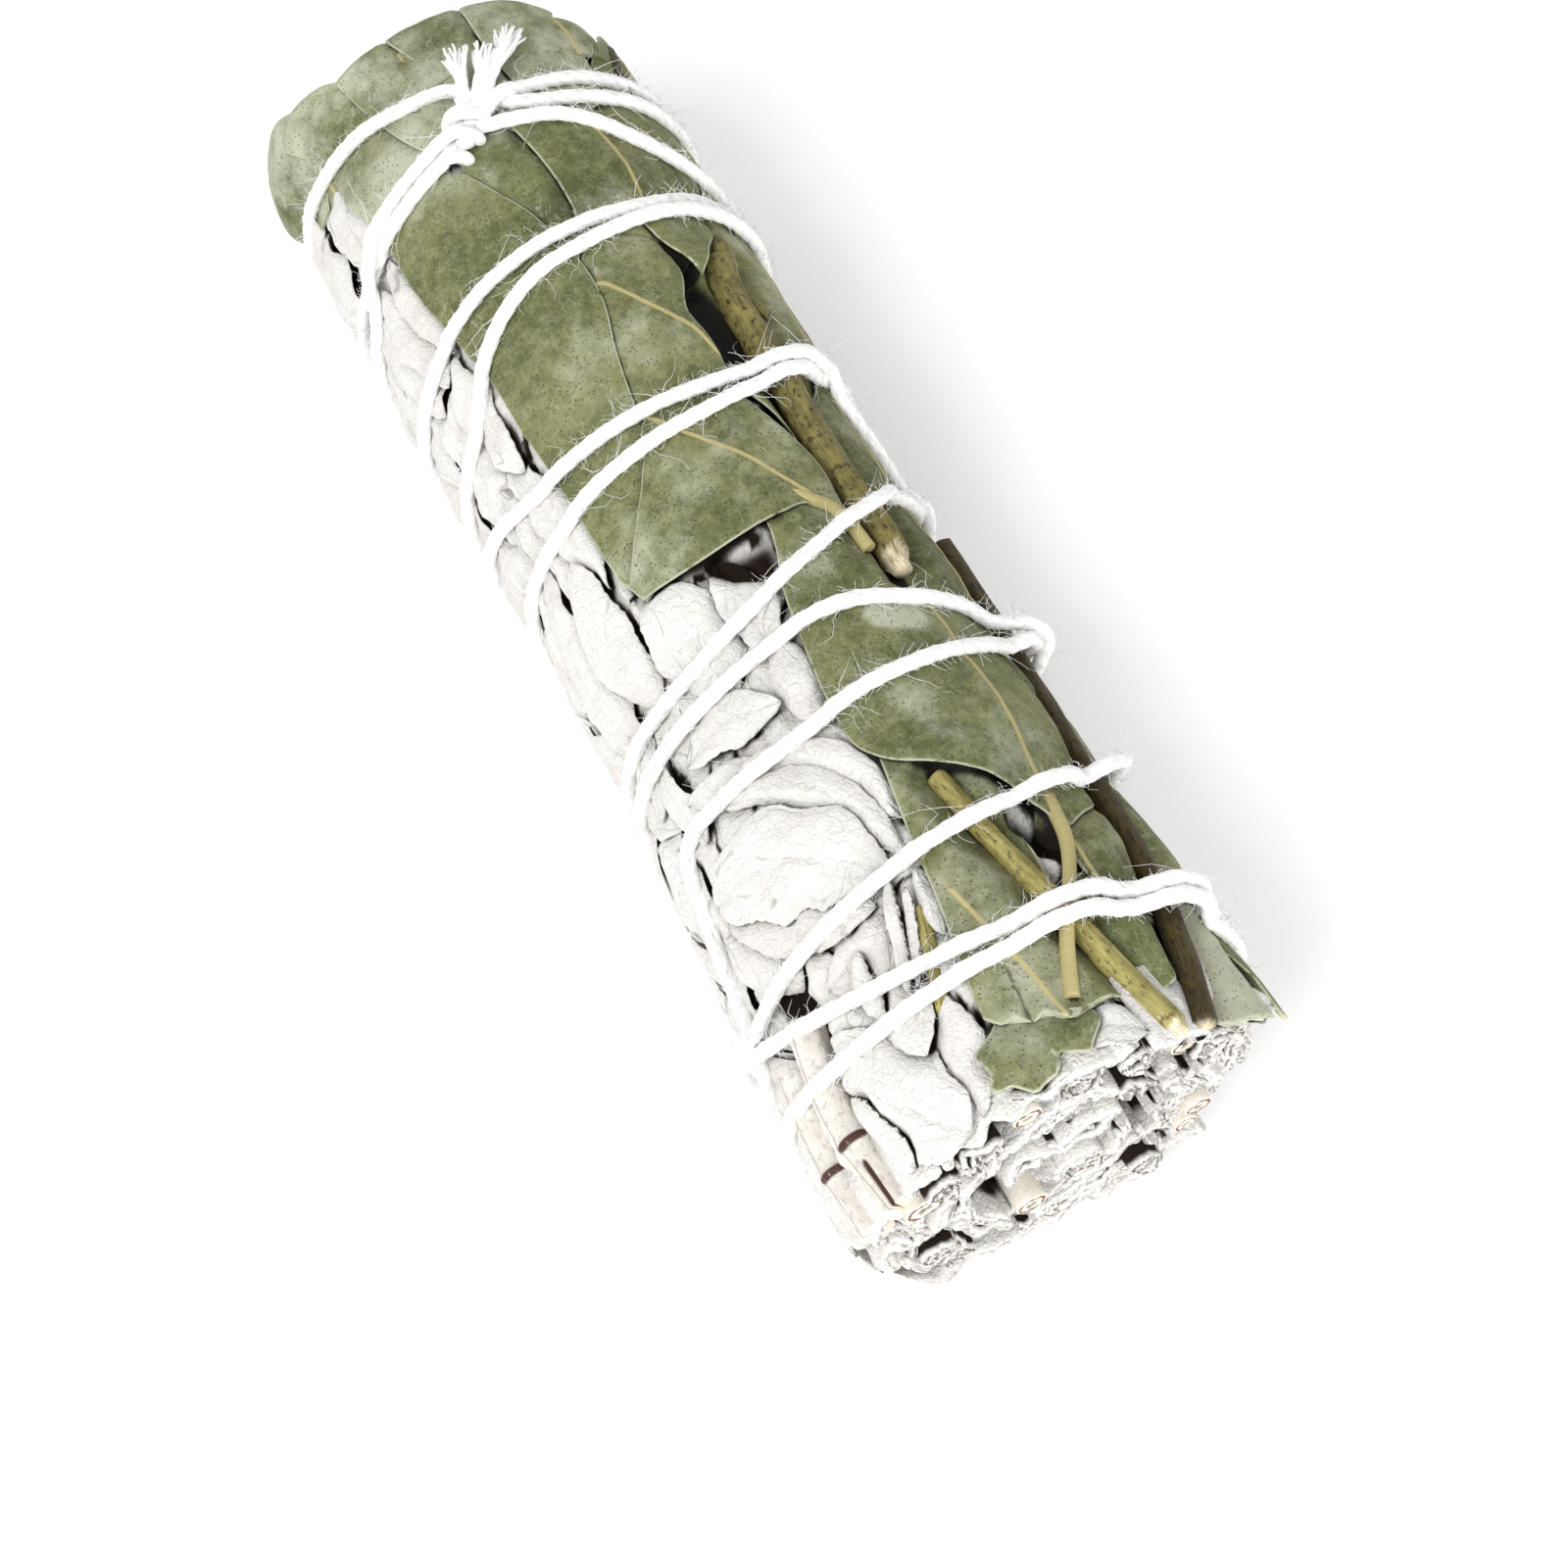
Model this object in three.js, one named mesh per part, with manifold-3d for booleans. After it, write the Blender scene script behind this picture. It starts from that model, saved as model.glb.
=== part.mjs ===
// A smudge stick: a bunch of white sage with eucalyptus leaves and twigs laid along one side,
// wound down and back up with one cotton string. It lies on its side, in millimetres.
// X runs along the stick to its cut end, Z is up, and the origin is under its middle on the table.
// Places on the stick are given as [x, turn]: turn is degrees round the stick from its top towards +Y.
// Its leaves flare past the far tip, so the finished stick is moved along X by BOX_MIDDLE_X.

import * as THREE from 'three';
import { mergeVertices } from 'three/addons/utils/BufferGeometryUtils.js';
import Module from 'manifold-3d';

const wasm = await Module();
wasm.setup();

// Driving sizes
const STICK_LENGTH = 125;
const BOX_MIDDLE_X = -1.75;
const AXIS_HEIGHT = 17.8;
const BUNDLE_PROFILE = [
  [-66, 17.6], [-62.5, 17.9], [-58, 18.4], [-50, 19], [-45, 19.2], [-30, 18.9], [-15, 18.4],
  [0, 17.8], [15, 17.9], [30, 18.9], [45, 19.7], [62.5, 20],
];
const STRING_DIAMETER = 1.4;
const LEAF_THICKNESS = 0.6;
const GAP = 0.35;
const STRING_GAP = 0.08;
const SAGE_STRING_GAP = 0.49;
const TABLE_GAP = 0.3;
const LAYER_STEP = LEAF_THICKNESS + 0.4;
const THICK_TWIG_DIAMETER = 3;
const BROWN_TWIG_DIAMETER = 2;
const YELLOW_STEM_DIAMETER = 2;
const THIN_STEM_DIAMETER = 1.2;
const LEAF_STALK_DIAMETER = 1.2;
const TWIG_SIDES = 8;
const STRING_SIDES = 5;

// Depths, measured outward from the bundle's profile
const PRESSED_DEPTH = -0.55;
const BULGE_HEIGHT = 0.5;
const BULGE_REACH = [3.4, 7];
const PRESS_REACH = 5.4;
const LIFT_REACH = [2.3, 4.8];
const TIP_FLARE = { height: 1.9, x: [-57.5, -64], turn: [-42, -64] };
const STRING_DEPTH = PRESSED_DEPTH + GAP + STRING_DIAMETER / 2;
const STRING_BITE = 0.45;
const SAGE_CORE_DEPTH = -2.4;
const CORE_END_NEAR = 57.5;
const CORE_END_FAR = -59;

const HALF_LENGTH = STICK_LENGTH / 2;
const SEED = 41;

// Colours, roughness
const FINISHES = {
  sage: { color: 0xd9d6cd, roughness: 0.9 },
  leaf: { color: 0x969c7c, roughness: 0.7 },
  darkLeaf: { color: 0x6f775a, roughness: 0.7 },
  thickTwig: { color: 0x7a6f33, roughness: 0.7 },
  yellowStem: { color: 0xa79645, roughness: 0.65 },
  brownTwig: { color: 0x4a3520, roughness: 0.8 },
  string: { color: 0xf4f2ee, roughness: 0.95 },
};

const radians = THREE.MathUtils.degToRad;
const smooth = (value, low, high) => THREE.MathUtils.smoothstep(value, low, high);

function seededRandom(seed) {
  let state = seed;
  return (low, high) => {
    state = (state + 0x6d2b79f5) | 0;
    let mixed = Math.imul(state ^ (state >>> 15), 1 | state);
    mixed = (mixed + Math.imul(mixed ^ (mixed >>> 7), 61 | mixed)) ^ mixed;
    return low + (high - low) * (((mixed ^ (mixed >>> 14)) >>> 0) / 4294967296);
  };
}

function bundleRadius(x) {
  const last = BUNDLE_PROFILE.length - 1;
  if (x <= BUNDLE_PROFILE[0][0]) return BUNDLE_PROFILE[0][1];
  if (x >= BUNDLE_PROFILE[last][0]) return BUNDLE_PROFILE[last][1];
  const next = BUNDLE_PROFILE.findIndex(([at]) => at > x);
  const [x0, r0] = BUNDLE_PROFILE[next - 1];
  const [x1, r1] = BUNDLE_PROFILE[next];
  return r0 + ((r1 - r0) * (x - x0)) / (x1 - x0);
}

// The point at [x, turn], at a radius from the stick's axis
function atRadius(x, turn, radius) {
  const angle = radians(turn);
  return new THREE.Vector3(x, radius * Math.sin(angle), AXIS_HEIGHT + radius * Math.cos(angle));
}

const atDepth = (x, turn, depth) => atRadius(x, turn, bundleRadius(x) + depth);

// A solid from a list of points and a list of triangles, turned outward
function solidFrom(points, triangles) {
  const geometry = new THREE.BufferGeometry();
  const numbers = points.flatMap((point) => point.toArray());
  geometry.setAttribute('position', new THREE.Float32BufferAttribute(numbers, 3));
  geometry.setIndex(triangles.flat());
  return solidFromGeometry(geometry);
}

function solidFromGeometry(source) {
  const bare = source.clone();
  bare.deleteAttribute('normal');
  bare.deleteAttribute('uv');
  const merged = mergeVertices(bare, 1e-4);
  const at = merged.attributes.position;
  const index = Array.from(merged.index.array);
  const corner = (n) => new THREE.Vector3().fromBufferAttribute(at, n);
  let volume = 0;
  for (let i = 0; i < index.length; i += 3) {
    volume += corner(index[i]).dot(corner(index[i + 1]).cross(corner(index[i + 2])));
  }
  if (volume < 0) {
    for (let i = 0; i < index.length; i += 3) [index[i + 1], index[i + 2]] = [index[i + 2], index[i + 1]];
  }
  return new wasm.Manifold(new wasm.Mesh({
    numProp: 3,
    vertProperties: new Float32Array(at.array),
    triVerts: new Uint32Array(index),
  }));
}

const joined = (solids) => solids.reduce((whole, solid) => whole.add(solid));

// The largest shell of a solid: loose scraps are dropped, and a hollow that joining has sealed is filled
function largestShell(solid) {
  return solid.decompose().reduce((best, shell) => (shell.volume() > best.volume() ? shell : best));
}

const stick = new THREE.Group();
stick.position.x = -BOX_MIDDLE_X;

function addPiece(name, solid, finish) {
  const { vertProperties, triVerts } = largestShell(solid).getMesh();
  const geometry = new THREE.BufferGeometry();
  geometry.setAttribute('position', new THREE.BufferAttribute(new Float32Array(vertProperties), 3));
  geometry.setIndex(new THREE.BufferAttribute(new Uint32Array(triVerts), 1));
  geometry.computeVertexNormals();
  const mesh = new THREE.Mesh(geometry, new THREE.MeshStandardMaterial({ ...finish, metalness: 0 }));
  mesh.name = name;
  stick.add(mesh);
}

// The corners of a round section at each point of a path, the first one turned away from the stick's axis
function sections(points, radiusAt, sides) {
  const last = points.length - 1;
  return points.map((point, i) => {
    const along = points[Math.min(i + 1, last)].clone().sub(points[Math.max(i - 1, 0)]).normalize();
    const out = new THREE.Vector3(0, point.y, point.z - AXIS_HEIGHT);
    out.addScaledVector(along, -out.dot(along)).normalize();
    const across = along.clone().cross(out);
    const reach = radiusAt(i / last);
    return Array.from({ length: sides }, (_, side) => {
      const angle = (2 * Math.PI * side) / sides;
      return point.clone()
        .addScaledVector(out, reach * Math.cos(angle))
        .addScaledVector(across, reach * Math.sin(angle));
    });
  });
}

// The solid whose skin joins a row of sections, closed at both ends
function skinned(rings) {
  const sides = rings[0].length;
  const corner = (ring, side) => ring * sides + (side % sides);
  const triangles = [];
  for (let i = 0; i + 1 < rings.length; i += 1) {
    for (let side = 0; side < sides; side += 1) {
      const [a, b] = [corner(i, side), corner(i, side + 1)];
      const [c, d] = [corner(i + 1, side), corner(i + 1, side + 1)];
      triangles.push([a, b, d], [a, d, c]);
    }
  }
  const end = (rings.length - 1) * sides;
  for (let side = 1; side + 1 < sides; side += 1) {
    triangles.push([0, side + 1, side], [end, end + side, end + side + 1]);
  }
  return solidFrom(rings.flat(), triangles);
}

// A tube through points. radiusAt takes a share of its length, from 0 to 1.
const tube = (points, radiusAt, sides) => skinned(sections(points, radiusAt, sides));

// The cotton string's route, as one strand wound towards lower turns: down from the knot to the cut
// end and back. Each row is one turn, over the top and then under the stick.
const STRING_TURNS = [
  [[-45.6, -14], [-44.6, -25], [-43.2, -50], [-42.5, -75], [-42.4, -105], [-39.5, -150], [-37, 170],
    [-34.5, 125]],
  [[-33, 90], [-32.5, 40], [-31.5, 20], [-31, -10], [-30.5, -30], [-29.5, -50], [-28.5, -75], [-28.5, -105],
    [-29, -150], [-30, 170], [-31, 125]],
  [[-31.4, 80], [-31, 40], [-30, 20], [-29, 0], [-28, -20], [-25, -40], [-22.5, -50], [-20.5, -60],
    [-19, -80], [-18, -110], [-16.5, -150], [-14.5, 170], [-13, 125]],
  [[-12, 85], [-10.5, 50], [-9.6, 35], [-8.4, 18], [-7.5, 5], [-7, -10], [-6.5, -30], [-6, -50],
    [-5.8, -75], [-5, -105], [-3, -150], [-1, 170], [0.8, 125]],
  [[2.4, 80], [4.6, 46], [6.2, 36], [7.7, 24], [9.5, 10], [10.7, 0], [12, -12], [13.5, -30], [14.1, -45],
    [14.2, -65], [14.5, -95], [15.5, -145], [17, 170], [18.5, 125]],
  [[19.6, 85], [21.8, 60], [22.7, 40], [23.5, 15], [24, 0], [25, -20], [25, -50], [25, -66], [27, -72],
    [30.5, -75], [35.5, -78.5], [40, -82], [44, -90], [47.5, -115], [50, -150], [52, 170], [53.4, 125]],
  [[54, 85], [53, 57], [51.4, 35], [50.5, 15], [50.3, 0], [50.1, -20], [49.8, -54], [48.6, -90], [48, -120],
    [49, 180], [51, 125]],
  [[51.6, 80], [51.2, 57], [49.9, 35], [48.9, 15], [48.7, 0], [48.2, -14], [47, -36], [45, -60],
    [42.2, -90], [40.5, -125], [37.5, 180], [34.8, 125]],
  [[34, 90], [35, 75], [36.5, 60], [38, 42], [38.8, 15], [39.3, -10], [40, -30], [40.8, -55], [41.6, -78],
    [41, -110], [37, -150], [32.5, 170], [28, 125]],
  [[24, 90], [20.5, 68], [18, 50], [17.2, 36], [16.5, 24], [15.7, 12], [15.6, 0], [16.4, -20], [17, -42],
    [17.2, -66], [17, -95], [15.5, -140], [12.5, 170], [9, 125]],
  [[5.5, 90], [1.5, 76], [-4, 66], [-8.5, 58], [-11, 48], [-10.7, 30], [-10, 10], [-10, -12], [-10.4, -46],
    [-11.2, -58], [-12.5, -70], [-15, -95], [-20, -140], [-26, 170], [-31, 125]],
  [[-35, 85], [-38.2, 50], [-41, 32], [-44, 18], [-45.4, 2], [-46, -10], [-46, -22], [-45.4, -34],
    [-44.4, -46], [-42, -60], [-39.4, -76], [-38.6, -100], [-41, -145], [-44.5, 170], [-46.8, 125]],
  [[-47, 85], [-46.8, 45], [-46.6, 20], [-47.4, 4], [-49.4, -4], [-52, -10], [-53.5, -25], [-55, -40],
    [-56, -60], [-57.3, -80], [-57.8, -105], [-57, -150], [-54.5, 170], [-52, 125]],
  [[-50.8, 85], [-49.8, 45], [-49.4, 20], [-48.6, 4], [-47.2, -6]],
];
const KNOT_PLACE = [-46.4, -11];
const TAIL_PLACES = [
  [[-47.4, -9], [-52, -1], [-56.4, 5]],
  [[-47.4, -11], [-52.5, -7], [-57.2, -4]],
  [[-47.4, -7], [-53, 8], [-58, 18]],
];

// The route as one list of [x, turn], with turn falling without a break
const stringRoute = [];
STRING_TURNS.flat().forEach(([x, turn]) => {
  const before = stringRoute.length ? stringRoute[stringRoute.length - 1][1] : Infinity;
  let unwound = turn;
  while (unwound >= before) unwound -= 360;
  stringRoute.push([x, unwound]);
});

// X of the string at a turn: a cubic through the route's points, each with its neighbours' slope
function routeX(turn) {
  const next = Math.max(1, stringRoute.findIndex(([, at]) => at <= turn));
  const slope = (i) => {
    const a = stringRoute[Math.max(i - 1, 0)];
    const b = stringRoute[Math.min(i + 1, stringRoute.length - 1)];
    return (b[0] - a[0]) / (b[1] - a[1]);
  };
  const [x0, t0] = stringRoute[next - 1];
  const [x1, t1] = stringRoute[next];
  const step = t1 - t0;
  const u = (turn - t0) / step;
  const [u2, u3] = [u * u, u * u * u];
  return x0 * (2 * u3 - 3 * u2 + 1) + slope(next - 1) * step * (u3 - 2 * u2 + u)
    + x1 * (3 * u2 - 2 * u3) + slope(next) * step * (u3 - u2);
}

// Twigs and loose stems that lie on the leaves and under the string: where their axes run. Depths are
// one for the whole length, or one for each place.
const TWIGS = [
  {
    name: 'eucalyptus_twig_thick',
    finish: FINISHES.thickTwig,
    diameter: THICK_TWIG_DIAMETER,
    depths: [-1],
    places: [[-25.5, 41], [-23, 37.5], [-20, 36], [-10, 35.5], [0, 36], [8, 37], [12.5, 36]],
    taper: (share) => (share > 0.95 ? 0.7 : 1),
  },
  {
    name: 'eucalyptus_twig_brown',
    finish: FINISHES.brownTwig,
    diameter: BROWN_TWIG_DIAMETER,
    depths: [0.5, 0.4, 0.1, -0.5, -0.9, -1, -1, -1, -1, -1, -1],
    places: [[6.8, 73], [13, 71], [19, 69], [24, 66], [30, 60], [37, 53], [45, 47.5], [50, 43.5], [54, 38.5],
      [58, 34], [62, 28.5]],
    taper: () => 1,
  },
  {
    name: 'eucalyptus_stem_yellow',
    finish: FINISHES.yellowStem,
    diameter: YELLOW_STEM_DIAMETER,
    depths: [-1.6],
    places: [[33.6, 4], [38, 6], [45, 10], [50, 13.3], [56, 17], [62, 22]],
    taper: (share) => 0.85 + 0.3 * share,
  },
  {
    name: 'eucalyptus_stem_thin',
    finish: FINISHES.yellowStem,
    diameter: THIN_STEM_DIAMETER,
    depths: [-1.2],
    places: [[43.4, -17], [45.6, -19], [48.6, -22], [51.6, -25]],
    taper: () => 1,
  },
];

const smoothCurve = (spots) => new THREE.CatmullRomCurve3(spots, false, 'centripetal');

function twigSolid({ diameter, depths, places, taper }, clearance = 0) {
  const spots = places.map(([x, turn], i) => new THREE.Vector3(x, turn, depths[i] ?? depths[0]));
  const points = smoothCurve(spots).getPoints(places.length + 2).map((p) => atDepth(p.x, p.y, p.z));
  return tube(points, (share) => (diameter / 2) * taper(share) + clearance, TWIG_SIDES);
}

// Stalks that are one piece with their leaf
const STALKS = {
  eucalyptus_leaf_near_large: {
    depths: [-0.9, -0.4, 0.1, 0.35, 0.2, -0.1, -0.2],
    places: [[40, 26], [43, 23.4], [46, 18.5], [48.4, 13.6], [51, 8.6], [53.4, 5], [56, 1.5]],
  },
  eucalyptus_leaf_folded: {
    depths: [-0.9, -0.8, -0.5, -0.5, -0.6],
    places: [[3.4, 16], [4.6, 20], [5.4, 23], [7.4, 25.8], [10.4, 26.8]],
  },
};

function stalkSolid({ depths, places }, clearance = 0) {
  const points = places.map(([x, turn], i) => atDepth(x, turn, depths[i]));
  return tube(points, () => LEAF_STALK_DIAMETER / 2 + clearance, STRING_SIDES);
}

// An outline like a lens between a base and a tip, broadest a little nearer the base
function lensOutline([x0, turn0], [x1, turn1], halfWidth) {
  const steps = 5;
  const [lean, roundness] = [0.85, 0.8];
  const mmPerDegree = radians(bundleRadius(0));
  const along = new THREE.Vector2(x1 - x0, (turn1 - turn0) * mmPerDegree);
  const across = new THREE.Vector2(-along.y, along.x).normalize();
  const place = (share, side) => {
    const reach = side * halfWidth * Math.sin(Math.PI * share ** lean) ** roundness;
    const [x, round] = [along.x * share + across.x * reach, along.y * share + across.y * reach];
    return [x0 + x, turn0 + round / mmPerDegree];
  };
  const shares = Array.from({ length: steps - 1 }, (_, i) => (i + 1) / steps);
  return [
    [x0, turn0], ...shares.map((share) => place(share, 1)),
    [x1, turn1], ...shares.reverse().map((share) => place(share, -1)),
  ];
}

// The loose eucalyptus leaves, from the lowest to the highest
const EUCALYPTUS = [
  { name: 'back_far', outline: lensOutline([2, 118], [-46, 112], 10) },
  { name: 'back_near', outline: lensOutline([6, 112], [54, 118], 10), dark: true },
  { name: 'flank_tip', outline: lensOutline([-22, 64], [-61.5, 60], 11.5) },
  { name: 'flank_far', outline: lensOutline([4, 60], [-38, 60], 13.5) },
  { name: 'flank_middle', outline: lensOutline([34, 64], [-12, 54], 12.5), dark: true },
  { name: 'flank_near', outline: lensOutline([22, 82], [61.5, 68], 11) },
  {
    name: 'near_pale',
    outline: [[50, 38], [54, 40.5], [58, 37.5], [61.6, 33.5], [62.5, 36], [62.4, 45], [62.2, 54], [57, 51],
      [53, 55], [49.5, 51]],
  },
  {
    name: 'near_small',
    outline: [[46, 13], [52, 11.5], [57, 10.5], [57.8, 18], [57.5, 28], [56, 31.5], [51, 32.5], [47, 28]],
    dark: true,
  },
  {
    name: 'near_round',
    outline: [[38, 24], [42, 21], [47, 22.5], [50, 28], [50, 40], [47, 44.5], [43, 48], [40, 46.5],
      [37.5, 36]],
  },
  {
    name: 'near_scrap',
    outline: [[54, 4], [53.8, -14], [55.6, -19], [56.2, -23.5], [58.4, -22.5], [59.6, -25], [60, -20],
      [61.4, -16.5], [60.8, -10], [59.4, -8], [60.6, -2], [58.6, 4]],
  },
  {
    name: 'near_torn',
    outline: [[29, 11], [29.5, -6], [33, -8], [38, -10.5], [45, -13.5], [51, -17], [54.2, -18],
      [55.4, -15.5], [55.2, -12.5], [56.6, -9], [56.3, -5], [57.4, -2], [57.2, 6], [57.3, 14], [50, 15.5],
      [42, 15], [35, 17]],
  },
  {
    name: 'near_large',
    outline: [[1.6, 15], [4.4, 3], [8, 0.5], [12, -4], [17, -7], [24, -10], [29, -9.5], [31.5, -4],
      [32.8, 2], [34.2, 8.5], [36, 15], [38.5, 20], [41, 23.6], [42.4, 26.6], [41.4, 33], [40.4, 41],
      [38.5, 47], [34, 50], [27, 51], [18, 49], [10, 43], [4, 35], [1, 25]],
  },
  {
    name: 'tip_left',
    outline: [[-64.4, -54], [-60, -57], [-54, -66], [-55.5, -84], [-58.5, -97], [-62.4, -102],
      [-65, -95], [-66, -82], [-65.8, -66]],
    dark: true,
  },
  {
    name: 'tip_torn',
    outline: [[-62.4, -36], [-55, -28], [-46, -18], [-44.4, -30], [-44.4, -50], [-46, -53.5], [-48, -53],
      [-51, -57], [-54.5, -57.5], [-58, -64], [-60, -62.5], [-62.4, -66], [-64, -60], [-64.4, -46]],
  },
  {
    name: 'tip_middle',
    outline: [[-63, -40], [-55, -34], [-47, -24], [-43.5, -14], [-46, -6], [-53, -4], [-62.6, -10]],
  },
  {
    name: 'tip_upper',
    outline: [[-62.6, -19], [-58, -14.5], [-54, -10.5], [-48, -4], [-44.5, 3], [-48, 8], [-55, 10],
      [-62.6, 13]],
    dark: true,
  },
  {
    name: 'tip_right',
    outline: [[-62.6, 6.5], [-55, 6], [-48, 9], [-45, 18], [-46.5, 30], [-50.5, 36], [-55, 37],
      [-58, 33], [-61.4, 38], [-62.4, 30]],
  },
  {
    name: 'behind_brown',
    outline: [[-46, 3], [-45, -12], [-42.5, -22], [-37, -17], [-31, -12], [-27.5, -6], [-28.5, 2],
      [-34, 4], [-41, 4]],
    dark: true,
  },
  {
    name: 'behind_green',
    outline: [[-46, -1], [-40, 1.5], [-34, 2.2], [-28.5, 0.5], [-25, 6], [-23.5, 20], [-26.5, 33],
      [-31, 43.5], [-39, 42], [-45, 29]],
  },
  {
    name: 'far_upper',
    outline: [[-29.5, 3], [-27.5, -5], [-24, -8], [-17, -13], [-8, -17], [-4, -6], [-5, 10], [-8, 16.6],
      [-11, 17.6], [-14, 17], [-18, 15.2], [-23, 20.6], [-27, 21]],
  },
  {
    name: 'far_large',
    outline: [[-42.4, -18.5], [-38, -13], [-35, -9], [-31, -5.5], [-26, -3.5], [-22, -4.5], [-17, -8.5],
      [-11, -12], [-4, -15], [2, -21], [4, -30], [4, -39.5], [0, -42.5], [-10, -43.5], [-24, -45],
      [-31, -48.5], [-38, -50.5], [-43, -51], [-45, -42], [-45, -28]],
  },
  {
    name: 'folded',
    outline: [[-10.4, 15], [-10.4, 0], [-9.6, -12], [-6, -18.5], [-1, -29], [2.4, -37.5], [3.4, -40.5],
      [5.4, -38.5], [5.9, -20], [5.6, -5], [5, 8], [4.6, 16], [5.8, 23], [6, 27], [1, 26.5], [-4, 22],
      [-7.4, 18]],
  },
  {
    name: 'curled',
    outline: [[-31, 19], [-26, 21.5], [-22, 25.5], [-24, 30.5], [-26.4, 36], [-28.6, 42], [-32, 44],
      [-33.5, 33]],
  },
].map((leaf) => ({ ...leaf, name: `eucalyptus_leaf_${leaf.name}` }));

const LEAVES_OVER_TWIGS = ['folded', 'curled', 'far_upper', 'far_large']
  .map((name) => `eucalyptus_leaf_${name}`);

// The leaves' surfaces are bent on one common net of places, so that stacked leaves never cross
const NET_X = [-67, -62, -57, ...Array.from({ length: 20 }, (_, i) => -51 + 6.1 * i)];
const NET_TURN = [-105, -91, -77, -63, -49, -35, -21, -7, 7, 21, 35, 50, 66, 84, 104, 126, 150];

function isInside([x, turn], outline) {
  let inside = false;
  outline.forEach(([x1, t1], i) => {
    const [x0, t0] = outline[(i + outline.length - 1) % outline.length];
    if ((t1 > turn) !== (t0 > turn) && x < x0 + ((x1 - x0) * (turn - t0)) / (t1 - t0)) inside = !inside;
  });
  return inside;
}

// Whether an outline reaches into one of the net's cells round a corner of the net
function reachesCorner(outline, i, j) {
  const [left, right] = [NET_X[Math.max(i - 1, 0)], NET_X[Math.min(i + 1, NET_X.length - 1)]];
  const [low, high] = [NET_TURN[Math.max(j - 1, 0)], NET_TURN[Math.min(j + 1, NET_TURN.length - 1)]];
  if (outline.some(([x, turn]) => x > left && x < right && turn > low && turn < high)) return true;
  const shares = [0.02, 0.25, 0.5, 0.75, 0.98];
  const spots = shares.flatMap((a) => shares.map((b) => [left + a * (right - left), low + b * (high - low)]));
  return spots.some((spot) => isInside(spot, outline));
}

const mmApart = ([x0, turn0], [x1, turn1]) => {
  const turns = ((((turn0 - turn1) % 360) + 540) % 360) - 180;
  return Math.hypot(x0 - x1, radians(turns) * bundleRadius(x0));
};

const STRING_SAMPLE_STEP = 6;
const lastTurn = stringRoute[stringRoute.length - 1][1];
const stringSamples = [];
for (let turn = stringRoute[0][1]; turn > lastTurn; turn -= STRING_SAMPLE_STEP) {
  stringSamples.push([routeX(turn), turn]);
}

const leastApart = (place, others) => Math.min(...others.map((other) => mmApart(place, other)));

// Leaves swell a little between the turns of the string, and stand off beyond its last turn on one side
function bulgeAt(x, turn) {
  const { height, x: along, turn: round } = TIP_FLARE;
  const flare = height * smooth(-x, -along[0], -along[1]) * smooth(-turn, -round[0], -round[1]);
  return BULGE_HEIGHT * smooth(leastApart([x, turn], stringSamples), ...BULGE_REACH) + flare;
}

const zeroNet = () => NET_X.map(() => NET_TURN.map(() => 0));
const bulgeNet = NET_X.map((x) => NET_TURN.map((turn) => bulgeAt(x, turn)));

const densePlaces = (places) => smoothCurve(places.map(([x, turn]) => new THREE.Vector3(x, turn, 0)))
  .getPoints(40).map((p) => [p.x, p.y]);

// How deep the surface under a twig or stalk has to lie, on the net's corners near it
function pressDown(load, places, depths, radius) {
  const path = densePlaces(places);
  const depthAlong = (n) => {
    const at = (n / (path.length - 1)) * (depths.length - 1);
    const low = Math.min(Math.floor(at), depths.length - 2);
    return depths.length === 1 ? depths[0] : depths[low] + (at - low) * (depths[low + 1] - depths[low]);
  };
  NET_X.forEach((x, i) => NET_TURN.forEach((turn, j) => {
    path.forEach((place, n) => {
      if (mmApart([x, turn], place) > radius + PRESS_REACH) return;
      const deepest = PRESSED_DEPTH - (depthAlong(n) - radius - GAP);
      load[i][j] = Math.max(load[i][j], deepest);
    });
  }));
}

// From the highest leaf down, each leaf's depth on the net is what lies on it
const load = zeroNet();
const twigsPressed = new Set();
function pressTwigs(names) {
  const next = TWIGS.filter((twig) => names.includes(twig.name) && !twigsPressed.has(twig.name));
  next.forEach((twig) => {
    twigsPressed.add(twig.name);
    pressDown(load, twig.places, twig.depths, twig.diameter / 2);
  });
}
[...EUCALYPTUS].reverse().forEach((leaf) => {
  if (!LEAVES_OVER_TWIGS.includes(leaf.name)) pressTwigs(['eucalyptus_twig_thick', 'eucalyptus_twig_brown']);
  if (leaf.name === 'eucalyptus_leaf_near_torn') pressTwigs(['eucalyptus_stem_yellow']);
  leaf.depth = bulgeNet.map((row, i) => row.map((bulge, j) => PRESSED_DEPTH + bulge - load[i][j]));
  const stalk = STALKS[leaf.name];
  if (stalk) pressDown(load, stalk.places, stalk.depths, LEAF_STALK_DIAMETER / 2);
  NET_X.forEach((_, i) => NET_TURN.forEach((__, j) => {
    if (reachesCorner(leaf.outline, i, j)) load[i][j] += LAYER_STEP;
  }));
});

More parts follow.
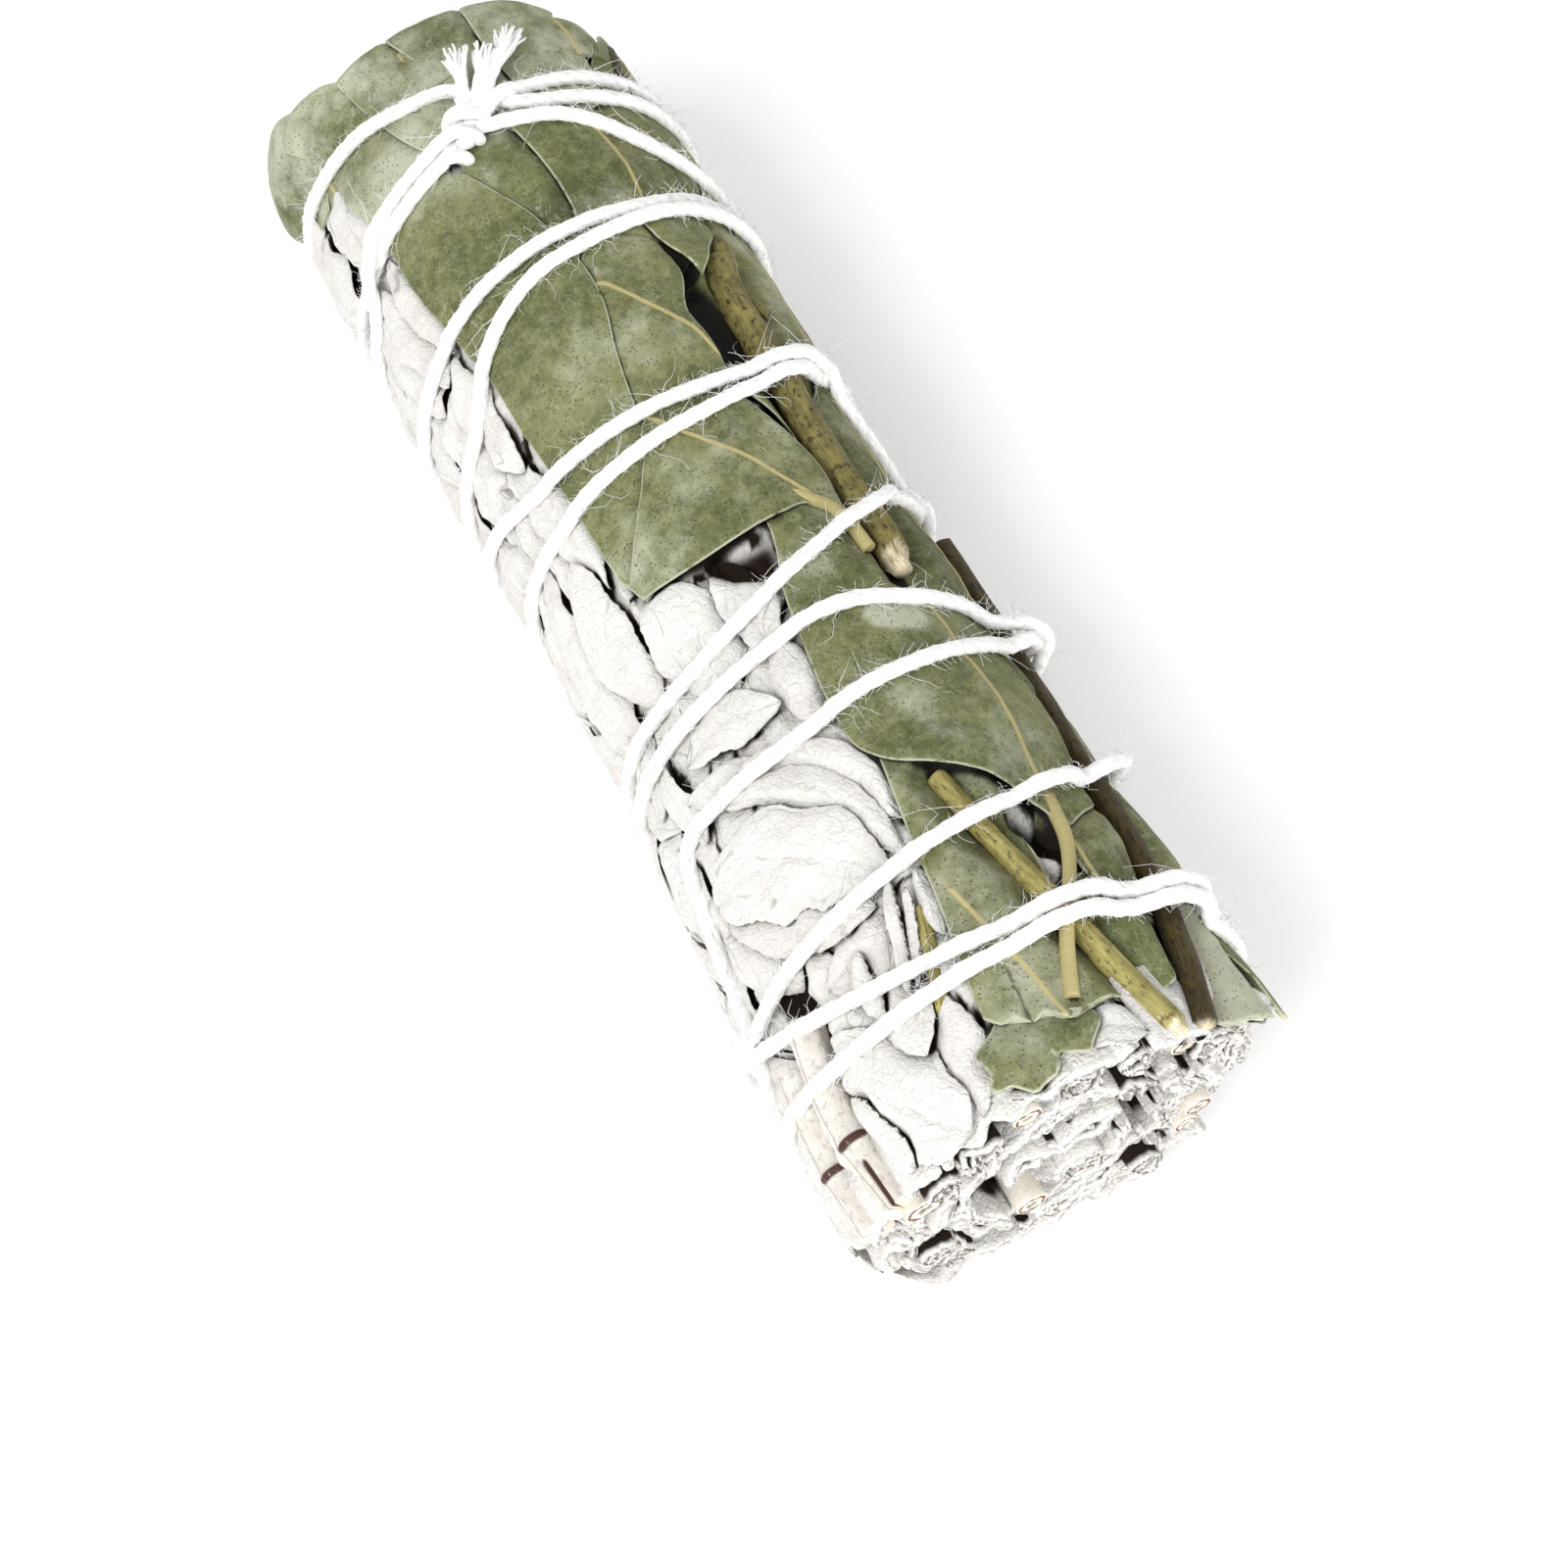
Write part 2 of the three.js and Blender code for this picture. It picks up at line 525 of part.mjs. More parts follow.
// A curved plate on the net, between two nets of depths, over the corners near an outline
function netPlate(outline, outer, inner) {
  const xs = outline.map(([x]) => x);
  const turns = outline.map(([, turn]) => turn);
  const span = (net, low, high) => [
    Math.max(net.findIndex((at) => at > low) - 2, 0),
    Math.min((net.findIndex((at) => at > high) + net.length) % net.length, net.length - 1),
  ];
  const [i0, i1] = span(NET_X, Math.min(...xs), Math.max(...xs));
  const [j0, j1] = span(NET_TURN, Math.min(...turns), Math.max(...turns));
  const columns = j1 - j0 + 1;
  const points = [];
  [outer, inner].forEach((net) => {
    for (let i = i0; i <= i1; i += 1) {
      for (let j = j0; j <= j1; j += 1) points.push(atDepth(NET_X[i], NET_TURN[j], net[i][j]));
    }
  });
  const size = points.length / 2;
  const corner = (i, j) => (i - i0) * columns + (j - j0);
  const triangles = [];
  const wall = (a, b) => triangles.push([a, b, b + size], [a, b + size, a + size]);
  for (let i = i0; i < i1; i += 1) {
    for (let j = j0; j < j1; j += 1) {
      const [a, b, c, d] = [corner(i, j), corner(i + 1, j), corner(i + 1, j + 1), corner(i, j + 1)];
      triangles.push([a, b, c], [a, c, d], [a + size, c + size, b + size], [a + size, d + size, c + size]);
    }
    wall(corner(i + 1, j0), corner(i, j0));
    wall(corner(i, j1), corner(i + 1, j1));
  }
  for (let j = j0; j < j1; j += 1) {
    wall(corner(i0, j), corner(i0, j + 1));
    wall(corner(i1, j + 1), corner(i1, j));
  }
  return solidFrom(points, triangles);
}

// The wedge of space over an outline, from near the stick's axis to well outside it
function outlineWedge(outline) {
  const toPlane = ([x, turn]) => new THREE.Vector2(x, turn);
  const ring = THREE.ShapeUtils.isClockWise(outline.map(toPlane)) ? [...outline].reverse() : outline;
  const [inside, outside] = [4, STICK_LENGTH / 3];
  const points = [outside, inside].flatMap((radius) => ring.map(([x, turn]) => atRadius(x, turn, radius)));
  const count = ring.length;
  const triangles = THREE.ShapeUtils.triangulateShape(ring.map(toPlane), [])
    .flatMap(([a, b, c]) => [[a, b, c], [a + count, c + count, b + count]]);
  for (let i = 0; i < count; i += 1) {
    const next = (i + 1) % count;
    triangles.push([next, i, i + count], [next, i + count, next + count]);
  }
  return solidFrom(points, triangles);
}

const CORNER_STRETCH = 1.15;

// An outline moved outward by a distance in mm, and a little more at its corners
function grownOutline(outline, distance) {
  const contour = outline.map(([x, turn]) => new THREE.Vector2(x, turn * radians(bundleRadius(x))));
  const outward = THREE.ShapeUtils.isClockWise(contour) ? 1 : -1;
  return contour.map((point, i) => {
    const before = contour[(i + contour.length - 1) % contour.length];
    const after = contour[(i + 1) % contour.length];
    const normals = [point.clone().sub(before), after.clone().sub(point)]
      .map((edge) => new THREE.Vector2(-edge.y, edge.x).normalize().multiplyScalar(outward));
    const middle = normals[0].add(normals[1]).normalize();
    const moved = point.clone().addScaledVector(middle, distance * CORNER_STRETCH);
    return [moved.x, moved.y / radians(bundleRadius(outline[i][0]))];
  });
}

const shifted = (net, by) => net.map((row) => row.map((depth) => depth + by));

EUCALYPTUS.forEach((leaf) => {
  const plate = netPlate(leaf.outline, leaf.depth, shifted(leaf.depth, -LEAF_THICKNESS));
  let solid = plate.intersect(outlineWedge(leaf.outline));
  const stalk = STALKS[leaf.name];
  if (stalk) solid = solid.add(stalkSolid(stalk));
  addPiece(leaf.name, solid, leaf.dark ? FINISHES.darkLeaf : FINISHES.leaf);
});

TWIGS.forEach((twig) => addPiece(twig.name, twigSolid(twig), twig.finish));

// The string's height over the bundle: pressed to the leaves, and lifted over each twig and stalk
const LIFTERS = [
  ...TWIGS.map(({ places, depths, diameter }) => ({
    path: densePlaces(places),
    top: Math.max(...depths) + diameter / 2,
  })),
  ...Object.values(STALKS).map(({ places, depths }) => ({
    path: densePlaces(places),
    top: Math.max(...depths) + LEAF_STALK_DIAMETER / 2,
  })),
];

// 1 where loose leaves lie under a place, falling to 0 on the soft sage, which the string bites into
function leafCover(x, turn) {
  const wrapped = ((((turn - NET_TURN[0]) % 360) + 360) % 360) + NET_TURN[0];
  const i = NET_X.findIndex((at) => at > x) - 1;
  const j = NET_TURN.findIndex((at) => at > wrapped) - 1;
  if (i < 0 || j < 0) return 0;
  const u = (x - NET_X[i]) / (NET_X[i + 1] - NET_X[i]);
  const v = (wrapped - NET_TURN[j]) / (NET_TURN[j + 1] - NET_TURN[j]);
  const covered = (a, b) => Math.sign(load[a][b]);
  return (1 - v) * ((1 - u) * covered(i, j) + u * covered(i + 1, j))
    + v * ((1 - u) * covered(i, j + 1) + u * covered(i + 1, j + 1));
}

function stringDepth(x, turn) {
  const lift = LIFTERS.reduce((most, { path, top }) => {
    const over = top + GAP + STRING_DIAMETER / 2 - STRING_DEPTH;
    return Math.max(most, over * (1 - smooth(leastApart([x, turn], path), ...LIFT_REACH)));
  }, 0);
  return STRING_DEPTH - STRING_BITE * (1 - leafCover(x, turn)) + lift;
}

function stringPoint(turn) {
  const x = routeX(turn);
  const clear = (AXIS_HEIGHT - STRING_DIAMETER / 2 - TABLE_GAP) / Math.max(-Math.cos(radians(turn)), 1e-3);
  return atRadius(x, turn, Math.min(bundleRadius(x) + stringDepth(x, turn) + STRING_GAP, clear));
}

// Route samples: closer together where a twig lifts the string
const FINE_TURN = 10;
const COARSE_TURN = 22;
const stringTurns = [];
const isLifted = (turn) => stringDepth(routeX(turn), turn) > STRING_DEPTH + 0.02;
for (let turn = stringRoute[0][1]; turn > lastTurn;) {
  stringTurns.push(turn);
  turn -= isLifted(turn) || isLifted(turn - FINE_TURN) ? FINE_TURN : COARSE_TURN;
}
stringTurns.push(lastTurn);

// The string in lengths of less than a turn, which share their end sections, so that none meets itself
const TURN_STEPS_PER_PIECE = 12;

function stringPieces(radius, sides) {
  const rings = sections(stringTurns.map(stringPoint), () => radius, sides);
  const pieces = [];
  for (let start = 0; start + 1 < rings.length; start += TURN_STEPS_PER_PIECE) {
    pieces.push(skinned(rings.slice(start, start + TURN_STEPS_PER_PIECE + 1)));
  }
  return pieces;
}

// The knot, as a lump longer along the strands that run into it
const KNOT_HALF_SIZE = [2.9, 1.7, 1.2];
const KNOT_HEADING = 125;
const KNOT_DEPTH = 0.9;
const TAIL_DEPTH = { start: 1.2, rise: 0.15 };
const knot = solidFromGeometry(new THREE.IcosahedronGeometry(1, 1)
  .scale(...KNOT_HALF_SIZE)
  .rotateZ(radians(KNOT_HEADING))
  .rotateX(-radians(KNOT_PLACE[1]))
  .translate(...atDepth(...KNOT_PLACE, KNOT_DEPTH).toArray()));

const tails = TAIL_PLACES.map((places) => tube(
  places.map(([x, turn], i) => atDepth(x, turn, TAIL_DEPTH.start + TAIL_DEPTH.rise * i)),
  (share) => (STRING_DIAMETER / 2) * (0.8 - 0.15 * share),
  STRING_SIDES,
));

const strands = stringPieces(STRING_DIAMETER / 2, STRING_SIDES);
addPiece('cotton_string', joined([...strands, knot, ...tails]), FINISHES.string);

// Sage: a core that dips under the eucalyptus, leaves on it like shingles, and rolled ends at the cut
const CORE_X = [CORE_END_FAR, ...Array.from({ length: 11 }, (_, i) => -53 + 10.4 * i), CORE_END_NEAR];
const CORE_TURN = Array.from({ length: 20 }, (_, i) => -180 + 18 * i);
const CORE_REACH = { x: 8.5, turn: 19 };

function coreDepth(x, turn) {
  let depth = SAGE_CORE_DEPTH;
  NET_X.forEach((netX, i) => NET_TURN.forEach((netTurn, j) => {
    const close = Math.abs(netX - x) < CORE_REACH.x && Math.abs(netTurn - turn) < CORE_REACH.turn;
    if (close && load[i][j] > 0) depth = Math.min(depth, PRESSED_DEPTH - load[i][j] - GAP);
  }));
  return depth;
}

function sageCore() {
  const rings = CORE_X.map((x) => CORE_TURN.map((turn) => {
    const netTurn = turn < NET_TURN[0] - CORE_REACH.turn ? turn + 360 : turn;
    return atDepth(x, turn, coreDepth(x, netTurn));
  }));
  const count = CORE_TURN.length;
  const points = [...rings.flat(), new THREE.Vector3(CORE_END_FAR, 0, AXIS_HEIGHT),
    new THREE.Vector3(CORE_END_NEAR, 0, AXIS_HEIGHT)];
  const triangles = [];
  for (let i = 0; i + 1 < rings.length; i += 1) {
    for (let j = 0; j < count; j += 1) {
      const [a, d] = [i * count + j, i * count + ((j + 1) % count)];
      const [b, c] = [a + count, d + count];
      triangles.push([a, b, c], [a, c, d]);
    }
  }
  const lastRing = (rings.length - 1) * count;
  for (let j = 0; j < count; j += 1) {
    const next = (j + 1) % count;
    triangles.push([points.length - 2, j, next], [points.length - 1, lastRing + next, lastRing + j]);
  }
  return solidFrom(points, triangles);
}

// One sage leaf: a shallow arched scale whose root is sunk in the core and whose tip stands out
const BLADE_ROWS = [0.18, 0.5, 0.82];
const BLADE_SINK = -3.4;

function sageBlade({ x, turn, heading, length, width, root, tip, fold }) {
  const place = (share, side) => {
    const reach = side * (width / 2) * Math.sin(Math.PI * share ** 0.8) ** 0.6;
    const forward = (share - 0.5) * length;
    const [cos, sin] = [Math.cos(radians(heading)), Math.sin(radians(heading))];
    const round = (forward * sin + reach * cos) / radians(bundleRadius(x));
    return [x + forward * cos - reach * sin, turn + round];
  };
  const depth = (share, side) => root + (tip - root) * share ** 0.7 - fold * (Math.abs(side) - 0.5);
  const spots = [[0, 0], ...BLADE_ROWS.flatMap((share) => [-1, 0, 1].map((side) => [share, side])), [1, 0]];
  const inner = spots.map(([share, side]) => atDepth(...place(share, side), BLADE_SINK));
  const outer = spots.map(([share, side]) => atDepth(...place(share, side), depth(share, side)));
  const count = spots.length;
  const last = count - 1;
  const faces = [[0, 2, 1], [0, 3, 2], [last, last - 3, last - 2], [last, last - 2, last - 1]];
  for (let row = 0; row + 1 < BLADE_ROWS.length; row += 1) {
    [1 + 3 * row, 2 + 3 * row].forEach((at) => faces.push([at, at + 1, at + 4], [at, at + 4, at + 3]));
  }
  const rim = [0, 1, 4, 7, 10, 9, 6, 3];
  const triangles = faces.flatMap(([a, b, c]) => [[a, b, c], [a + count, c + count, b + count]]);
  rim.forEach((from, i) => {
    const to = rim[(i + 1) % rim.length];
    triangles.push([from, to, to + count], [from, to + count, from + count]);
  });
  return solidFrom([...outer, ...inner], triangles);
}

const BLADE_SPACING = { x: 18.5, turn: 29 };
const BLADE_TURNS = [-12, -250];
const BLADE_LENGTHS = [22, 26];
const BLADE_WIDTHS = [12, 14.5];
const BLADE_ROOT = -2.2;
const BLADE_TIPS = [-1.05, -0.75];
const BLADE_FOLDS = [0.3, 0.8];
const PRESSED_SWELL = 0.6;
const PRESSED_TURNS = [-220, -140];
const BLADE_X = [-49, 50];
const BLADE_JITTER = { x: 2, turn: 5, heading: 24 };
const BACKWARD_SHARE = 0.3;
const CROSSED = { x: 20, turn: -90, heading: -48 };
const random = seededRandom(SEED);

function sageBlades() {
  const blades = [];
  let row = 0;
  for (let turn = BLADE_TURNS[0]; turn > BLADE_TURNS[1]; turn -= BLADE_SPACING.turn) {
    const pressed = turn > PRESSED_TURNS[0] && turn < PRESSED_TURNS[1];
    for (let x = BLADE_X[0] + (row % 2) * (BLADE_SPACING.x / 2); x < BLADE_X[1]; x += BLADE_SPACING.x) {
      const crossed = x > CROSSED.x && turn > CROSSED.turn;
      const blade = {
        x: x + random(-BLADE_JITTER.x, BLADE_JITTER.x),
        turn: turn + random(-BLADE_JITTER.turn, BLADE_JITTER.turn),
        heading: random(-BLADE_JITTER.heading, BLADE_JITTER.heading)
          + (random(0, 1) > BACKWARD_SHARE ? 0 : 180) + (crossed ? CROSSED.heading : 0),
        length: random(...BLADE_LENGTHS),
        width: random(...BLADE_WIDTHS),
        root: BLADE_ROOT,
        tip: random(...BLADE_TIPS) + (pressed ? PRESSED_SWELL : 0),
        fold: random(...BLADE_FOLDS),
      };
      const hidden = EUCALYPTUS.some(({ outline }) => isInside([blade.x, blade.turn], outline)
        || isInside([blade.x, blade.turn + 360], outline));
      if (!hidden) blades.push(sageBlade(blade));
    }
    row += 1;
  }
  return blades;
}

// A strip of leaf that stands along the stick at the cut end: its path across the end, made thick
const ROLL_WALL = 0.9;

function standingStrip(path, xFrom, xTo) {
  const sides = [1, -1].map((side) => path.map((point, i) => {
    const [before, after] = [path[Math.max(i - 1, 0)], path[Math.min(i + 1, path.length - 1)]];
    const along = after.clone().sub(before).normalize();
    return point.clone().addScaledVector(new THREE.Vector2(-along.y, along.x), (side * ROLL_WALL) / 2);
  }));
  const ring = [...sides[0], ...sides[1].reverse()];
  const count = ring.length;
  const points = [xTo, xFrom].flatMap((x) => ring.map((p) => new THREE.Vector3(x, p.x, AXIS_HEIGHT + p.y)));
  const triangles = [];
  for (let i = 0; i + 1 < path.length; i += 1) {
    const [a, b, c, d] = [i, i + 1, count - 2 - i, count - 1 - i];
    triangles.push([a, b, c], [a, c, d]);
    triangles.push([a + count, c + count, b + count], [a + count, d + count, c + count]);
  }
  for (let i = 0; i < count; i += 1) {
    const next = (i + 1) % count;
    triangles.push([next, i, i + count], [next, i + count, next + count]);
  }
  return solidFrom(points, triangles);
}

function rolledPath(middle, start, size) {
  const [steps, turns, inside] = [7, 1.25, 0.3];
  return Array.from({ length: steps + 1 }, (_, i) => {
    const angle = start + (i / steps) * turns * 2 * Math.PI;
    const reach = size * (inside + (1 - inside) * (i / steps));
    return new THREE.Vector2(Math.cos(angle), Math.sin(angle)).multiplyScalar(reach).add(middle);
  });
}

const FOLD_DEPTH = 0.32;

function foldedPath(middle, heading, size) {
  const along = new THREE.Vector2(Math.cos(heading), Math.sin(heading));
  const across = new THREE.Vector2(-along.y, along.x);
  return [-1, -0.5, 0, 0.5, 1].map((share, i) => middle.clone()
    .addScaledVector(along, share * size)
    .addScaledVector(across, (i % 2 ? 1 : -1) * FOLD_DEPTH * size));
}

// The cut end, ring by ring from the middle: rolled leaves and stems inside, folded leaves round the rim
const CUT_RINGS = [
  { radius: 0, count: 1, kinds: ['roll'], size: 3 },
  { radius: 6.8, count: 6, kinds: ['stem', 'fold', 'roll'], size: 2.8 },
  { radius: 12.4, count: 10, kinds: ['fold', 'roll', 'fold', 'stem'], size: 2.9 },
  { radius: 16.8, count: 14, kinds: ['fold'], size: 3.1 },
];
const CUT_SHRINK = 0.86;
const CUT_STEM_SHARE = 0.62;
const CUT_STEM_STEP = 0.8;
const CUT_UNEVEN = 2.6;
const CUT_SUNK = 2.5;
const CUT_TURN = 0.08;
const FOLD_TURN = 0.4;
const ROLL_TURN = 6;
const UNDER_LEAF = { across: -8, up: 4 };

function cutEnd() {
  const pieces = [];
  const xFrom = CORE_END_NEAR - CUT_SUNK;
  CUT_RINGS.forEach(({ radius, count, kinds, size }, ring) => {
    for (let i = 0; i < count; i += 1) {
      const angle = (i / count) * 2 * Math.PI + ring + random(-CUT_TURN, CUT_TURN);
      const middle = new THREE.Vector2(radius * Math.cos(angle), radius * Math.sin(angle));
      const outermost = ring === CUT_RINGS.length - 1;
      const underLeaf = outermost && middle.y > UNDER_LEAF.up && middle.x > UNDER_LEAF.across;
      if (underLeaf) middle.multiplyScalar(CUT_SHRINK);
      const xTo = HALF_LENGTH - random(0, CUT_UNEVEN);
      const kind = kinds[i % kinds.length];
      if (kind === 'roll') {
        pieces.push(standingStrip(rolledPath(middle, random(0, ROLL_TURN), size), xFrom, xTo));
      }
      if (kind === 'fold') {
        const heading = angle + Math.PI / 2 + random(-FOLD_TURN, FOLD_TURN);
        pieces.push(standingStrip(foldedPath(middle, heading, size), xFrom, xTo));
      }
      if (kind === 'stem') {
        const ends = [xFrom, xTo - CUT_STEM_STEP];
        const points = ends.map((x) => new THREE.Vector3(x, middle.x, AXIS_HEIGHT + middle.y));
        pieces.push(tube(points, () => size * CUT_STEM_SHARE, TWIG_SIDES));
      }
    }
  });
  return pieces;
}

// Sage stems that show along the flank at the cut end
const FLANK_STEMS = [
  { places: [[44, -61], [52, -67.5], [61.5, -62]], depths: [-1.3], diameter: 3.1 },
  { places: [[46, -77], [54, -81.5], [61, -78]], depths: [-1.3], diameter: 3.1 },
];

// Leaf ends folded over the far tip, each from the rim towards the middle
const TIP_FLAPS = 8;
const TIP_FLAP_LIFT = 0.5;
const TIP_FLAP_X = [-60.4, -57];
const TIP_FLAP_OUTLINE = [[14.8, -3.8], [15.5, 0], [14.8, 3.8], [7, 4.6], [1.5, 0.6], [7, -4.6]];

function tipFlaps() {
  return Array.from({ length: TIP_FLAPS }, (_, i) => {
    const angle = (i / TIP_FLAPS) * 2 * Math.PI;
    const lift = TIP_FLAP_LIFT * (i % 3);
    const spots = TIP_FLAP_OUTLINE;
    const level = (x) => spots.map(([reach, side]) => new THREE.Vector3(
      x,
      reach * Math.cos(angle) - side * Math.sin(angle),
      AXIS_HEIGHT + reach * Math.sin(angle) + side * Math.cos(angle),
    ));
    const count = spots.length;
    const triangles = [];
    for (let n = 1; n + 1 < count; n += 1) triangles.push([0, n + 1, n], [count, count + n, count + n + 1]);
    for (let n = 0; n < count; n += 1) {
      const next = (n + 1) % count;
      triangles.push([n, next, next + count], [n, next + count, n + count]);
    }
    return solidFrom([...level(TIP_FLAP_X[0] - lift), ...level(TIP_FLAP_X[1])], triangles);
  });
}

// Everything that the sage keeps clear of: the leaves, twigs, stalks and the string
const SPACE_TOP = 9;

function spaceOverLeaf(leaf) {
  const under = shifted(leaf.depth, -LEAF_THICKNESS - GAP);
  const outline = grownOutline(leaf.outline, GAP);
  return netPlate(outline, shifted(leaf.depth, SPACE_TOP), under).intersect(outlineWedge(outline));
}

const aboveTable = solidFromGeometry(new THREE.BoxGeometry(2 * STICK_LENGTH, STICK_LENGTH, STICK_LENGTH)
  .translate(0, 0, STICK_LENGTH / 2));

let sage = joined([
  sageCore(),
  ...sageBlades(),
  ...cutEnd(),
  ...FLANK_STEMS.map((stem) => twigSolid({ ...stem, taper: () => 1 })),
  ...tipFlaps(),
]);
[
  ...EUCALYPTUS.map(spaceOverLeaf),
  ...TWIGS.map((twig) => twigSolid(twig, GAP)),
  ...Object.values(STALKS).map((stalk) => stalkSolid(stalk, GAP)),
  joined(stringPieces(STRING_DIAMETER / 2 + SAGE_STRING_GAP, STRING_SIDES - 1)),
].forEach((space) => { sage = sage.subtract(space); });
addPiece('sage_bunch', sage.intersect(aboveTable), FINISHES.sage);

export default stick;
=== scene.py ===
"""The looks of a smudge stick: white sage with eucalyptus laid along one side, bound with one string.

Lengths in the classes are millimetres, and meshes are written in metres. A place on the stick is
(x, turn): x runs along the stick to its cut end, and turn is degrees round it from the top towards +Y.
A depth is measured outward from the stick's profile. ARC is about the millimetres in a degree.
"""
import logging
import math
from dataclasses import dataclass, field, replace
from enum import Enum
from typing import Any, Iterable, Sequence

import bpy
import numpy as np
from mathutils import Matrix, Vector


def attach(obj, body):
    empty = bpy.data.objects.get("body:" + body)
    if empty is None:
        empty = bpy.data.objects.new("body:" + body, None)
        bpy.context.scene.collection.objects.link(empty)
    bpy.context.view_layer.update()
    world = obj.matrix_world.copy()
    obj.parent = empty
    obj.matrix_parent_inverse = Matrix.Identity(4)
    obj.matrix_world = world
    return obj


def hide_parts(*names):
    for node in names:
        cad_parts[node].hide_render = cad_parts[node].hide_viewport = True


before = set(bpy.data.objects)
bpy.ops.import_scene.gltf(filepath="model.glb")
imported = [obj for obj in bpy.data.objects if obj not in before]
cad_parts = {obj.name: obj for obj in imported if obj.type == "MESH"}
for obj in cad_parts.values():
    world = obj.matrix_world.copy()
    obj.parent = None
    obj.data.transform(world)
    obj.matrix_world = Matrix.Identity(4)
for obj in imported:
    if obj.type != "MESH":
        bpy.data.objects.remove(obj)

log = logging.getLogger("smudge_stick")
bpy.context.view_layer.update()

MM = 0.001
BODY = "root"
FULL_TURN = 2.0 * math.pi
AXIS_HEIGHT = 17.8
CUT_END_X = 61.6
CORE_ENDS = (-59.0, 57.5)
SEED = 41
ARC = 0.33
FAR = 1e9
TINY = 1e-12
Array = np.ndarray
Material = bpy.types.Material
Pair = tuple[float, float]
Triple = tuple[float, float, float]
Places = Sequence[Pair]
Colour = Triple


def ramp(value: Array, low: float, high: float) -> Array:
    """Rises smoothly from 0 at low to 1 at high: 3t^2 - 2t^3 of the clipped share t."""
    share = np.clip((value - low) / (high - low), 0.0, 1.0)
    return share * share * (3.0 - 2.0 * share)


def bell(value: Array, width: float) -> Array:
    """A hump of height 1 at 0: exp(-(value / width)^2)."""
    return np.exp(-((value / width) ** 2))


def cubic(t: Array, ends: tuple[Array, Array], slopes: tuple[Array, Array],
          step: Array) -> Array:
    """The cubic with given ends and slopes, by Hermite's weights.

    Args:
        t: Shares of the way, from 0 to 1.
        ends: The values at its two ends.
        slopes: The slopes there.
        step: The length that the slopes are measured over.
    Returns:
        The values at t.
    """
    return (ends[0] * (2 * t**3 - 3 * t**2 + 1) + slopes[0] * step * (t**3 - 2 * t**2 + t)
            + ends[1] * (3 * t**2 - 2 * t**3) + slopes[1] * step * (t**3 - t**2))


def waves(points: Array, size: float, seed: int, count: int = 7) -> Array:
    """A smooth uneven field from -1 to 1: twice the mean of sines in random directions.

    Args:
        points: Places in mm, in the last axis.
        size: The rough distance in mm between its humps.
        seed: Picks the directions and phases.
        count: How many sines are summed.
    Returns:
        One number for each point.
    """
    draw = np.random.default_rng(seed)
    heading = draw.normal(size=(count, points.shape[-1]))
    heading *= (draw.uniform(0.6, 1.5, count) / np.linalg.norm(heading, axis=1))[:, None]
    phase = draw.uniform(0.0, FULL_TURN, count)
    return np.sin(points @ heading.T * (FULL_TURN / size) + phase).mean(-1) * 2.0


@dataclass(frozen=True)
class Humps:
    """Smooth unevenness: its height, the distance between humps, and a seed added to its owner's."""

    height: float
    size: float
    seed: int = 0
    count: int = 7

    def at(self, points: Array, seed: int = 0) -> Array:
        """The unevenness at points: its height times waves of its size."""
        return self.height * waves(points, self.size, seed + self.seed, self.count)


@dataclass(frozen=True)
class Bundle:
    """The stick's round form. Its radius is read off a profile along x."""

    axis_height: float = AXIS_HEIGHT
    profile: Places = (
        (-66.0, 17.6), (-62.5, 17.9), (-58.0, 18.4), (-50.0, 19.0), (-45.0, 19.2), (-30.0, 18.9),
        (-15.0, 18.4), (0.0, 17.8), (15.0, 17.9), (30.0, 18.9), (45.0, 19.7), (62.5, 20.0),
    )
    table_gap: float = 0.12
    table_reach: float = 1.0
    box_middle: Triple = (-1.75, 0.0, 0.0)
    flare_height: float = 1.9
    flare_x: Pair = (57.5, 64.0)
    flare_turn: Pair = (42.0, 64.0)

    def radius(self, x: Array) -> Array:
        """The profile's radius at x."""
        at, size = np.array(self.profile).T
        return np.interp(x, at, size)

    def per_degree(self, x: Array) -> Array:
        """Millimetres round the stick in one degree at x."""
        return np.radians(self.radius(x))

    def flare(self, x: Array, turn: Array) -> Array:
        """How far the loose leaves stand out where they spread at the far tip."""
        return self.flare_height * ramp(-x, *self.flare_x) * ramp(-turn, *self.flare_turn)

    def point(self, x: Array, turn: Array, depth: Array) -> Array:
        """The point (x, r sin turn, axis + r cos turn), with r the radius plus the depth.

        Args:
            x: Millimetres along the stick.
            turn: Degrees round it.
            depth: Millimetres out from the profile.
        Returns:
            Points in mm, kept just above the table.
        """
        reach = self.radius(x) + depth
        angle = np.radians(turn)
        parts = np.broadcast_arrays(x, reach * np.sin(angle), self.axis_height + reach * np.cos(angle))
        return self.on_table(np.stack(parts, -1))

    def on_table(self, points: Array) -> Array:
        """Presses points flat where they would pass below the table.

        Args:
            points: Points in mm.
        Returns:
            The points, with z the rounded maximum of z and 0: gap times log(1 + exp(z / gap)).
        """
        made = np.array(points, float)
        z = made[..., 2]
        pressed = self.table_gap * np.logaddexp(0.0, z / self.table_gap)
        made[..., 2] = np.where(z < self.table_reach, pressed, z)
        return made

    def skin(self, x: Array, turn: Array) -> Array:
        """Places as flat millimetres: x, and the arc to the top."""
        return np.stack([x, turn * self.per_degree(x)], -1)

    def outward(self, path: Array) -> Array:
        """From the stick's axis straight out to each point."""
        return path * (0.0, 1.0, 1.0) - (0.0, 0.0, self.axis_height)


BUNDLE = Bundle()


def half_turn(turn: Array) -> Array:
    """Degrees brought to between -180 and 180."""
    return (turn + 180.0) % 360.0 - 180.0


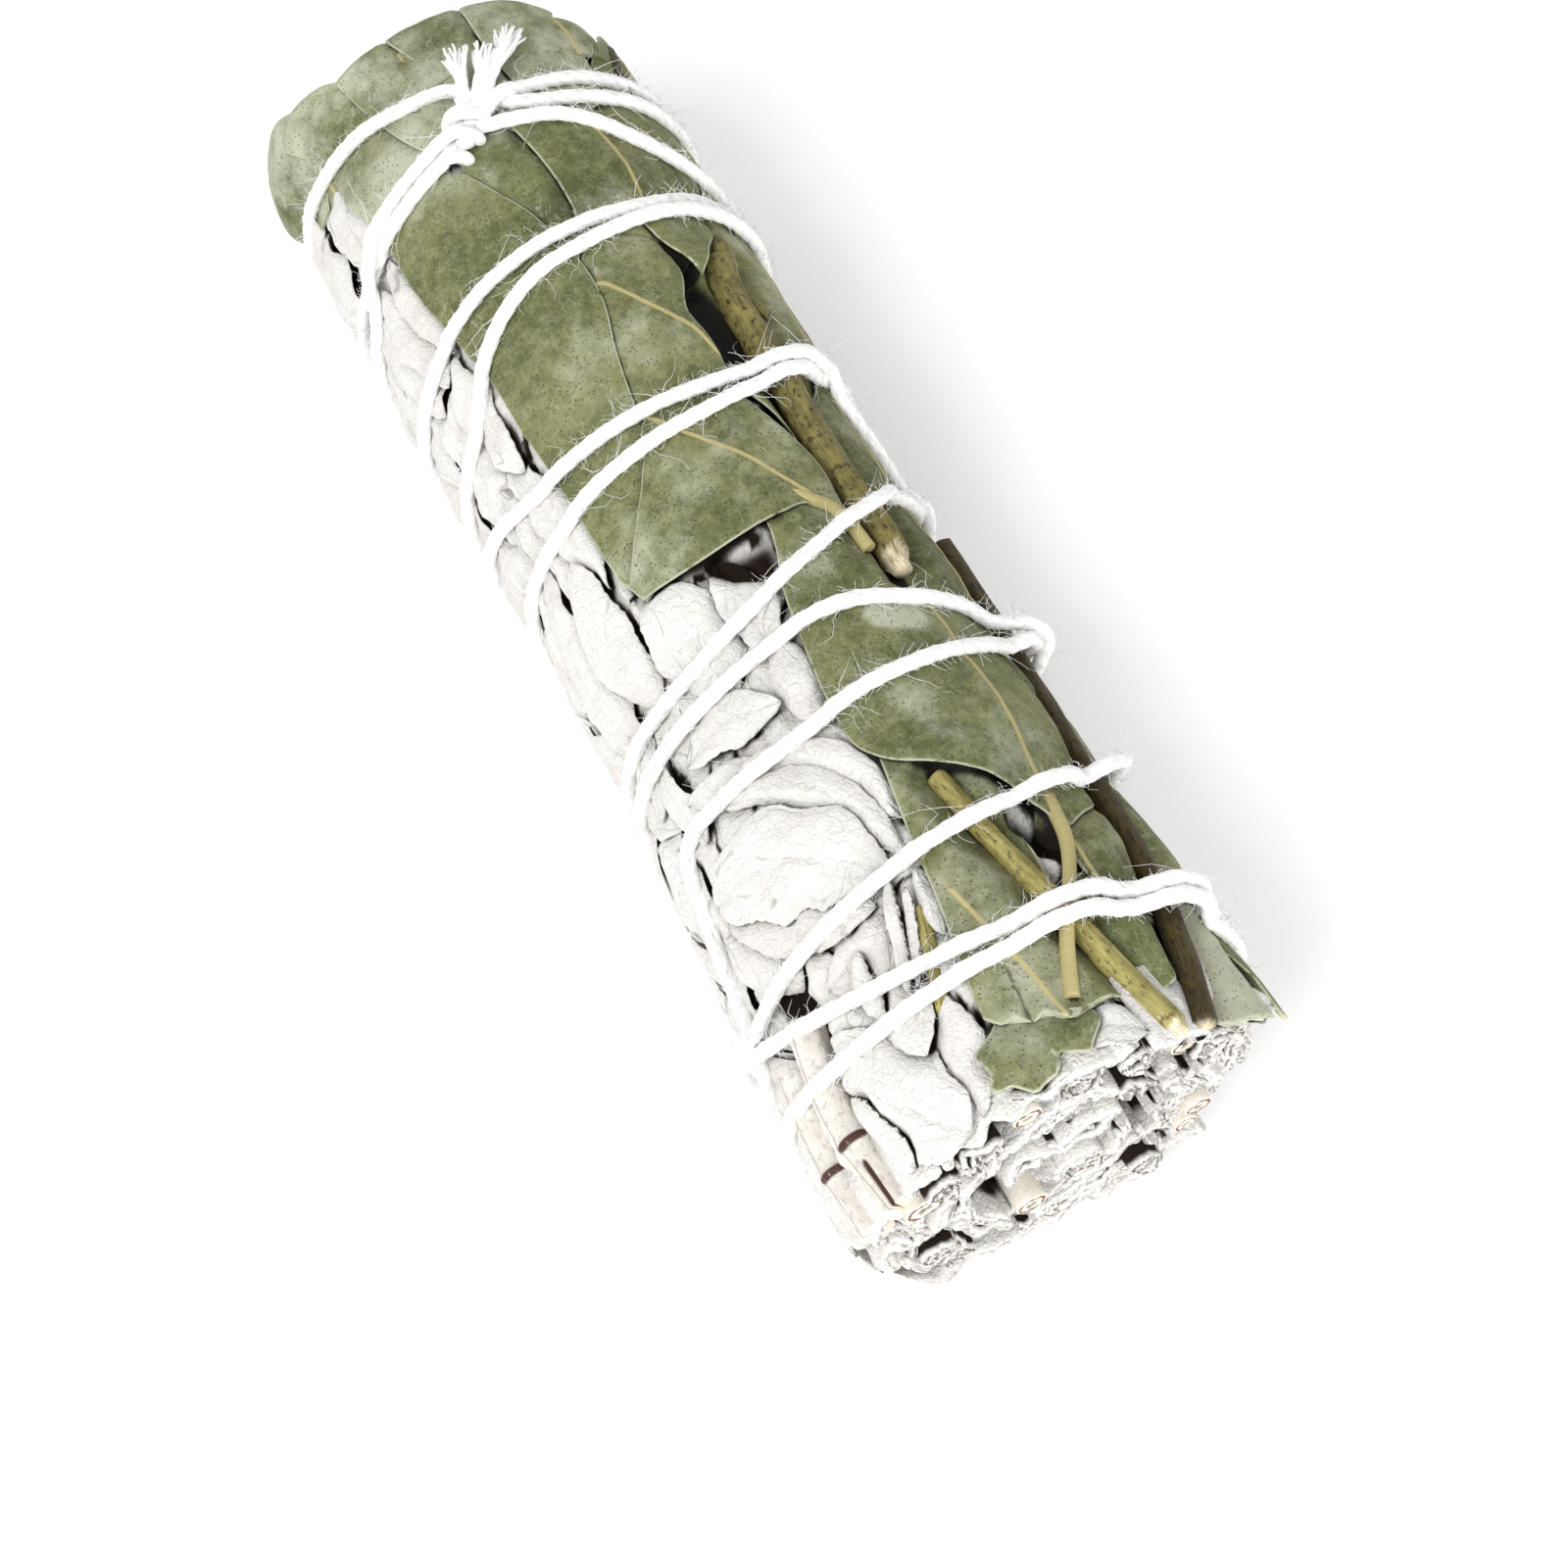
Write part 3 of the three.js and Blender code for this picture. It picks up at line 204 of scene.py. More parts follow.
def apart(x0: Array, turn0: Array, x1: Array, turn1: Array) -> Array:
    """Millimetres between places over the stick's skin: the root of dx^2 plus the arc squared."""
    return np.hypot(x0 - x1, half_turn(turn0 - turn1) * BUNDLE.per_degree(x0))


def length_along(points: Array) -> Array:
    """The length walked along a path to each of its points."""
    return np.concatenate([[0.0], np.cumsum(np.linalg.norm(np.diff(points, axis=0), axis=1))])


def along_path(points: Array, count: int, smooth: bool = True) -> Array:
    """Even places along a path, on a cubic through its points or on its straight lines.

    Args:
        points: The path's points, one a row.
        count: How many places to return.
        smooth: Whether the path is rounded at its points.
    Returns:
        The places, one a row. The cubic has each point's slope from its two neighbours, over the
        length walked so far.
    """
    points = np.asarray(points, float)
    walked = length_along(points)
    at = np.linspace(0.0, walked[-1], count)
    if walked[-1] <= 0.0:
        return np.repeat(points[:1], count, axis=0)
    if not smooth or len(points) < 3:
        return np.stack([np.interp(at, walked, column) for column in points.T], -1)
    slope = np.gradient(points, walked, axis=0)
    left = np.clip(np.searchsorted(walked, at, side="right") - 1, 0, len(points) - 2)
    step = (walked[left + 1] - walked[left])[:, None]
    t = ((at - walked[left])[:, None]) / step
    return cubic(t, (points[left], points[left + 1]), (slope[left], slope[left + 1]), step)


def to_line(x: Array, turn: Array, line: Places, smooth: bool = True,
            count: int = 60) -> tuple[Array, ...]:
    """How places lie to a line on the stick's skin.

    Args:
        x: Millimetres along the stick.
        turn: Degrees round it.
        line: The line's places.
        smooth: Whether the line is rounded at its places.
        count: How many points the line is followed by.
    Returns:
        Millimetres along the line, and signed millimetres across it, positive on its left.
    """
    scale = float(BUNDLE.per_degree(np.mean([place[0] for place in line])))
    path = along_path(np.array(line, float) * (1.0, scale), count, smooth)
    flat = np.stack([x, turn * scale], -1)
    starts, steps = path[:-1], np.diff(path, axis=0)
    length = np.linalg.norm(steps, axis=1)
    walked = np.concatenate([[0.0], np.cumsum(length)])[:-1]
    best, along, across = (np.full(x.shape, FAR) for _ in range(3))
    for start, step, size, before in zip(starts, steps, length, walked):
        away = flat - start
        share = (away @ step) / (size * size)
        held = np.clip(share, 0.0, 1.0)
        gap = np.linalg.norm(away - held[..., None] * step, axis=-1)
        side = (step[0] * away[..., 1] - step[1] * away[..., 0]) / size
        nearer = gap < best
        best = np.where(nearer, gap, best)
        along = np.where(nearer, before + share * size, along)
        across = np.where(nearer, np.where(side < 0.0, -gap, gap), across)
    return along, across


class Shell:
    """One closed body: its points, four-sided faces and end faces, and numbers kept at its points."""

    def __init__(self, rings: Array, **fields: Array) -> None:
        """Joins closed rings of points into a body with a flat face at each end.

        Args:
            rings: Points in mm, as rings by points by 3. Each ring closes on itself.
            fields: Numbers kept at the points, as rings by points, or with a last axis of 3.
        """
        count, sides = rings.shape[:2]
        ids = np.arange(count * sides).reshape(count, sides)
        low, high = ids[:-1], ids[1:]
        self.points = rings.reshape(-1, 3)
        self.quads = np.stack([low, np.roll(low, -1, 1), np.roll(high, -1, 1), high], -1).reshape(-1, 4)
        self.ends = [ids[0][::-1], ids[-1]]
        self.fields = {name: np.reshape(value, (count * sides, -1)) for name, value in fields.items()}
        a, b, c, d = (self.points[self.quads[:, corner]] for corner in range(4))
        if np.einsum("ij,ij->", a + b + c + d, np.cross(c - a, d - b)) < 0.0:
            self.quads = self.quads[:, ::-1]
            self.ends = [end[::-1] for end in self.ends]

    def keep(self, **values: float) -> "Shell":
        """Keeps one number for each name, alike at all points."""
        for name, value in values.items():
            self.fields[name] = np.full((len(self.points), 1), float(value))
        return self


class Slot(Enum):
    """The record's material slots."""

    SAGE = "sage_leaf"
    LEAF = "eucalyptus_leaf"
    DARK_LEAF = "eucalyptus_leaf_dark"
    THICK_TWIG = "speckled_twig"
    BROWN_TWIG = "brown_twig"
    YELLOW_STEM = "yellow_stem"
    STRING = "cotton_string"


def make_piece(name: str, shells: Sequence[Shell], material: Material,
               nodes: Iterable[str]) -> bpy.types.Object:
    """Puts shells into one mesh that rides on the stick.

    Args:
        name: The piece's name.
        shells: Its closed bodies.
        material: Its finish.
        nodes: The plain solids that it stands for.
    Returns:
        The new object, at the origin.
    """
    offsets = np.cumsum([0] + [len(shell.points) for shell in shells])
    corners = [shell.quads.ravel() + offset for shell, offset in zip(shells, offsets)]
    totals = [np.full(len(shell.quads), 4) for shell in shells]
    for shell, offset in zip(shells, offsets):
        corners += [np.asarray(end) + offset for end in shell.ends]
        totals += [np.array([len(end)]) for end in shell.ends]
    loops, sizes = np.concatenate(corners), np.concatenate(totals)
    mesh = bpy.data.meshes.new(name)
    mesh.vertices.add(int(offsets[-1]))
    points = np.concatenate([shell.points for shell in shells]) - BUNDLE.box_middle
    mesh.vertices.foreach_set("co", points.ravel() * MM)
    mesh.loops.add(len(loops))
    mesh.loops.foreach_set("vertex_index", loops)
    mesh.polygons.add(len(sizes))
    mesh.polygons.foreach_set("loop_start", np.cumsum(sizes) - sizes)
    mesh.polygons.foreach_set("use_smooth", sizes == 4)
    for key, first in shells[0].fields.items():
        vector = first.shape[1] == 3
        layer = mesh.attributes.new(key, "FLOAT_VECTOR" if vector else "FLOAT", "POINT")
        values = np.concatenate([shell.fields[key] for shell in shells]).ravel().astype(np.float32)
        layer.data.foreach_set("vector" if vector else "value", values)
    mesh.update(calc_edges=True)
    mesh.validate()
    mesh.materials.append(material)
    piece = bpy.data.objects.new(name, mesh)
    bpy.context.scene.collection.objects.link(piece)
    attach(piece, BODY)
    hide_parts(*nodes)
    log.info("%s: %d shells, %d triangles", name, len(shells), int((sizes - 2).sum()))
    return piece


def frames(path: Array, out: Array) -> tuple[Array, Array]:
    """Two directions square to a path at each of its points.

    Args:
        path: The path's points.
        out: The direction at each point that the first one leans to.
    Returns:
        out made square to the path, and the direction square to both.
    """
    ahead = np.gradient(path, axis=0)
    ahead /= np.linalg.norm(ahead, axis=1, keepdims=True) + TINY
    first = out - (out * ahead).sum(1, keepdims=True) * ahead
    first /= np.linalg.norm(first, axis=1, keepdims=True) + TINY
    return first, np.cross(ahead, first)


def tube(path: Array, radius: Array, sides: int, out: Array | None = None,
         **fields: Array) -> Shell:
    """A round section carried along a path.

    Args:
        path: Points in mm.
        radius: The radius at each point, or at each point and side.
        sides: How many sides the section has.
        out: Where the section's first corner points. It is away from the stick's axis by default.
        fields: More numbers to keep, as points by sides.
    Returns:
        The body. Its stem_place is mm along, the share round, and mm to the nearer end.
    """
    first, second = frames(path, BUNDLE.outward(path) if out is None else out)
    angle = np.linspace(0.0, FULL_TURN, sides, endpoint=False)
    reach = np.broadcast_to(np.reshape(radius, (len(path), -1)), (len(path), sides))[..., None]
    spokes = first[:, None] * np.cos(angle)[:, None] + second[:, None] * np.sin(angle)[:, None]
    walked = length_along(path)
    to_end = np.minimum(walked, walked[-1] - walked)
    grid = np.broadcast_arrays(walked[:, None], angle / FULL_TURN, to_end[:, None])
    return Shell(BUNDLE.on_table(path[:, None] + spokes * reach), stem_place=np.stack(grid, -1), **fields)


def two_faces(top: Array, under: int) -> tuple[Array, Array]:
    """The section of a sheet, over its top and back under it.

    Args:
        top: Shares across the top, from -1 to 1.
        under: How many shares there are on the underside, with both edges.
    Returns:
        The shares round the section, and 1 on its top, -1 on its underside and 0 on its edges.
    """
    across = np.concatenate([top, np.linspace(1.0, -1.0, under)[1:-1]])
    side = np.where(np.arange(len(across)) < len(top), 1.0, -1.0)
    side[[0, len(top) - 1]] = 0.0
    return across, side


def rounded(across: Array, power: int) -> Array:
    """The swell of a sheet that is closed at its edges: the root of 1 - |across|^power."""
    return np.sqrt(np.clip(1.0 - np.abs(across) ** power, 0.0, 1.0))


class Net:
    """A field of numbers over the stick's skin, kept on an even net of x and turn."""

    def __init__(self, step: float = 0.4, turn_step: float = 1.2,
                 span: Pair = (-67.0, 65.0)) -> None:
        """Lays the net out.

        Args:
            step: Millimetres between its places along x.
            turn_step: Degrees between them round the stick.
            span: Where it starts and ends along x.
        """
        self.step, self.turn_step = step, turn_step
        self.x = np.arange(span[0], span[1] + step, step)
        self.turn = np.arange(-180.0, 180.0, turn_step)
        self.grid_x, self.grid_turn = np.meshgrid(self.x, self.turn, indexing="ij")

    def cover(self, outline: Array) -> Array:
        """Which places lie inside a closed outline, by the even-odd rule.

        Args:
            outline: The outline's places.
        Returns:
            1 inside and 0 outside, on the net.
        """
        inside = np.zeros(self.grid_x.shape, bool)
        for turned in (-360.0, 0.0, 360.0):
            turn = self.grid_turn + turned
            if turn.max() < outline[:, 1].min() or turn.min() > outline[:, 1].max():
                continue
            for (x1, t1), (x0, t0) in zip(outline, np.roll(outline, 1, axis=0)):
                if t0 != t1:
                    passed = self.grid_x < x0 + (x1 - x0) * (turn - t0) / (t1 - t0)
                    inside ^= ((t1 > turn) != (t0 > turn)) & passed
        return inside.astype(float)

    def spread(self, values: Array) -> Array:
        """Each value becomes the largest of its neighbours and itself.

        Args:
            values: Numbers on the net.
        Returns:
            The spread numbers.
        """
        wide = np.maximum(values, np.maximum(np.roll(values, 1, 1), np.roll(values, -1, 1)))
        long = wide.copy()
        long[1:] = np.maximum(long[1:], wide[:-1])
        long[:-1] = np.maximum(long[:-1], wide[1:])
        return long

    def smoothed(self, values: Array, steps: int = 1) -> Array:
        """Each value becomes the mean of itself, twice, and its two neighbours each way.

        Args:
            values: Numbers on the net.
            steps: How many times over.
        Returns:
            The smoothed numbers.
        """
        for _ in range(steps):
            values = (2.0 * values + np.roll(values, 1, 1) + np.roll(values, -1, 1)) / 4.0
            held = np.concatenate([values[:1], values, values[-1:]])
            values = (2.0 * values + held[:-2] + held[2:]) / 4.0
        return values

    def at(self, values: Array, x: Array, turn: Array) -> Array:
        """The field at any places, straight between the net's own.

        Args:
            values: Numbers on the net.
            x: Millimetres along the stick.
            turn: Degrees round it.
        Returns:
            The numbers there.
        """
        i = np.clip((x - self.x[0]) / self.step, 0.0, len(self.x) - 1.001)
        j = ((turn - self.turn[0]) % 360.0) / self.turn_step
        i0, j0 = np.floor(i).astype(int), np.floor(j).astype(int) % len(self.turn)
        u, v, j1 = i - i0, j - np.floor(j), (j0 + 1) % len(self.turn)
        return ((1 - u) * ((1 - v) * values[i0, j0] + v * values[i0, j1])
                + u * ((1 - v) * values[i0 + 1, j0] + v * values[i0 + 1, j1]))


NET = Net()


STRING_TURNS = (
    ((-45.6, -14), (-44.6, -25), (-43.2, -50), (-42.5, -75), (-42.4, -105), (-39.5, -150),
        (-37, 170), (-34.5, 125)),
    ((-33, 90), (-32.5, 40), (-31.5, 20), (-31, -10), (-30.5, -30), (-29.5, -50), (-28.5, -75),
        (-28.5, -105), (-29, -150), (-30, 170), (-31, 125)),
    ((-31.4, 80), (-31, 40), (-30, 20), (-29, 0), (-28, -20), (-25, -40), (-22.5, -50),
        (-20.5, -60), (-19, -80), (-18, -110), (-16.5, -150), (-14.5, 170), (-13, 125)),
    ((-12, 85), (-10.5, 50), (-9.6, 35), (-8.4, 18), (-7.5, 5), (-7, -10), (-6.5, -30), (-6, -50),
        (-5.8, -75), (-5, -105), (-3, -150), (-1, 170), (0.8, 125)),
    ((2.4, 80), (4.6, 46), (6.2, 36), (7.7, 24), (9.5, 10), (10.7, 0), (12, -12), (13.5, -30),
        (14.1, -45), (14.2, -65), (14.5, -95), (15.5, -145), (17, 170), (18.5, 125)),
    ((19.6, 85), (21.8, 60), (22.7, 40), (23.5, 15), (24, 0), (25, -20), (25, -50), (25, -66),
        (27, -72), (30.5, -75), (35.5, -78.5), (40, -82), (44, -90), (47.5, -115), (50, -150),
        (52, 170), (53.4, 125)),
    ((54, 85), (53, 57), (51.4, 35), (50.5, 15), (50.3, 0), (50.1, -20), (49.8, -54), (48.6, -90),
        (48, -120), (49, 180), (51, 125)),
    ((51.6, 80), (51.2, 57), (49.9, 35), (48.9, 15), (48.7, 0), (48.2, -14), (47, -36), (45, -60),
        (42.2, -90), (40.5, -125), (37.5, 180), (34.8, 125)),
    ((34, 90), (35, 75), (36.5, 60), (38, 42), (38.8, 15), (39.3, -10), (40, -30), (40.8, -55),
        (41.6, -78), (41, -110), (37, -150), (32.5, 170), (28, 125)),
    ((24, 90), (20.5, 68), (18, 50), (17.2, 36), (16.5, 24), (15.7, 12), (15.6, 0), (16.4, -20),
        (17, -42), (17.2, -66), (17, -95), (15.5, -140), (12.5, 170), (9, 125)),
    ((5.5, 90), (1.5, 76), (-4, 66), (-8.5, 58), (-11, 48), (-10.7, 30), (-10, 10), (-10, -12),
        (-10.4, -46), (-11.2, -58), (-12.5, -70), (-15, -95), (-20, -140), (-26, 170), (-31, 125)),
    ((-35, 85), (-38.2, 50), (-41, 32), (-44, 18), (-45.4, 2), (-46, -10), (-46, -22), (-45.4, -34),
        (-44.4, -46), (-42, -60), (-39.4, -76), (-38.6, -100), (-41, -145), (-44.5, 170), (-46.8, 125)),
    ((-47, 85), (-46.8, 45), (-46.6, 20), (-47.4, 4), (-49.4, -4), (-52, -10), (-53.5, -25),
        (-55, -40), (-56, -60), (-57.3, -80), (-57.8, -105), (-57, -150), (-54.5, 170), (-52, 125)),
    ((-50.8, 85), (-49.8, 45), (-49.4, 20), (-48.6, 4), (-47.2, -6)),
)


@dataclass
class StringRoute:
    """The string's route over and under the stick, towards lower turns."""

    turns: Sequence[Places] = STRING_TURNS
    step: float = 0.5
    fine_count: int = 9000
    reach: float = 14.0
    stride: int = 3
    x: Array = field(init=False)
    turn: Array = field(init=False)

    def __post_init__(self) -> None:
        """Joins the rows into one falling run of turns and samples a cubic through it at even steps."""
        rows = np.array([place for row in self.turns for place in row], float)
        falls = np.diff(rows[:, 1])
        falls = np.where(falls >= 0.0, falls - 360.0, falls)
        x, turn = rows[:, 0], rows[0, 1] + np.concatenate([[0.0], np.cumsum(falls)])
        slope = np.empty(len(x))
        slope[1:-1] = (x[2:] - x[:-2]) / (turn[2:] - turn[:-2])
        slope[[0, -1]] = slope[[1, -2]]
        fine = np.linspace(turn[0], turn[-1], self.fine_count)
        left = np.clip(np.searchsorted(-turn, -fine, side="right") - 1, 0, len(x) - 2)
        gap = turn[left + 1] - turn[left]
        t = (fine - turn[left]) / gap
        fine_x = cubic(t, (x[left], x[left + 1]), (slope[left], slope[left + 1]), gap)
        walk = np.hypot(np.diff(fine_x), np.diff(fine) * BUNDLE.per_degree(fine_x[1:]))
        walked = np.concatenate([[0.0], np.cumsum(walk)])
        even = np.arange(0.0, walked[-1], self.step)
        self.x, self.turn = np.interp(even, walked, fine_x), np.interp(even, walked, fine)

    def distance(self) -> Array:
        """Millimetres from each place of the net to the string."""
        nearest = np.full(NET.grid_x.shape, FAR)
        for x, turn in zip(self.x[::self.stride], self.turn[::self.stride]):
            band = np.abs(NET.x - x) < self.reach
            gap = apart(NET.grid_x[band], NET.grid_turn[band], x, turn)
            nearest[band] = np.minimum(nearest[band], gap)
        return nearest


ROUTE = StringRoute()
TO_STRING = ROUTE.distance()


class Pile:
    """The sheets on the stick. Each is settled in turn, from the highest down, under what lies on it."""

    hollow_blur = 3
    bend_reach = 2.6
    foot_share = 0.6
    shade_share = 0.5
    shade_reach = 0.1

    def __init__(self) -> None:
        """Starts with nothing on the stick."""
        self.load = np.zeros(NET.grid_x.shape)
        # shade: 1 where a sheet is hidden; the finishes paint shade there.
        self.shade = np.zeros(NET.grid_x.shape)

    def settle(self, outline: Array, step: float) -> tuple[Array, Array]:
        """Gives the load and the shade over a sheet, then adds the sheet to them.

        Args:
            outline: The sheet's outline.
            step: How much lower the sheet makes what is under it.
        Returns:
            Millimetres that the sheet is pushed in, and 1 where something hides it, on the net. The
            finishes paint shade where it is 1.
        """
        over, shade = self.load.copy(), self.shade.copy()
        cover = NET.cover(outline)
        self.load += step * NET.smoothed(NET.spread(cover))
        self.shade = np.maximum(self.shade, NET.smoothed(cover))
        return over, shade

    def hollow(self, outline: Places, depth: float) -> None:
        """Leaves a hollow: all that is still to come lies lower there, and is marked for painted shade.

        Args:
            outline: The hollow's outline.
            depth: How much lower.
        """
        cover = NET.smoothed(NET.cover(np.array(outline, float)), self.hollow_blur)
        self.load += depth * cover
        self.shade = np.maximum(self.shade, cover)

    def press(self, line: Places, depths: Sequence[float], radius: float, surface: float) -> None:
        """Pushes what is still to come down under a stem, so that it lies against it, and marks what lies
        under the stem for painted shade.

        Args:
            line: The stem's places.
            depths: The depth of its axis at each place, or one for all.
            radius: Its radius.
            surface: The depth at which an unpressed sheet would lie.
        """
        along, across = to_line(NET.grid_x, NET.grid_turn, line)
        scale = float(BUNDLE.per_degree(np.mean([place[0] for place in line])))
        walked = length_along(np.array(line, float) * (1.0, scale))
        axis = np.interp(along, walked[: len(depths)], depths)
        wanted = np.maximum(surface - (axis - radius), 0.0)
        beyond = np.maximum(-along, along - walked[-1])
        near = np.hypot(across, np.maximum(beyond, 0.0))
        bent = 1.0 - ramp(near, radius * self.foot_share, radius + self.bend_reach)
        self.load = np.maximum(self.load, wanted * bent)
        # painted shade under the stem, within its silhouette.
        painted_shade = 1.0 - ramp(near, radius * self.shade_share, radius + self.shade_reach)
        self.shade = np.maximum(self.shade, painted_shade)


PILE = Pile()


@dataclass(frozen=True)
class Binding:
    """How a sheet lies under the string: how far it swells between the strands and dents at them."""

    swell: float
    swell_reach: Pair
    dent: float
    dent_reach: Pair

    def depth(self, x: Array, turn: Array) -> Array:
        """The swell less the dent, by ramps of the distance to the string.

        Args:
            x: Millimetres along the stick.
            turn: Degrees round it.
        Returns:
            Depths in mm.
        """
        clear = NET.at(TO_STRING, x, turn)
        dent = self.dent * (1.0 - ramp(clear, *self.dent_reach))
        return self.swell * ramp(clear, *self.swell_reach) - dent


def top_shares(rim: Sequence[float], inner: float, count: int) -> Array:
    """Shares across a sheet's top, closer together at its rims.

    Args:
        rim: The shares at a rim, from 1 inwards.
        inner: The outermost of the even shares between the rims.
        count: How many of those there are.
    Returns:
        The shares from -1 to 1.
    """
    return np.concatenate([-np.array(rim), np.linspace(-inner, inner, count), rim[::-1]])


@dataclass
class EucalyptusLeaf:
    """One pressed eucalyptus leaf, as a patch between four curved sides.

    The outline's corners split it into a left side, a tip, a right side and a base. The point at
    shares (u, v) is the mean of the sides run together less the plane of the corners, as a Coons patch.
    Lifts and spots are (x, turn, reach, amount).
    """

    name: str
    outline: Places
    corners: tuple[int, int, int, int]
    midrib: Places = ()
    dark: bool = False
    creases: Sequence[Places] = ()
    lifts: Sequence[tuple[float, float, float, float]] = ()
    torn_sides: tuple[int, ...] = ()
    pale: float = 0.3
    spots: Sequence[tuple[float, float, float, float]] = ()
    stalk: Places = ()
    stalk_depths: Sequence[float] = ()
    seed: int = 0
    thickness: float = 0.34
    step: float = 0.5
    top: float = -0.3
    spacing: float = 0.5
    row_spacing: float = 0.9
    row_counts: tuple[int, int] = (24, 96)
    top_counts: tuple[int, int] = (18, 40)
    under_count: int = 14
    rim: tuple[float, ...] = (1.0, 0.99, 0.965, 0.93)
    inner: float = 0.88
    edge_power: int = 12
    rough: tuple[Humps, Humps] = (Humps(1.0, 1.5, count=9), Humps(0.5, 0.6, count=9))
    rough_reach: Pair = (0.26, 0.2)
    binding: Binding = Binding(0.42, (1.0, 6.5), 0.16, (0.5, 1.6))
    humps: tuple[Humps, ...] = (Humps(0.1, 9.0), Humps(0.03, 2.6, 1))
    furrow: Pair = (0.3, 0.3)
    furrow_bank: Pair = (0.16, 1.3)
    rib: Pair = (0.16, 0.34)
    far_aside: float = 9.0
    length_arc: float = 0.3
    edge_arc: float = 0.325
    stalk_arc: float = 0.31
    stalk_radius: float = 0.56
    stalk_sides: int = 14
    stalk_count: int = 60
    stalk_groove: Pair = (0.14, 0.35)
    stalk_flute: float = 0.05
    stalk_flare: float = 0.15

    @property
    def node(self) -> str:
        """The name of the solid that the leaf stands for."""
        return f"eucalyptus_leaf_{self.name}"

    @property
    def scale(self) -> float:
        """Millimetres to a degree in the leaf's flat outline."""
        return float(BUNDLE.per_degree(0.0))

    def side(self, number: int, first: int, last: int, count: int) -> Array:
        """The outline from one corner to another, rough where it is torn.

        Args:
            number: Which side it is, as torn_sides counts them.
            first: The corner that it starts at.
            last: The corner that it ends at, round past the outline's end if need be.
            count: How many places to return.
        Returns:
            The side's places in mm by degrees scaled to mm.
        """
        ring = np.array(self.outline, float) * (1.0, self.scale)
        stretch = (last - first) % len(ring)
        torn = number in self.torn_sides
        made = along_path(ring[[(first + n) % len(ring) for n in range(stretch + 1)]], count, not torn)
        if torn:
            coarse, fine = self.rough
            rough = coarse.at(made, self.seed + first) + fine.at(made, self.seed)
            held = np.sin(np.linspace(0.0, math.pi, count))
            made = made + (rough * held)[:, None] * self.rough_reach
        return made

    def patch(self, count_u: int, across: Array, fine: int = 80) -> Array:
        """Places over the leaf.

        Args:
            count_u: How many even shares along it.
            across: Shares across it, from -1 to 1.
            fine: How many places the base and the tip are followed by.
        Returns:
            The places, along by across.
        """
        a, b, c, d = self.corners
        left, right = self.side(0, a, b, count_u), self.side(2, c, d, count_u)[::-1]
        ends = self.side(3, d, a, fine)[::-1], self.side(1, b, c, fine)
        v = (across + 1.0) / 2.0
        even = np.linspace(0.0, 1.0, fine)
        base, tip = (np.stack([np.interp(v, even, end[:, k]) for k in range(2)], -1) for end in ends)
        u, w = np.linspace(0.0, 1.0, count_u)[:, None, None], v[None, :, None]
        flat = (1 - w) * left[:, None] + w * right[:, None] + (1 - u) * base[None] + u * tip[None]
        corners = (1 - u) * ((1 - w) * left[0] + w * right[0]) + u * ((1 - w) * left[-1] + w * right[-1])
        return (flat - corners) / (1.0, self.scale)

    def edge(self) -> Array:
        """The patch's own edge as places, round it once."""
        flat = self.patch(90, np.linspace(-1.0, 1.0, 60))
        return np.concatenate([flat[:, 0], flat[-1, 1:], flat[-2::-1, -1], flat[0, -2:0:-1]])

    def to_edge(self, x: Array, turn: Array, count: int = 700) -> Array:
        """Millimetres from places to the leaf's edge.

        Args:
            x: Millimetres along the stick.
            turn: Degrees round it.
            count: How many even places stand for the edge.
        Returns:
            The distances to the nearest of them.
        """
        nearest = np.full(x.shape, FAR)
        for edge_x, edge_y in along_path(self.edge() * (1.0, self.edge_arc), count, False):
            nearest = np.minimum(nearest, (x - edge_x) ** 2 + (turn * self.edge_arc - edge_y) ** 2)
        return np.sqrt(nearest)

    def depth(self, x: Array, turn: Array, over: Array) -> Array:
        """How far out the leaf lies: swollen between the strands, pressed at them and under its cover.

        Args:
            x: Millimetres along the stick.
            turn: Degrees round it.
            over: The load on the leaf, on the net.
        Returns:
            Depths in mm.
        """
        flat = BUNDLE.skin(x, turn)
        depth = self.top + self.binding.depth(x, turn) + BUNDLE.flare(x, turn) - NET.at(over, x, turn)
        for humps in self.humps:
            depth = depth + humps.at(flat, self.seed)
        for at_x, at_turn, reach, height in self.lifts:
            depth = depth + height * bell(apart(x, turn, at_x, at_turn), reach)
        for crease in self.creases:
            _, aside = to_line(x, turn, crease, False)
            for sign, (height, width) in ((-1.0, self.furrow), (1.0, self.furrow_bank)):
                depth = depth + sign * height * bell(aside, width)
        return depth

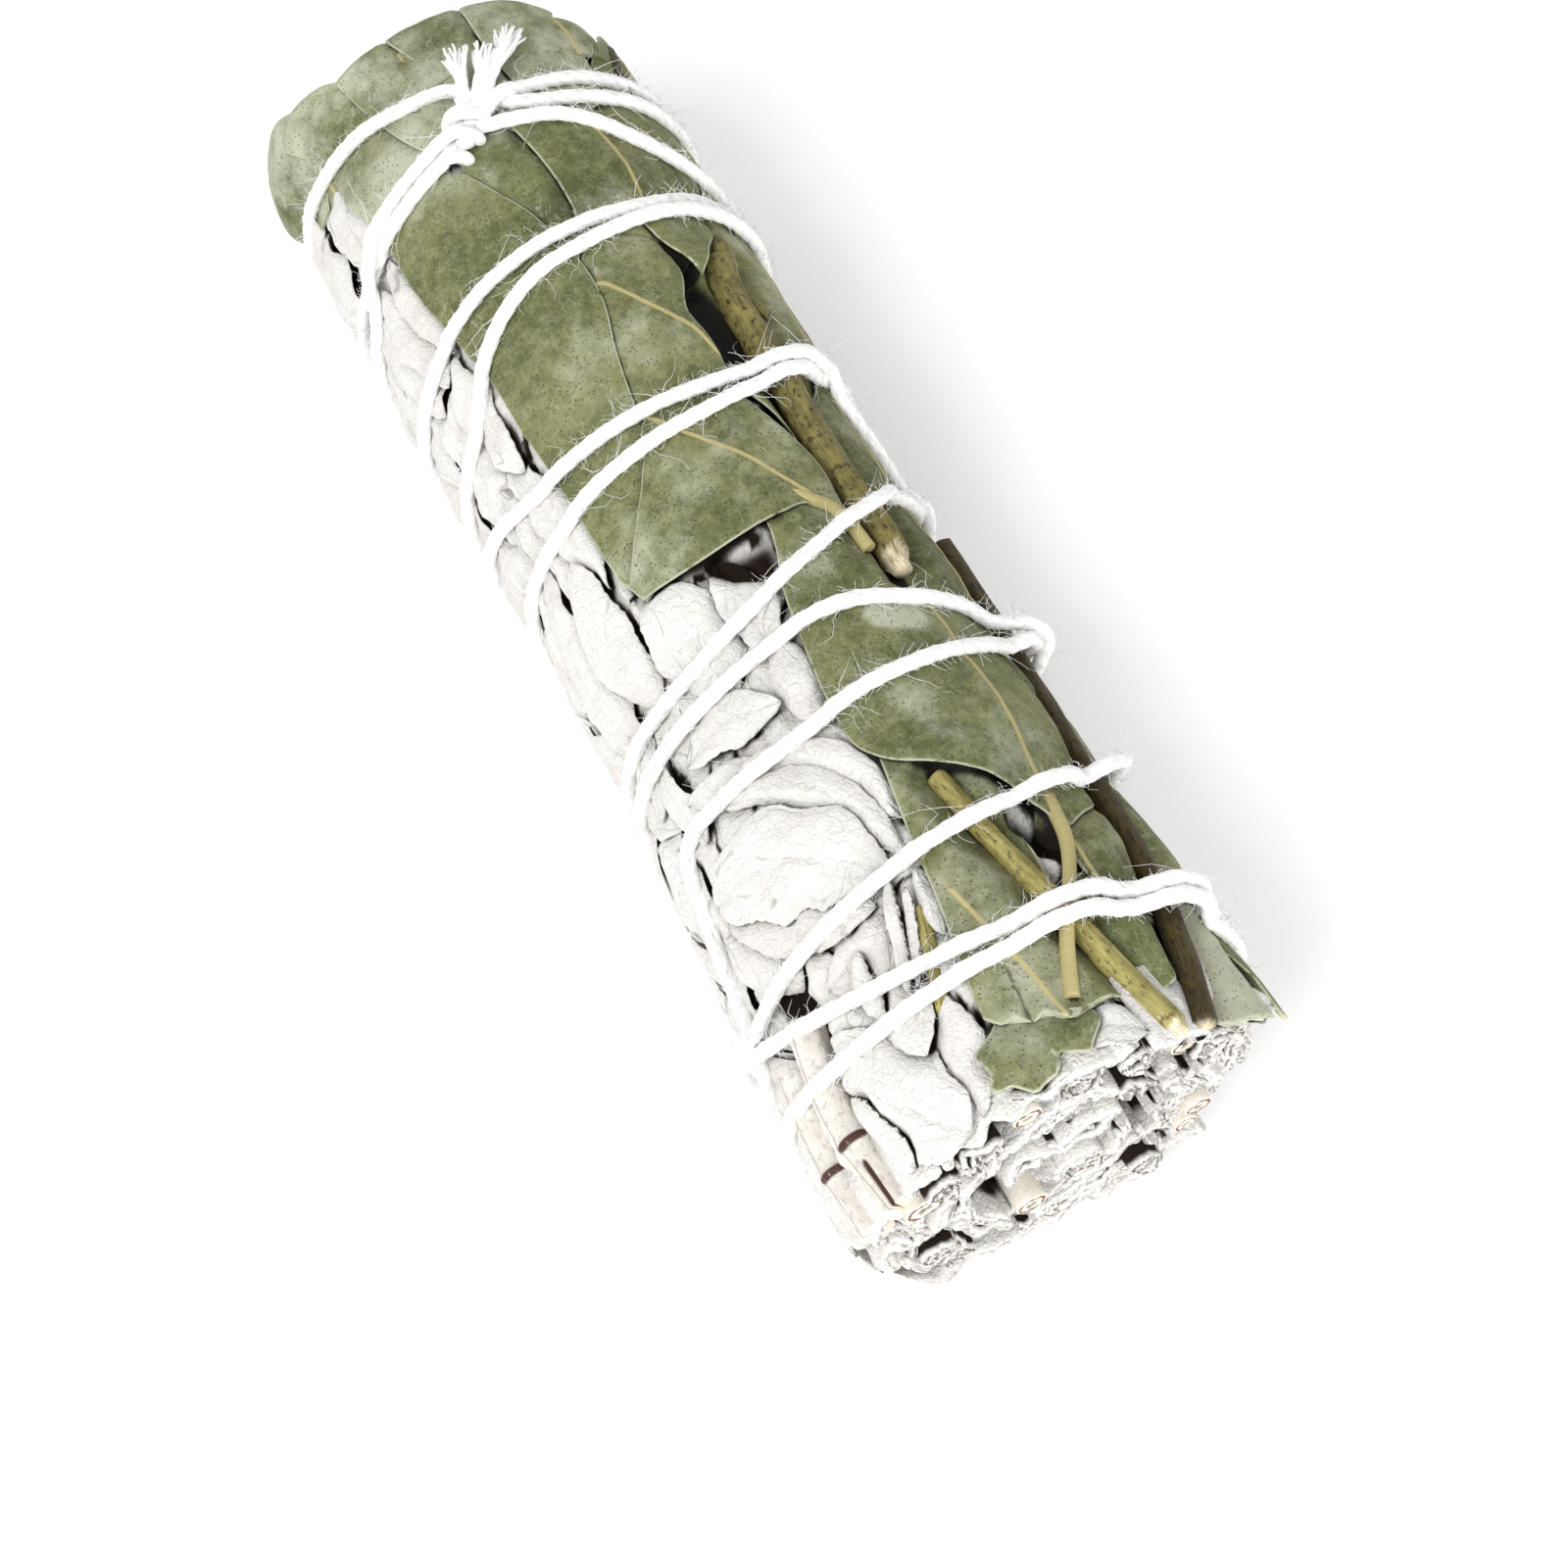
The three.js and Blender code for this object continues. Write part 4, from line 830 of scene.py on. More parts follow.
    def build(self, finish: Material, over: Array, shade: Array) -> None:
        """Makes the leaf's mesh, with its stalk if it has one.

        Args:
            finish: The leaf's material.
            over: The load on the leaf, on the net.
            shade: 1 where something hides the leaf, on the net.
        """
        xs, turns = np.array(self.outline, float).T
        length = math.hypot(np.ptp(xs), self.length_arc * np.ptp(turns))
        count_u = int(np.clip(length / self.spacing, *self.row_counts))
        inner_count = int(np.clip(length / self.row_spacing, *self.top_counts))
        across, side = two_faces(top_shares(self.rim, self.inner, inner_count), self.under_count)
        places = self.patch(count_u, across)
        x, turn = places[..., 0], places[..., 1]
        along, aside = np.zeros_like(x), np.full_like(x, self.far_aside)
        wall = side * self.thickness * rounded(across, self.edge_power) / 2.0
        depth = self.depth(x, turn, over) + wall
        if self.midrib:
            along, aside = to_line(x, turn, self.midrib)
            depth = depth + self.rib[0] * bell(aside, self.rib[1]) * (side >= 0.0)
        pale = np.full(x.shape, self.pale)
        for at_x, at_turn, reach, amount in self.spots:
            pale = pale + amount * bell(apart(x, turn, at_x, at_turn), reach)
        # cover carries the pile's shade, which the finish paints as shade.
        shells = [Shell(BUNDLE.point(x, turn, depth), cover=NET.at(shade, x, turn), pale=pale,
                        leaf_place=np.stack([along, aside, self.to_edge(x, turn)], -1))]
        if self.stalk:
            shells.append(self.stalk_shell())
        make_piece(f"leaf_{self.name}", shells, finish, [self.node])

    def stalk_shell(self) -> Shell:
        """The leaf's stalk: a tube with three flutes and a groove, thicker at both its ends.

        Returns:
            The stalk, with the numbers that the leaf keeps.
        """
        bare = np.column_stack([np.array(self.stalk, float), self.stalk_depths])
        flat = (1.0, self.stalk_arc, 1.0)
        path = BUNDLE.point(*(along_path(bare * flat, self.stalk_count) / flat).T)
        angle = np.linspace(0.0, FULL_TURN, self.stalk_sides, endpoint=False)
        groove = self.stalk_groove[0] * bell(np.minimum(angle, FULL_TURN - angle), self.stalk_groove[1])
        flutes = self.stalk_radius + self.stalk_flute * np.cos(3.0 * angle) - groove
        share = np.linspace(0.0, 1.0, self.stalk_count)[:, None]
        flare = 1.0 + self.stalk_flare * np.abs(2 * share - 1)
        made = tube(path, flutes[None] * flare, self.stalk_sides)
        walked = made.fields.pop("stem_place")[:, 0]
        count = len(walked)
        made.fields = {"cover": np.zeros((count, 1)), "pale": np.zeros((count, 1)),
                       "leaf_place": np.column_stack([walked, np.zeros(count), np.full(count, 3.0)])}
        return made


def lens_outline(base: Pair, tip: Pair, half_width: float) -> Places:
    """An outline like a lens: its half width is sin(pi s^0.85)^0.8 at share s.

    Args:
        base: The place of one end.
        tip: The place of the other.
        half_width: The half width at its widest.
    Returns:
        The outline's places, from the base over its left side.
    """
    scale = float(BUNDLE.per_degree(0.0))
    along = np.array([tip[0] - base[0], (tip[1] - base[1]) * scale])
    across = np.array([-along[1], along[0]]) / np.linalg.norm(along)
    shares = np.arange(1, 5) / 5
    reach = half_width * np.sin(math.pi * shares**0.85) ** 0.8
    left, right = ([(base[0] + dx, base[1] + dy / scale) for dx, dy in
                    along * shares[:, None] + across * (sign * reach)[:, None]] for sign in (1, -1))
    return [base, *left, tip, *right[::-1]]


class Signal:
    """A number that varies over a surface. Its sums and products add Math nodes to its shader."""

    def __init__(self, shader: "Shader", socket: bpy.types.NodeSocket) -> None:
        """Wraps an output socket of one of the shader's nodes."""
        self.shader, self.socket = shader, socket

    def math(self, operation: str, *values: Any) -> "Signal":
        """One Math node on the values in order."""
        made = self.shader.node("ShaderNodeMath", {"operation": operation}, dict(enumerate(values)))
        return Signal(self.shader, made.outputs[0])

    def __add__(self, other: Any) -> "Signal":
        """The sum."""
        return self.math("ADD", self, other)

    def __sub__(self, other: Any) -> "Signal":
        """The difference."""
        return self.math("SUBTRACT", self, other)

    def __rsub__(self, other: Any) -> "Signal":
        """The difference, the other way round."""
        return self.math("SUBTRACT", other, self)

    def __mul__(self, other: Any) -> "Signal":
        """The product."""
        return self.math("MULTIPLY", self, other)

    __radd__ = __add__
    __rmul__ = __mul__

    def size(self) -> "Signal":
        """The number without its sign."""
        return self.math("ABSOLUTE", self)

    def wave(self) -> "Signal":
        """The number's sine."""
        return self.math("SINE", self)

    def smaller(self, other: Any) -> "Signal":
        """The smaller of two numbers."""
        return self.math("MINIMUM", self, other)

    def between(self, low: float, high: float) -> "Signal":
        """Smooth steps from 0 to 1.

        Args:
            low: Where it is 0, and beyond on that side.
            high: Where it is 1. It may be the smaller of the two.
        Returns:
            The stepped number.
        """
        sockets = {"Value": self, "From Min": min(low, high), "From Max": max(low, high)}
        settings = {"interpolation_type": "SMOOTHSTEP"}
        made = Signal(self.shader, self.shader.node("ShaderNodeMapRange", settings, sockets).outputs[0])
        return made if low < high else 1.0 - made


@dataclass(frozen=True)
class Grain:
    """A noise pattern: its size in mm, the noise at which it is 0 and 1, its strength and its make.

    Where low and high are alike, the noise stays as it is.
    """

    size: float
    low: float = 0.0
    high: float = 0.0
    strength: float = 1.0
    detail: float = 3.0
    roughness: float = 0.55
    distortion: float = 0.0


class Shader:
    """A material in the making: its nodes, and the places and numbers that they read."""

    def __init__(self, name: str) -> None:
        """Starts an empty material.

        Args:
            name: The material's name.
        """
        self.material = bpy.data.materials.new(name)
        self.material.use_nodes = True
        self.tree = self.material.node_tree
        self.tree.nodes.clear()
        self.place = self.node("ShaderNodeTexCoord").outputs["Object"]

    def node(self, kind: str, settings: dict[str, Any] | None = None,
             sockets: dict[Any, Any] | None = None) -> Any:
        """Adds a node.

        Args:
            kind: The node's type.
            settings: Its own settings, which are set first.
            sockets: Values or links for its input sockets, by name or number.
        Returns:
            The node.
        """
        made = self.tree.nodes.new(kind)
        for key, value in (settings or {}).items():
            setattr(made, key, value)
        for key, value in (sockets or {}).items():
            value = value.socket if isinstance(value, Signal) else value
            if isinstance(value, bpy.types.NodeSocket):
                self.tree.links.new(value, made.inputs[key])
            else:
                made.inputs[key].default_value = value
        return made

    def grain(self, make: Grain, place: Any = None, plus: Any = None) -> Signal:
        """A noise pattern.

        Args:
            make: Its size, steps and strength.
            place: Where it is read, or else on the object's own places.
            plus: A number added to the noise before it is stepped.
        Returns:
            The pattern, from 0 to its strength.
        """
        sockets = {"Vector": place or self.place, "Scale": 1.0 / (make.size * MM), "Detail": make.detail,
                   "Roughness": make.roughness, "Distortion": make.distortion}
        made = Signal(self, self.node("ShaderNodeTexNoise", {}, sockets).outputs[0])
        made = made if plus is None else made + plus
        made = made if make.low == make.high else made.between(make.low, make.high)
        return made if make.strength == 1.0 else made * make.strength

    def cells(self, size: float, feature: str = "F1") -> Signal:
        """The distance to the nearest of scattered points, or to the walls between them.

        Args:
            size: How far the points are apart, in mm.
            feature: F1 for the points, DISTANCE_TO_EDGE for the walls.
        Returns:
            The distance in shares of the size.
        """
        sockets = {"Vector": self.place, "Scale": 1.0 / (size * MM)}
        made = self.node("ShaderNodeTexVoronoi", {"feature": feature}, sockets)
        return Signal(self, made.outputs["Distance"])

    def kept(self, name: str) -> Signal:
        """A number kept at the mesh's points."""
        return Signal(self, self.node("ShaderNodeAttribute", {"attribute_name": name}).outputs["Fac"])

    def kept_place(self, name: str) -> tuple[Signal, ...]:
        """The three numbers of a place kept at the mesh's points."""
        kept = self.node("ShaderNodeAttribute", {"attribute_name": name})
        split = self.node("ShaderNodeSeparateXYZ", {}, {0: kept.outputs["Vector"]})
        return tuple(Signal(self, output) for output in split.outputs)

    def joined_place(self, x: Any, y: Any, z: Any = 0.0) -> bpy.types.NodeSocket:
        """A place from three numbers."""
        return self.node("ShaderNodeCombineXYZ", {}, {0: x, 1: y, 2: z}).outputs[0]

    def layered(self, base: Any, *layers: tuple[Any, Any]) -> Any:
        """Colours laid over each other.

        Args:
            base: The lowest colour.
            layers: Pairs of a share from 0 to 1 and the colour that it lays on.
        Returns:
            The mixed colour.
        """
        for share, colour in layers:
            low, high = ((*c, 1.0) if isinstance(c, tuple) else c for c in (base, colour))
            made = self.node("ShaderNodeMix", {"data_type": "RGBA"}, {0: share, 6: low, 7: high})
            base = made.outputs[2]
        return base

    def finish(self, colour: Any, roughness: Any, height: Signal | None = None, reach: float = 0.0,
               strength: float = 1.0, **constants: float) -> Material:
        """Ends the material in one plain surface.

        Args:
            colour: The base colour.
            roughness: The roughness.
            height: A height from 0 to 1 that bumps the surface.
            reach: What 1 of it stands for, in mm.
            strength: How much of the bump shows.
            constants: Numbers for other sockets, with underscores for spaces.
        Returns:
            The material.
        """
        colour = (*colour, 1.0) if isinstance(colour, tuple) else colour
        sockets = {"Base Color": colour, "Roughness": roughness}
        if height is not None:
            raised = {"Height": height, "Distance": reach * MM, "Strength": strength}
            sockets["Normal"] = self.node("ShaderNodeBump", {}, raised).outputs[0]
        sockets.update({key.replace("_", " "): value for key, value in constants.items()})
        surface = self.node("ShaderNodeBsdfPrincipled", {}, sockets)
        self.node("ShaderNodeOutputMaterial", {}, {"Surface": surface.outputs[0]})
        return self.material


@dataclass(frozen=True)
class LeafFinish:
    """Dry eucalyptus leaf: grey-green, dotted with oil glands, fine side veins, patches of pale bloom."""

    name: str
    light: Colour = (0.2, 0.207, 0.092)
    deep: Colour = (0.085, 0.095, 0.036)
    bloom: Colour = (0.5, 0.51, 0.39)
    rib: Colour = (0.46, 0.39, 0.18)
    dots: Colour = (0.04, 0.036, 0.012)
    # gap: near-black colour for painted shade under and beside covering sheets.
    gap: Colour = (0.008, 0.006, 0.004)
    patches: Grain = Grain(9.0, strength=0.6, detail=4.0, roughness=0.6)
    mottle: Grain = Grain(1.4, detail=5.0, roughness=0.7)
    mottle_share: float = 0.6
    tone: Pair = (0.44, 0.74)
    vein_slant: float = 0.7
    vein_pitch: float = 7.5
    vein_line: Pair = (0.7, 1.0)
    vein_drift: Grain = Grain(4.0, strength=1.2, detail=2.0)
    vein_gaps: Grain = Grain(2.2, 0.35, 0.65, detail=2.0)
    vein_share: float = 0.2
    haze: Grain = Grain(10.0, 0.62, 0.92, 0.8, 5.0, 0.65)
    haze_pale: float = 0.42
    flakes: Grain = Grain(5.0, 0.62, 0.7, 0.45, 8.0, 0.8, 1.2)
    flakes_pale: float = 0.1
    scuffs: Grain = Grain(2.4, detail=6.0, roughness=0.7)
    scuff_line: Pair = (0.012, 0.002)
    scuff_share: float = 0.3
    gland_size: float = 0.38
    gland_dot: Pair = (0.32, 0.12)
    gland_gaps: Grain = Grain(1.3, 0.38, 0.52, detail=2.0)
    gland_share: float = 0.8
    rib_line: Pair = (0.27, 0.13)
    rib_share: float = 0.85
    rim_line: Pair = (0.24, 0.08)
    rim: Grain = Grain(1.2, 0.3, 0.5, 0.7)
    painted_shade: Pair = (0.2, 0.8)
    tooth: Grain = Grain(0.35, strength=0.3)
    heights: Triple = (0.3, 0.5, -0.35)
    bump: float = 0.07
    roughness: float = 0.62
    roughness_range: float = 0.2
    shine: float = 0.2

    def material(self) -> Material:
        """Builds the finish: colour by patches, veins, dots, midrib and bright rim, with painted shade
        where other sheets, stems or hollows hide the leaf.

        Returns:
            The material.
        """
        shader = Shader(self.name)
        along, aside, edge = shader.kept_place("leaf_place")
        cover, pale = shader.kept("cover"), shader.kept("pale")
        mottle = shader.grain(self.mottle)
        tone = (shader.grain(self.patches) + mottle * self.mottle_share).between(*self.tone)
        slant = along - aside.size() * self.vein_slant + shader.grain(self.vein_drift)
        veins = (slant * self.vein_pitch).wave().between(*self.vein_line) * shader.grain(self.vein_gaps)
        scuffs = (shader.grain(self.scuffs) - 0.5).size().between(*self.scuff_line)
        glands = shader.cells(self.gland_size).between(*self.gland_dot) * shader.grain(self.gland_gaps)
        colour = shader.layered(
            self.deep,
            (tone, self.light),
            (veins * self.vein_share, self.light),
            (shader.grain(self.haze, plus=pale * self.haze_pale), self.bloom),
            (shader.grain(self.flakes, plus=pale * self.flakes_pale), self.bloom),
            (scuffs * self.scuff_share, self.bloom),
            (glands * self.gland_share, self.dots),
            (aside.size().between(*self.rib_line) * self.rib_share, self.rib),
            (edge.between(*self.rim_line) * shader.grain(self.rim), self.bloom),
            # painted shade: near-black where the kept cover says the leaf lies hidden.
            (cover.between(*self.painted_shade), self.gap),
        )
        vein_height, mottle_height, gland_height = self.heights
        height = veins * vein_height + mottle * mottle_height + glands * gland_height
        height = height + shader.grain(self.tooth)
        rough = self.roughness + mottle * self.roughness_range
        return shader.finish(colour, rough, height, self.bump, Specular_IOR_Level=self.shine)


@dataclass(frozen=True)
class FeltFinish:
    """Dry white sage: near-white felt over a net of veins, with painted shade along fine folds and under
    covering leaves, and dark edges that are partly the leaves' own margin and partly painted edge shadow.
    """

    name: str
    felt: Colour = (0.73, 0.72, 0.7)
    warm: Colour = (0.5, 0.45, 0.39)
    # edge: dark brown used for freckles, for painted shade along folds, and for the rim, which is partly
    # dark margin and partly painted edge shadow.
    edge: Colour = (0.05, 0.034, 0.02)
    # gap: near-black painted shade where the leaf lies hidden or in the skin's gaps.
    gap: Colour = (0.016, 0.011, 0.007)
    patches: Grain = Grain(6.0, 0.5, 0.8, 0.3, 4.0, 0.6)
    tint_share: float = 0.4
    net_size: float = 1.1
    net_line: Pair = (0.0, 0.2)
    net_share: float = 0.14
    fine_size: float = 0.42
    fine_line: Pair = (0.0, 0.25)
    fine_share: float = 0.1
    tooth: Grain = Grain(0.3, detail=4.0, roughness=0.7)
    crumple: Grain = Grain(4.2, detail=1.0, roughness=0.4)
    crumple_stretch: float = 0.35
    crumple_shift: float = 40.0
    fold_shade_line: Pair = (0.013, 0.003)
    fold_shade_gaps: Grain = Grain(5.0, 0.5, 0.62, 0.4, 2.0)
    freckle: Pair = (0.66, 0.78)
    freckle_gaps: Grain = Grain(2.4, 0.48, 0.62, 0.35, 2.0)
    rim_line: Pair = (0.25, 0.85)
    rim_dashes: Grain = Grain(0.5, 0.42, 0.55, 0.9, 2.0)
    painted_shade: Pair = (0.36, 0.8)
    crease_line: Pair = (0.0, 0.1)
    vein_line: Pair = (0.0, 0.5)
    heights: tuple[float, float, float, float, float] = (0.3, 0.24, 0.45, 0.55, 0.3)
    bump: float = 0.17
    roughness: float = 0.92
    shine: float = 0.1

    def material(self) -> Material:
        """Builds the finish: pale felt, a web of veins, warm patches, painted shade along fine folds, a
        dashed rim of dark margin and painted edge shadow, and painted shade in gaps.

        Returns:
            The material.
        """
        shader = Shader(self.name)
        along, aside, rim = shader.kept_place("leaf_place")
        cover, tint = shader.kept("cover"), shader.kept("tint")
        net = shader.cells(self.net_size, "DISTANCE_TO_EDGE").between(*self.net_line)
        fine = shader.cells(self.fine_size, "DISTANCE_TO_EDGE").between(*self.fine_line)
        tooth = shader.grain(self.tooth)
        stretched = shader.joined_place(along * (self.crumple_stretch * MM), aside * MM,
                                        tint * (self.crumple_shift * MM))
        crumple = (shader.grain(self.crumple, stretched) - 0.5).size()
        colour = shader.layered(
            self.felt,
            ((shader.grain(self.patches) + tint * self.tint_share).smaller(1.0), self.warm),
            ((1.0 - net) * self.net_share, self.warm),
            ((1.0 - fine) * self.fine_share, self.warm),
            # painted shade along the crumple's fold lines.
            (crumple.between(*self.fold_shade_line) * shader.grain(self.fold_shade_gaps), self.edge),
            (tooth.between(*self.freckle) * shader.grain(self.freckle_gaps), self.edge),
            # rim: the leaves' dotted dark margin, also painted edge shadow.
            (rim.between(*self.rim_line) * shader.grain(self.rim_dashes), self.edge),
            # painted shade where the kept cover says the felt lies hidden.
            (cover.between(*self.painted_shade), self.gap),
        )
        crease, vein = crumple.between(*self.crease_line), aside.size().between(*self.vein_line)
        net_height, fine_height, tooth_height, crease_height, vein_height = self.heights
        height = (net * net_height + fine * fine_height + tooth * tooth_height
                  + crease * crease_height + vein * vein_height)
        return shader.finish(colour, self.roughness, height, self.bump, Specular_IOR_Level=self.shine)


@dataclass(frozen=True)
class StemFinish:
    """A dry stem: long grain and dark speckles on its bark, and pale torn wood towards an end."""

    name: str
    bark: Colour
    deep: Colour
    specks: Colour
    wood: Colour = (0.78, 0.69, 0.52)
    wood_deep: Colour = (0.45, 0.36, 0.22)
    scar: Colour = (0.055, 0.022, 0.014)
    speck_share: float = 0.8
    grain_stretch: Pair = (0.22, 6.0)
    grain: Grain = Grain(0.35, detail=4.0, roughness=0.65)
    grain_share: float = 0.7
    patches: Grain = Grain(3.5, strength=0.4)
    tone: Pair = (0.35, 0.75)
    speck_stretch: Pair = (0.55, 7.0)
    speck_spots: Grain = Grain(0.42, 0.56, 0.66, detail=2.0)
    fibres: Grain = Grain(0.2, 0.35, 0.6, roughness=0.7)
    scar_line: Pair = (0.2, 0.7)
    scar_gaps: Pair = (0.25, 0.45)
    heights: Pair = (0.8, -0.3)
    bump: float = 0.1
    roughness: float = 0.6
    shine: float = 0.3

    def material(self) -> Material:
        """Builds the finish from the places kept along and round the stem.

        Returns:
            The material.
        """
        shader = Shader(self.name)
        along, turn, _ = shader.kept_place("stem_place")
        drawn, flecked = (shader.joined_place(along * (x * MM), turn * (y * MM))
                          for x, y in (self.grain_stretch, self.speck_stretch))
        grain = shader.grain(self.grain, drawn)
        specks = shader.grain(self.speck_spots, flecked)
        wood = shader.layered(self.wood_deep, (shader.grain(self.fibres, drawn), self.wood))
        scar = shader.kept("scar").between(*self.scar_line) * grain.between(*self.scar_gaps)
        colour = shader.layered(
            self.deep,
            ((grain * self.grain_share + shader.grain(self.patches)).between(*self.tone), self.bark),
            (specks * self.speck_share, self.specks),
            (shader.kept("bare"), wood),
            (scar, self.scar),
        )
        height = grain * self.heights[0] + specks * self.heights[1]
        return shader.finish(colour, self.roughness, height, self.bump, Specular_IOR_Level=self.shine)


@dataclass(frozen=True)
class CottonFinish:
    """Soft white cotton, a little grey between its plies."""

    name: str
    cotton: Colour = (0.94, 0.94, 0.93)
    shade: Colour = (0.8, 0.79, 0.77)
    fibres: Grain = Grain(0.16, roughness=0.7)
    fibre_stretch: float = 0.5
    fibre_twist: Pair = (3.0, 0.35)
    fibre_line: Pair = (0.62, 0.4)
    fibre_share: float = 0.12
    valley: Pair = (0.2, 1.0)
    valley_share: float = 0.75
    bump: float = 0.08
    bump_strength: float = 0.7
    roughness: float = 0.95
    shine: float = 0.1
    sheen: float = 0.3
    sheen_roughness: float = 0.6

    def material(self) -> Material:
        """Builds the finish from the depth kept between the plies, with fine fibres as bump.

        Returns:
            The material.
        """
        shader = Shader(self.name)
        along, turn, _ = shader.kept_place("stem_place")
        round_it, with_it = self.fibre_twist
        twisted = (turn * round_it + along * with_it) * MM
        drawn = shader.joined_place(along * (self.fibre_stretch * MM), twisted)
        fibres = shader.grain(self.fibres, drawn)
        colour = shader.layered(
            self.cotton,
            (shader.kept("valley").between(*self.valley) * self.valley_share, self.shade),
            (fibres.between(*self.fibre_line) * self.fibre_share, self.shade),
        )
        return shader.finish(colour, self.roughness, fibres, self.bump, self.bump_strength,
                             Specular_IOR_Level=self.shine, Sheen_Weight=self.sheen,
                             Sheen_Roughness=self.sheen_roughness)


@dataclass(frozen=True)
class PithFinish:
    """A cut herb stem: pale felted bark, a red-brown ring of wood, and spongy pith with a hollow whose
    floor is painted dark as shade.
    """

    name: str
    bark: Colour = (0.72, 0.68, 0.6)
    ring: Colour = (0.12, 0.045, 0.022)
    pith: Colour = (0.8, 0.75, 0.64)
    # hollow: painted shade on the floor of the pith's hollow.
    hollow: Colour = (0.05, 0.03, 0.02)
    grain: Grain = Grain(0.4, detail=4.0)
    ring_from: Pair = (0.05, 0.35)
    ring_to: Pair = (0.98, 0.6)
    ring_gaps: Pair = (0.25, 0.5)
    bump: float = 0.12
    roughness: float = 0.85
    shine: float = 0.2

    def material(self) -> Material:
        """Builds the finish from how far a point of the face lies from the bark.

        Returns:
            The material.
        """
        shader = Shader(self.name)
        face, grain = shader.kept("face"), shader.grain(self.grain)
        band = face.between(*self.ring_from) * face.between(*self.ring_to)
        colour = shader.layered(
            self.bark,
            (face, self.pith),
            (band * grain.between(*self.ring_gaps), self.ring),
            # painted shade in the hollow.
            (shader.kept("hollow"), self.hollow),
        )
        return shader.finish(colour, self.roughness, grain, self.bump, Specular_IOR_Level=self.shine)


@dataclass
class SageLeaf:
    """One pressed sage leaf: a swollen strip of felt about a midline, rounded at both ends.

    Its half width at share u of its length is half (1 - |2u - 1|^roundness)^sharpness, crimped.
    """

    midline: Places
    half: float
    roundness: float = 2.0
    edge: float = 0.7
    tint: float = 0.1
    top: float = -0.5
    puff: float = 0.12
    tilt: float = 0.22
    fold: float = 0.26
    sharpness: float = 0.75
    step: float = 0.6
    thickness: float = 0.36
    spacing: float = 0.55
    seed: int = 0
    end_share: float = 0.997
    row_counts: tuple[int, int] = (16, 60)
    top_counts: tuple[int, int] = (8, 24)
    under_count: int = 10
    rim: tuple[float, ...] = (1.0, 0.988, 0.96, 0.92)
    inner: float = 0.86
    uneven: Humps = Humps(0.12, 7.0)
    uneven_shift: float = 9.7
    crimp: Pair = (0.07, 5.6)
    crimp_drift: Humps = Humps(2.0, 6.0, 2)
    crimp_from: float = 0.9
    binding: Binding = Binding(0.55, (0.9, 5.0), 0.3, (0.35, 1.5))
    curl: Pair = (0.05, 0.8)
    humps: tuple[Humps, Humps] = (Humps(0.16, 5.0, 5), Humps(0.06, 1.9, 6))
    furrow_humps: Humps = Humps(1.0, 6.5, 7)
    furrow_stretch: Pair = (0.4, 1.0)
    furrow: Pair = (0.14, 0.16)
    midrib: Pair = (0.1, 0.35)
    leans: Pair = (2.4, 1.9)
    sunk: float = 0.7
    edge_power: int = 10
    end_power: int = 30
    rim_width: float = 0.24

    def strip(self, across: Array, count: int) -> tuple[Array, Array, Array]:
        """Places over the leaf.

        Args:
            across: Shares across it, from -1 to 1.
            count: How many places along it.
        Returns:
            x, turn, and millimetres along, each along by across.
        """
        scale = float(BUNDLE.per_degree(self.midline[0][0]))
        line = along_path(np.array(self.midline, float) * (1.0, scale), count)
        ahead = np.gradient(line, axis=0)
        size = np.linalg.norm(ahead, axis=1, keepdims=True)
        normal = np.stack([-ahead[:, 1], ahead[:, 0]], -1) / size
        walked = np.concatenate([[0.0], np.cumsum(size[1:, 0])])
        share = np.linspace(-self.end_share, self.end_share, count)
        width = self.half * (1.0 - np.abs(share) ** self.roundness) ** self.sharpness
        width = width * (1.0 + self.uneven.at(walked[:, None] + self.seed * self.uneven_shift, self.seed))
        height, beat = self.crimp
        crimp = height * np.sin(walked * beat + self.crimp_drift.at(walked[:, None], self.seed))
        crimped = np.sign(across) * crimp[:, None] * (np.abs(across) > self.crimp_from)
        reach = width[:, None] * across + crimped
        flat = line[:, None] + normal[:, None] * reach[..., None]
        return flat[..., 0], flat[..., 1] / scale, np.broadcast_to(walked[:, None], flat.shape[:2])

    def outline(self) -> Array:
        """The leaf's edge as places, round it once."""
        x, turn, _ = self.strip(np.array([-1.0, 1.0]), 24)
        edge = np.stack([x, turn], -1)
        return np.concatenate([edge[:, 0], edge[::-1, 1]])

    def depth(self, x: Array, turn: Array, across: Array) -> Array:
        """How far out the leaf lies with nothing on it: swollen between the strands and in its middle.

        Args:
            x: Millimetres along the stick, along by across.
            turn: Degrees round it.
            across: Shares across the leaf.
        Returns:
            Depths in mm, also tilted, folded, puckered and furrowed.
        """
        share = np.linspace(-1.0, 1.0, len(x))[:, None]
        flat, aside = BUNDLE.skin(x, turn), np.abs(across)
        curl, curl_from = self.curl
        tilt_beat, fold_beat = self.leans
        depth = self.top + self.binding.depth(x, turn)
        depth = depth + self.puff * (1.0 - across**2) * (1.0 - share**4)
        depth = depth - curl * ramp(aside, curl_from, 1.0)
        depth = depth + self.tilt * math.sin(self.seed * tilt_beat) * across * (1.0 - share**2)
        depth = depth + sum(humps.at(flat, self.seed) for humps in self.humps)
        furrows = self.furrow_humps.at(flat * self.furrow_stretch, self.seed)
        depth = depth - self.furrow[0] * bell(furrows, self.furrow[1])
        depth = depth - self.midrib[0] * bell(across * self.half, self.midrib[1])
        return depth + self.fold * math.cos(self.seed * fold_beat) * (aside - 0.5)

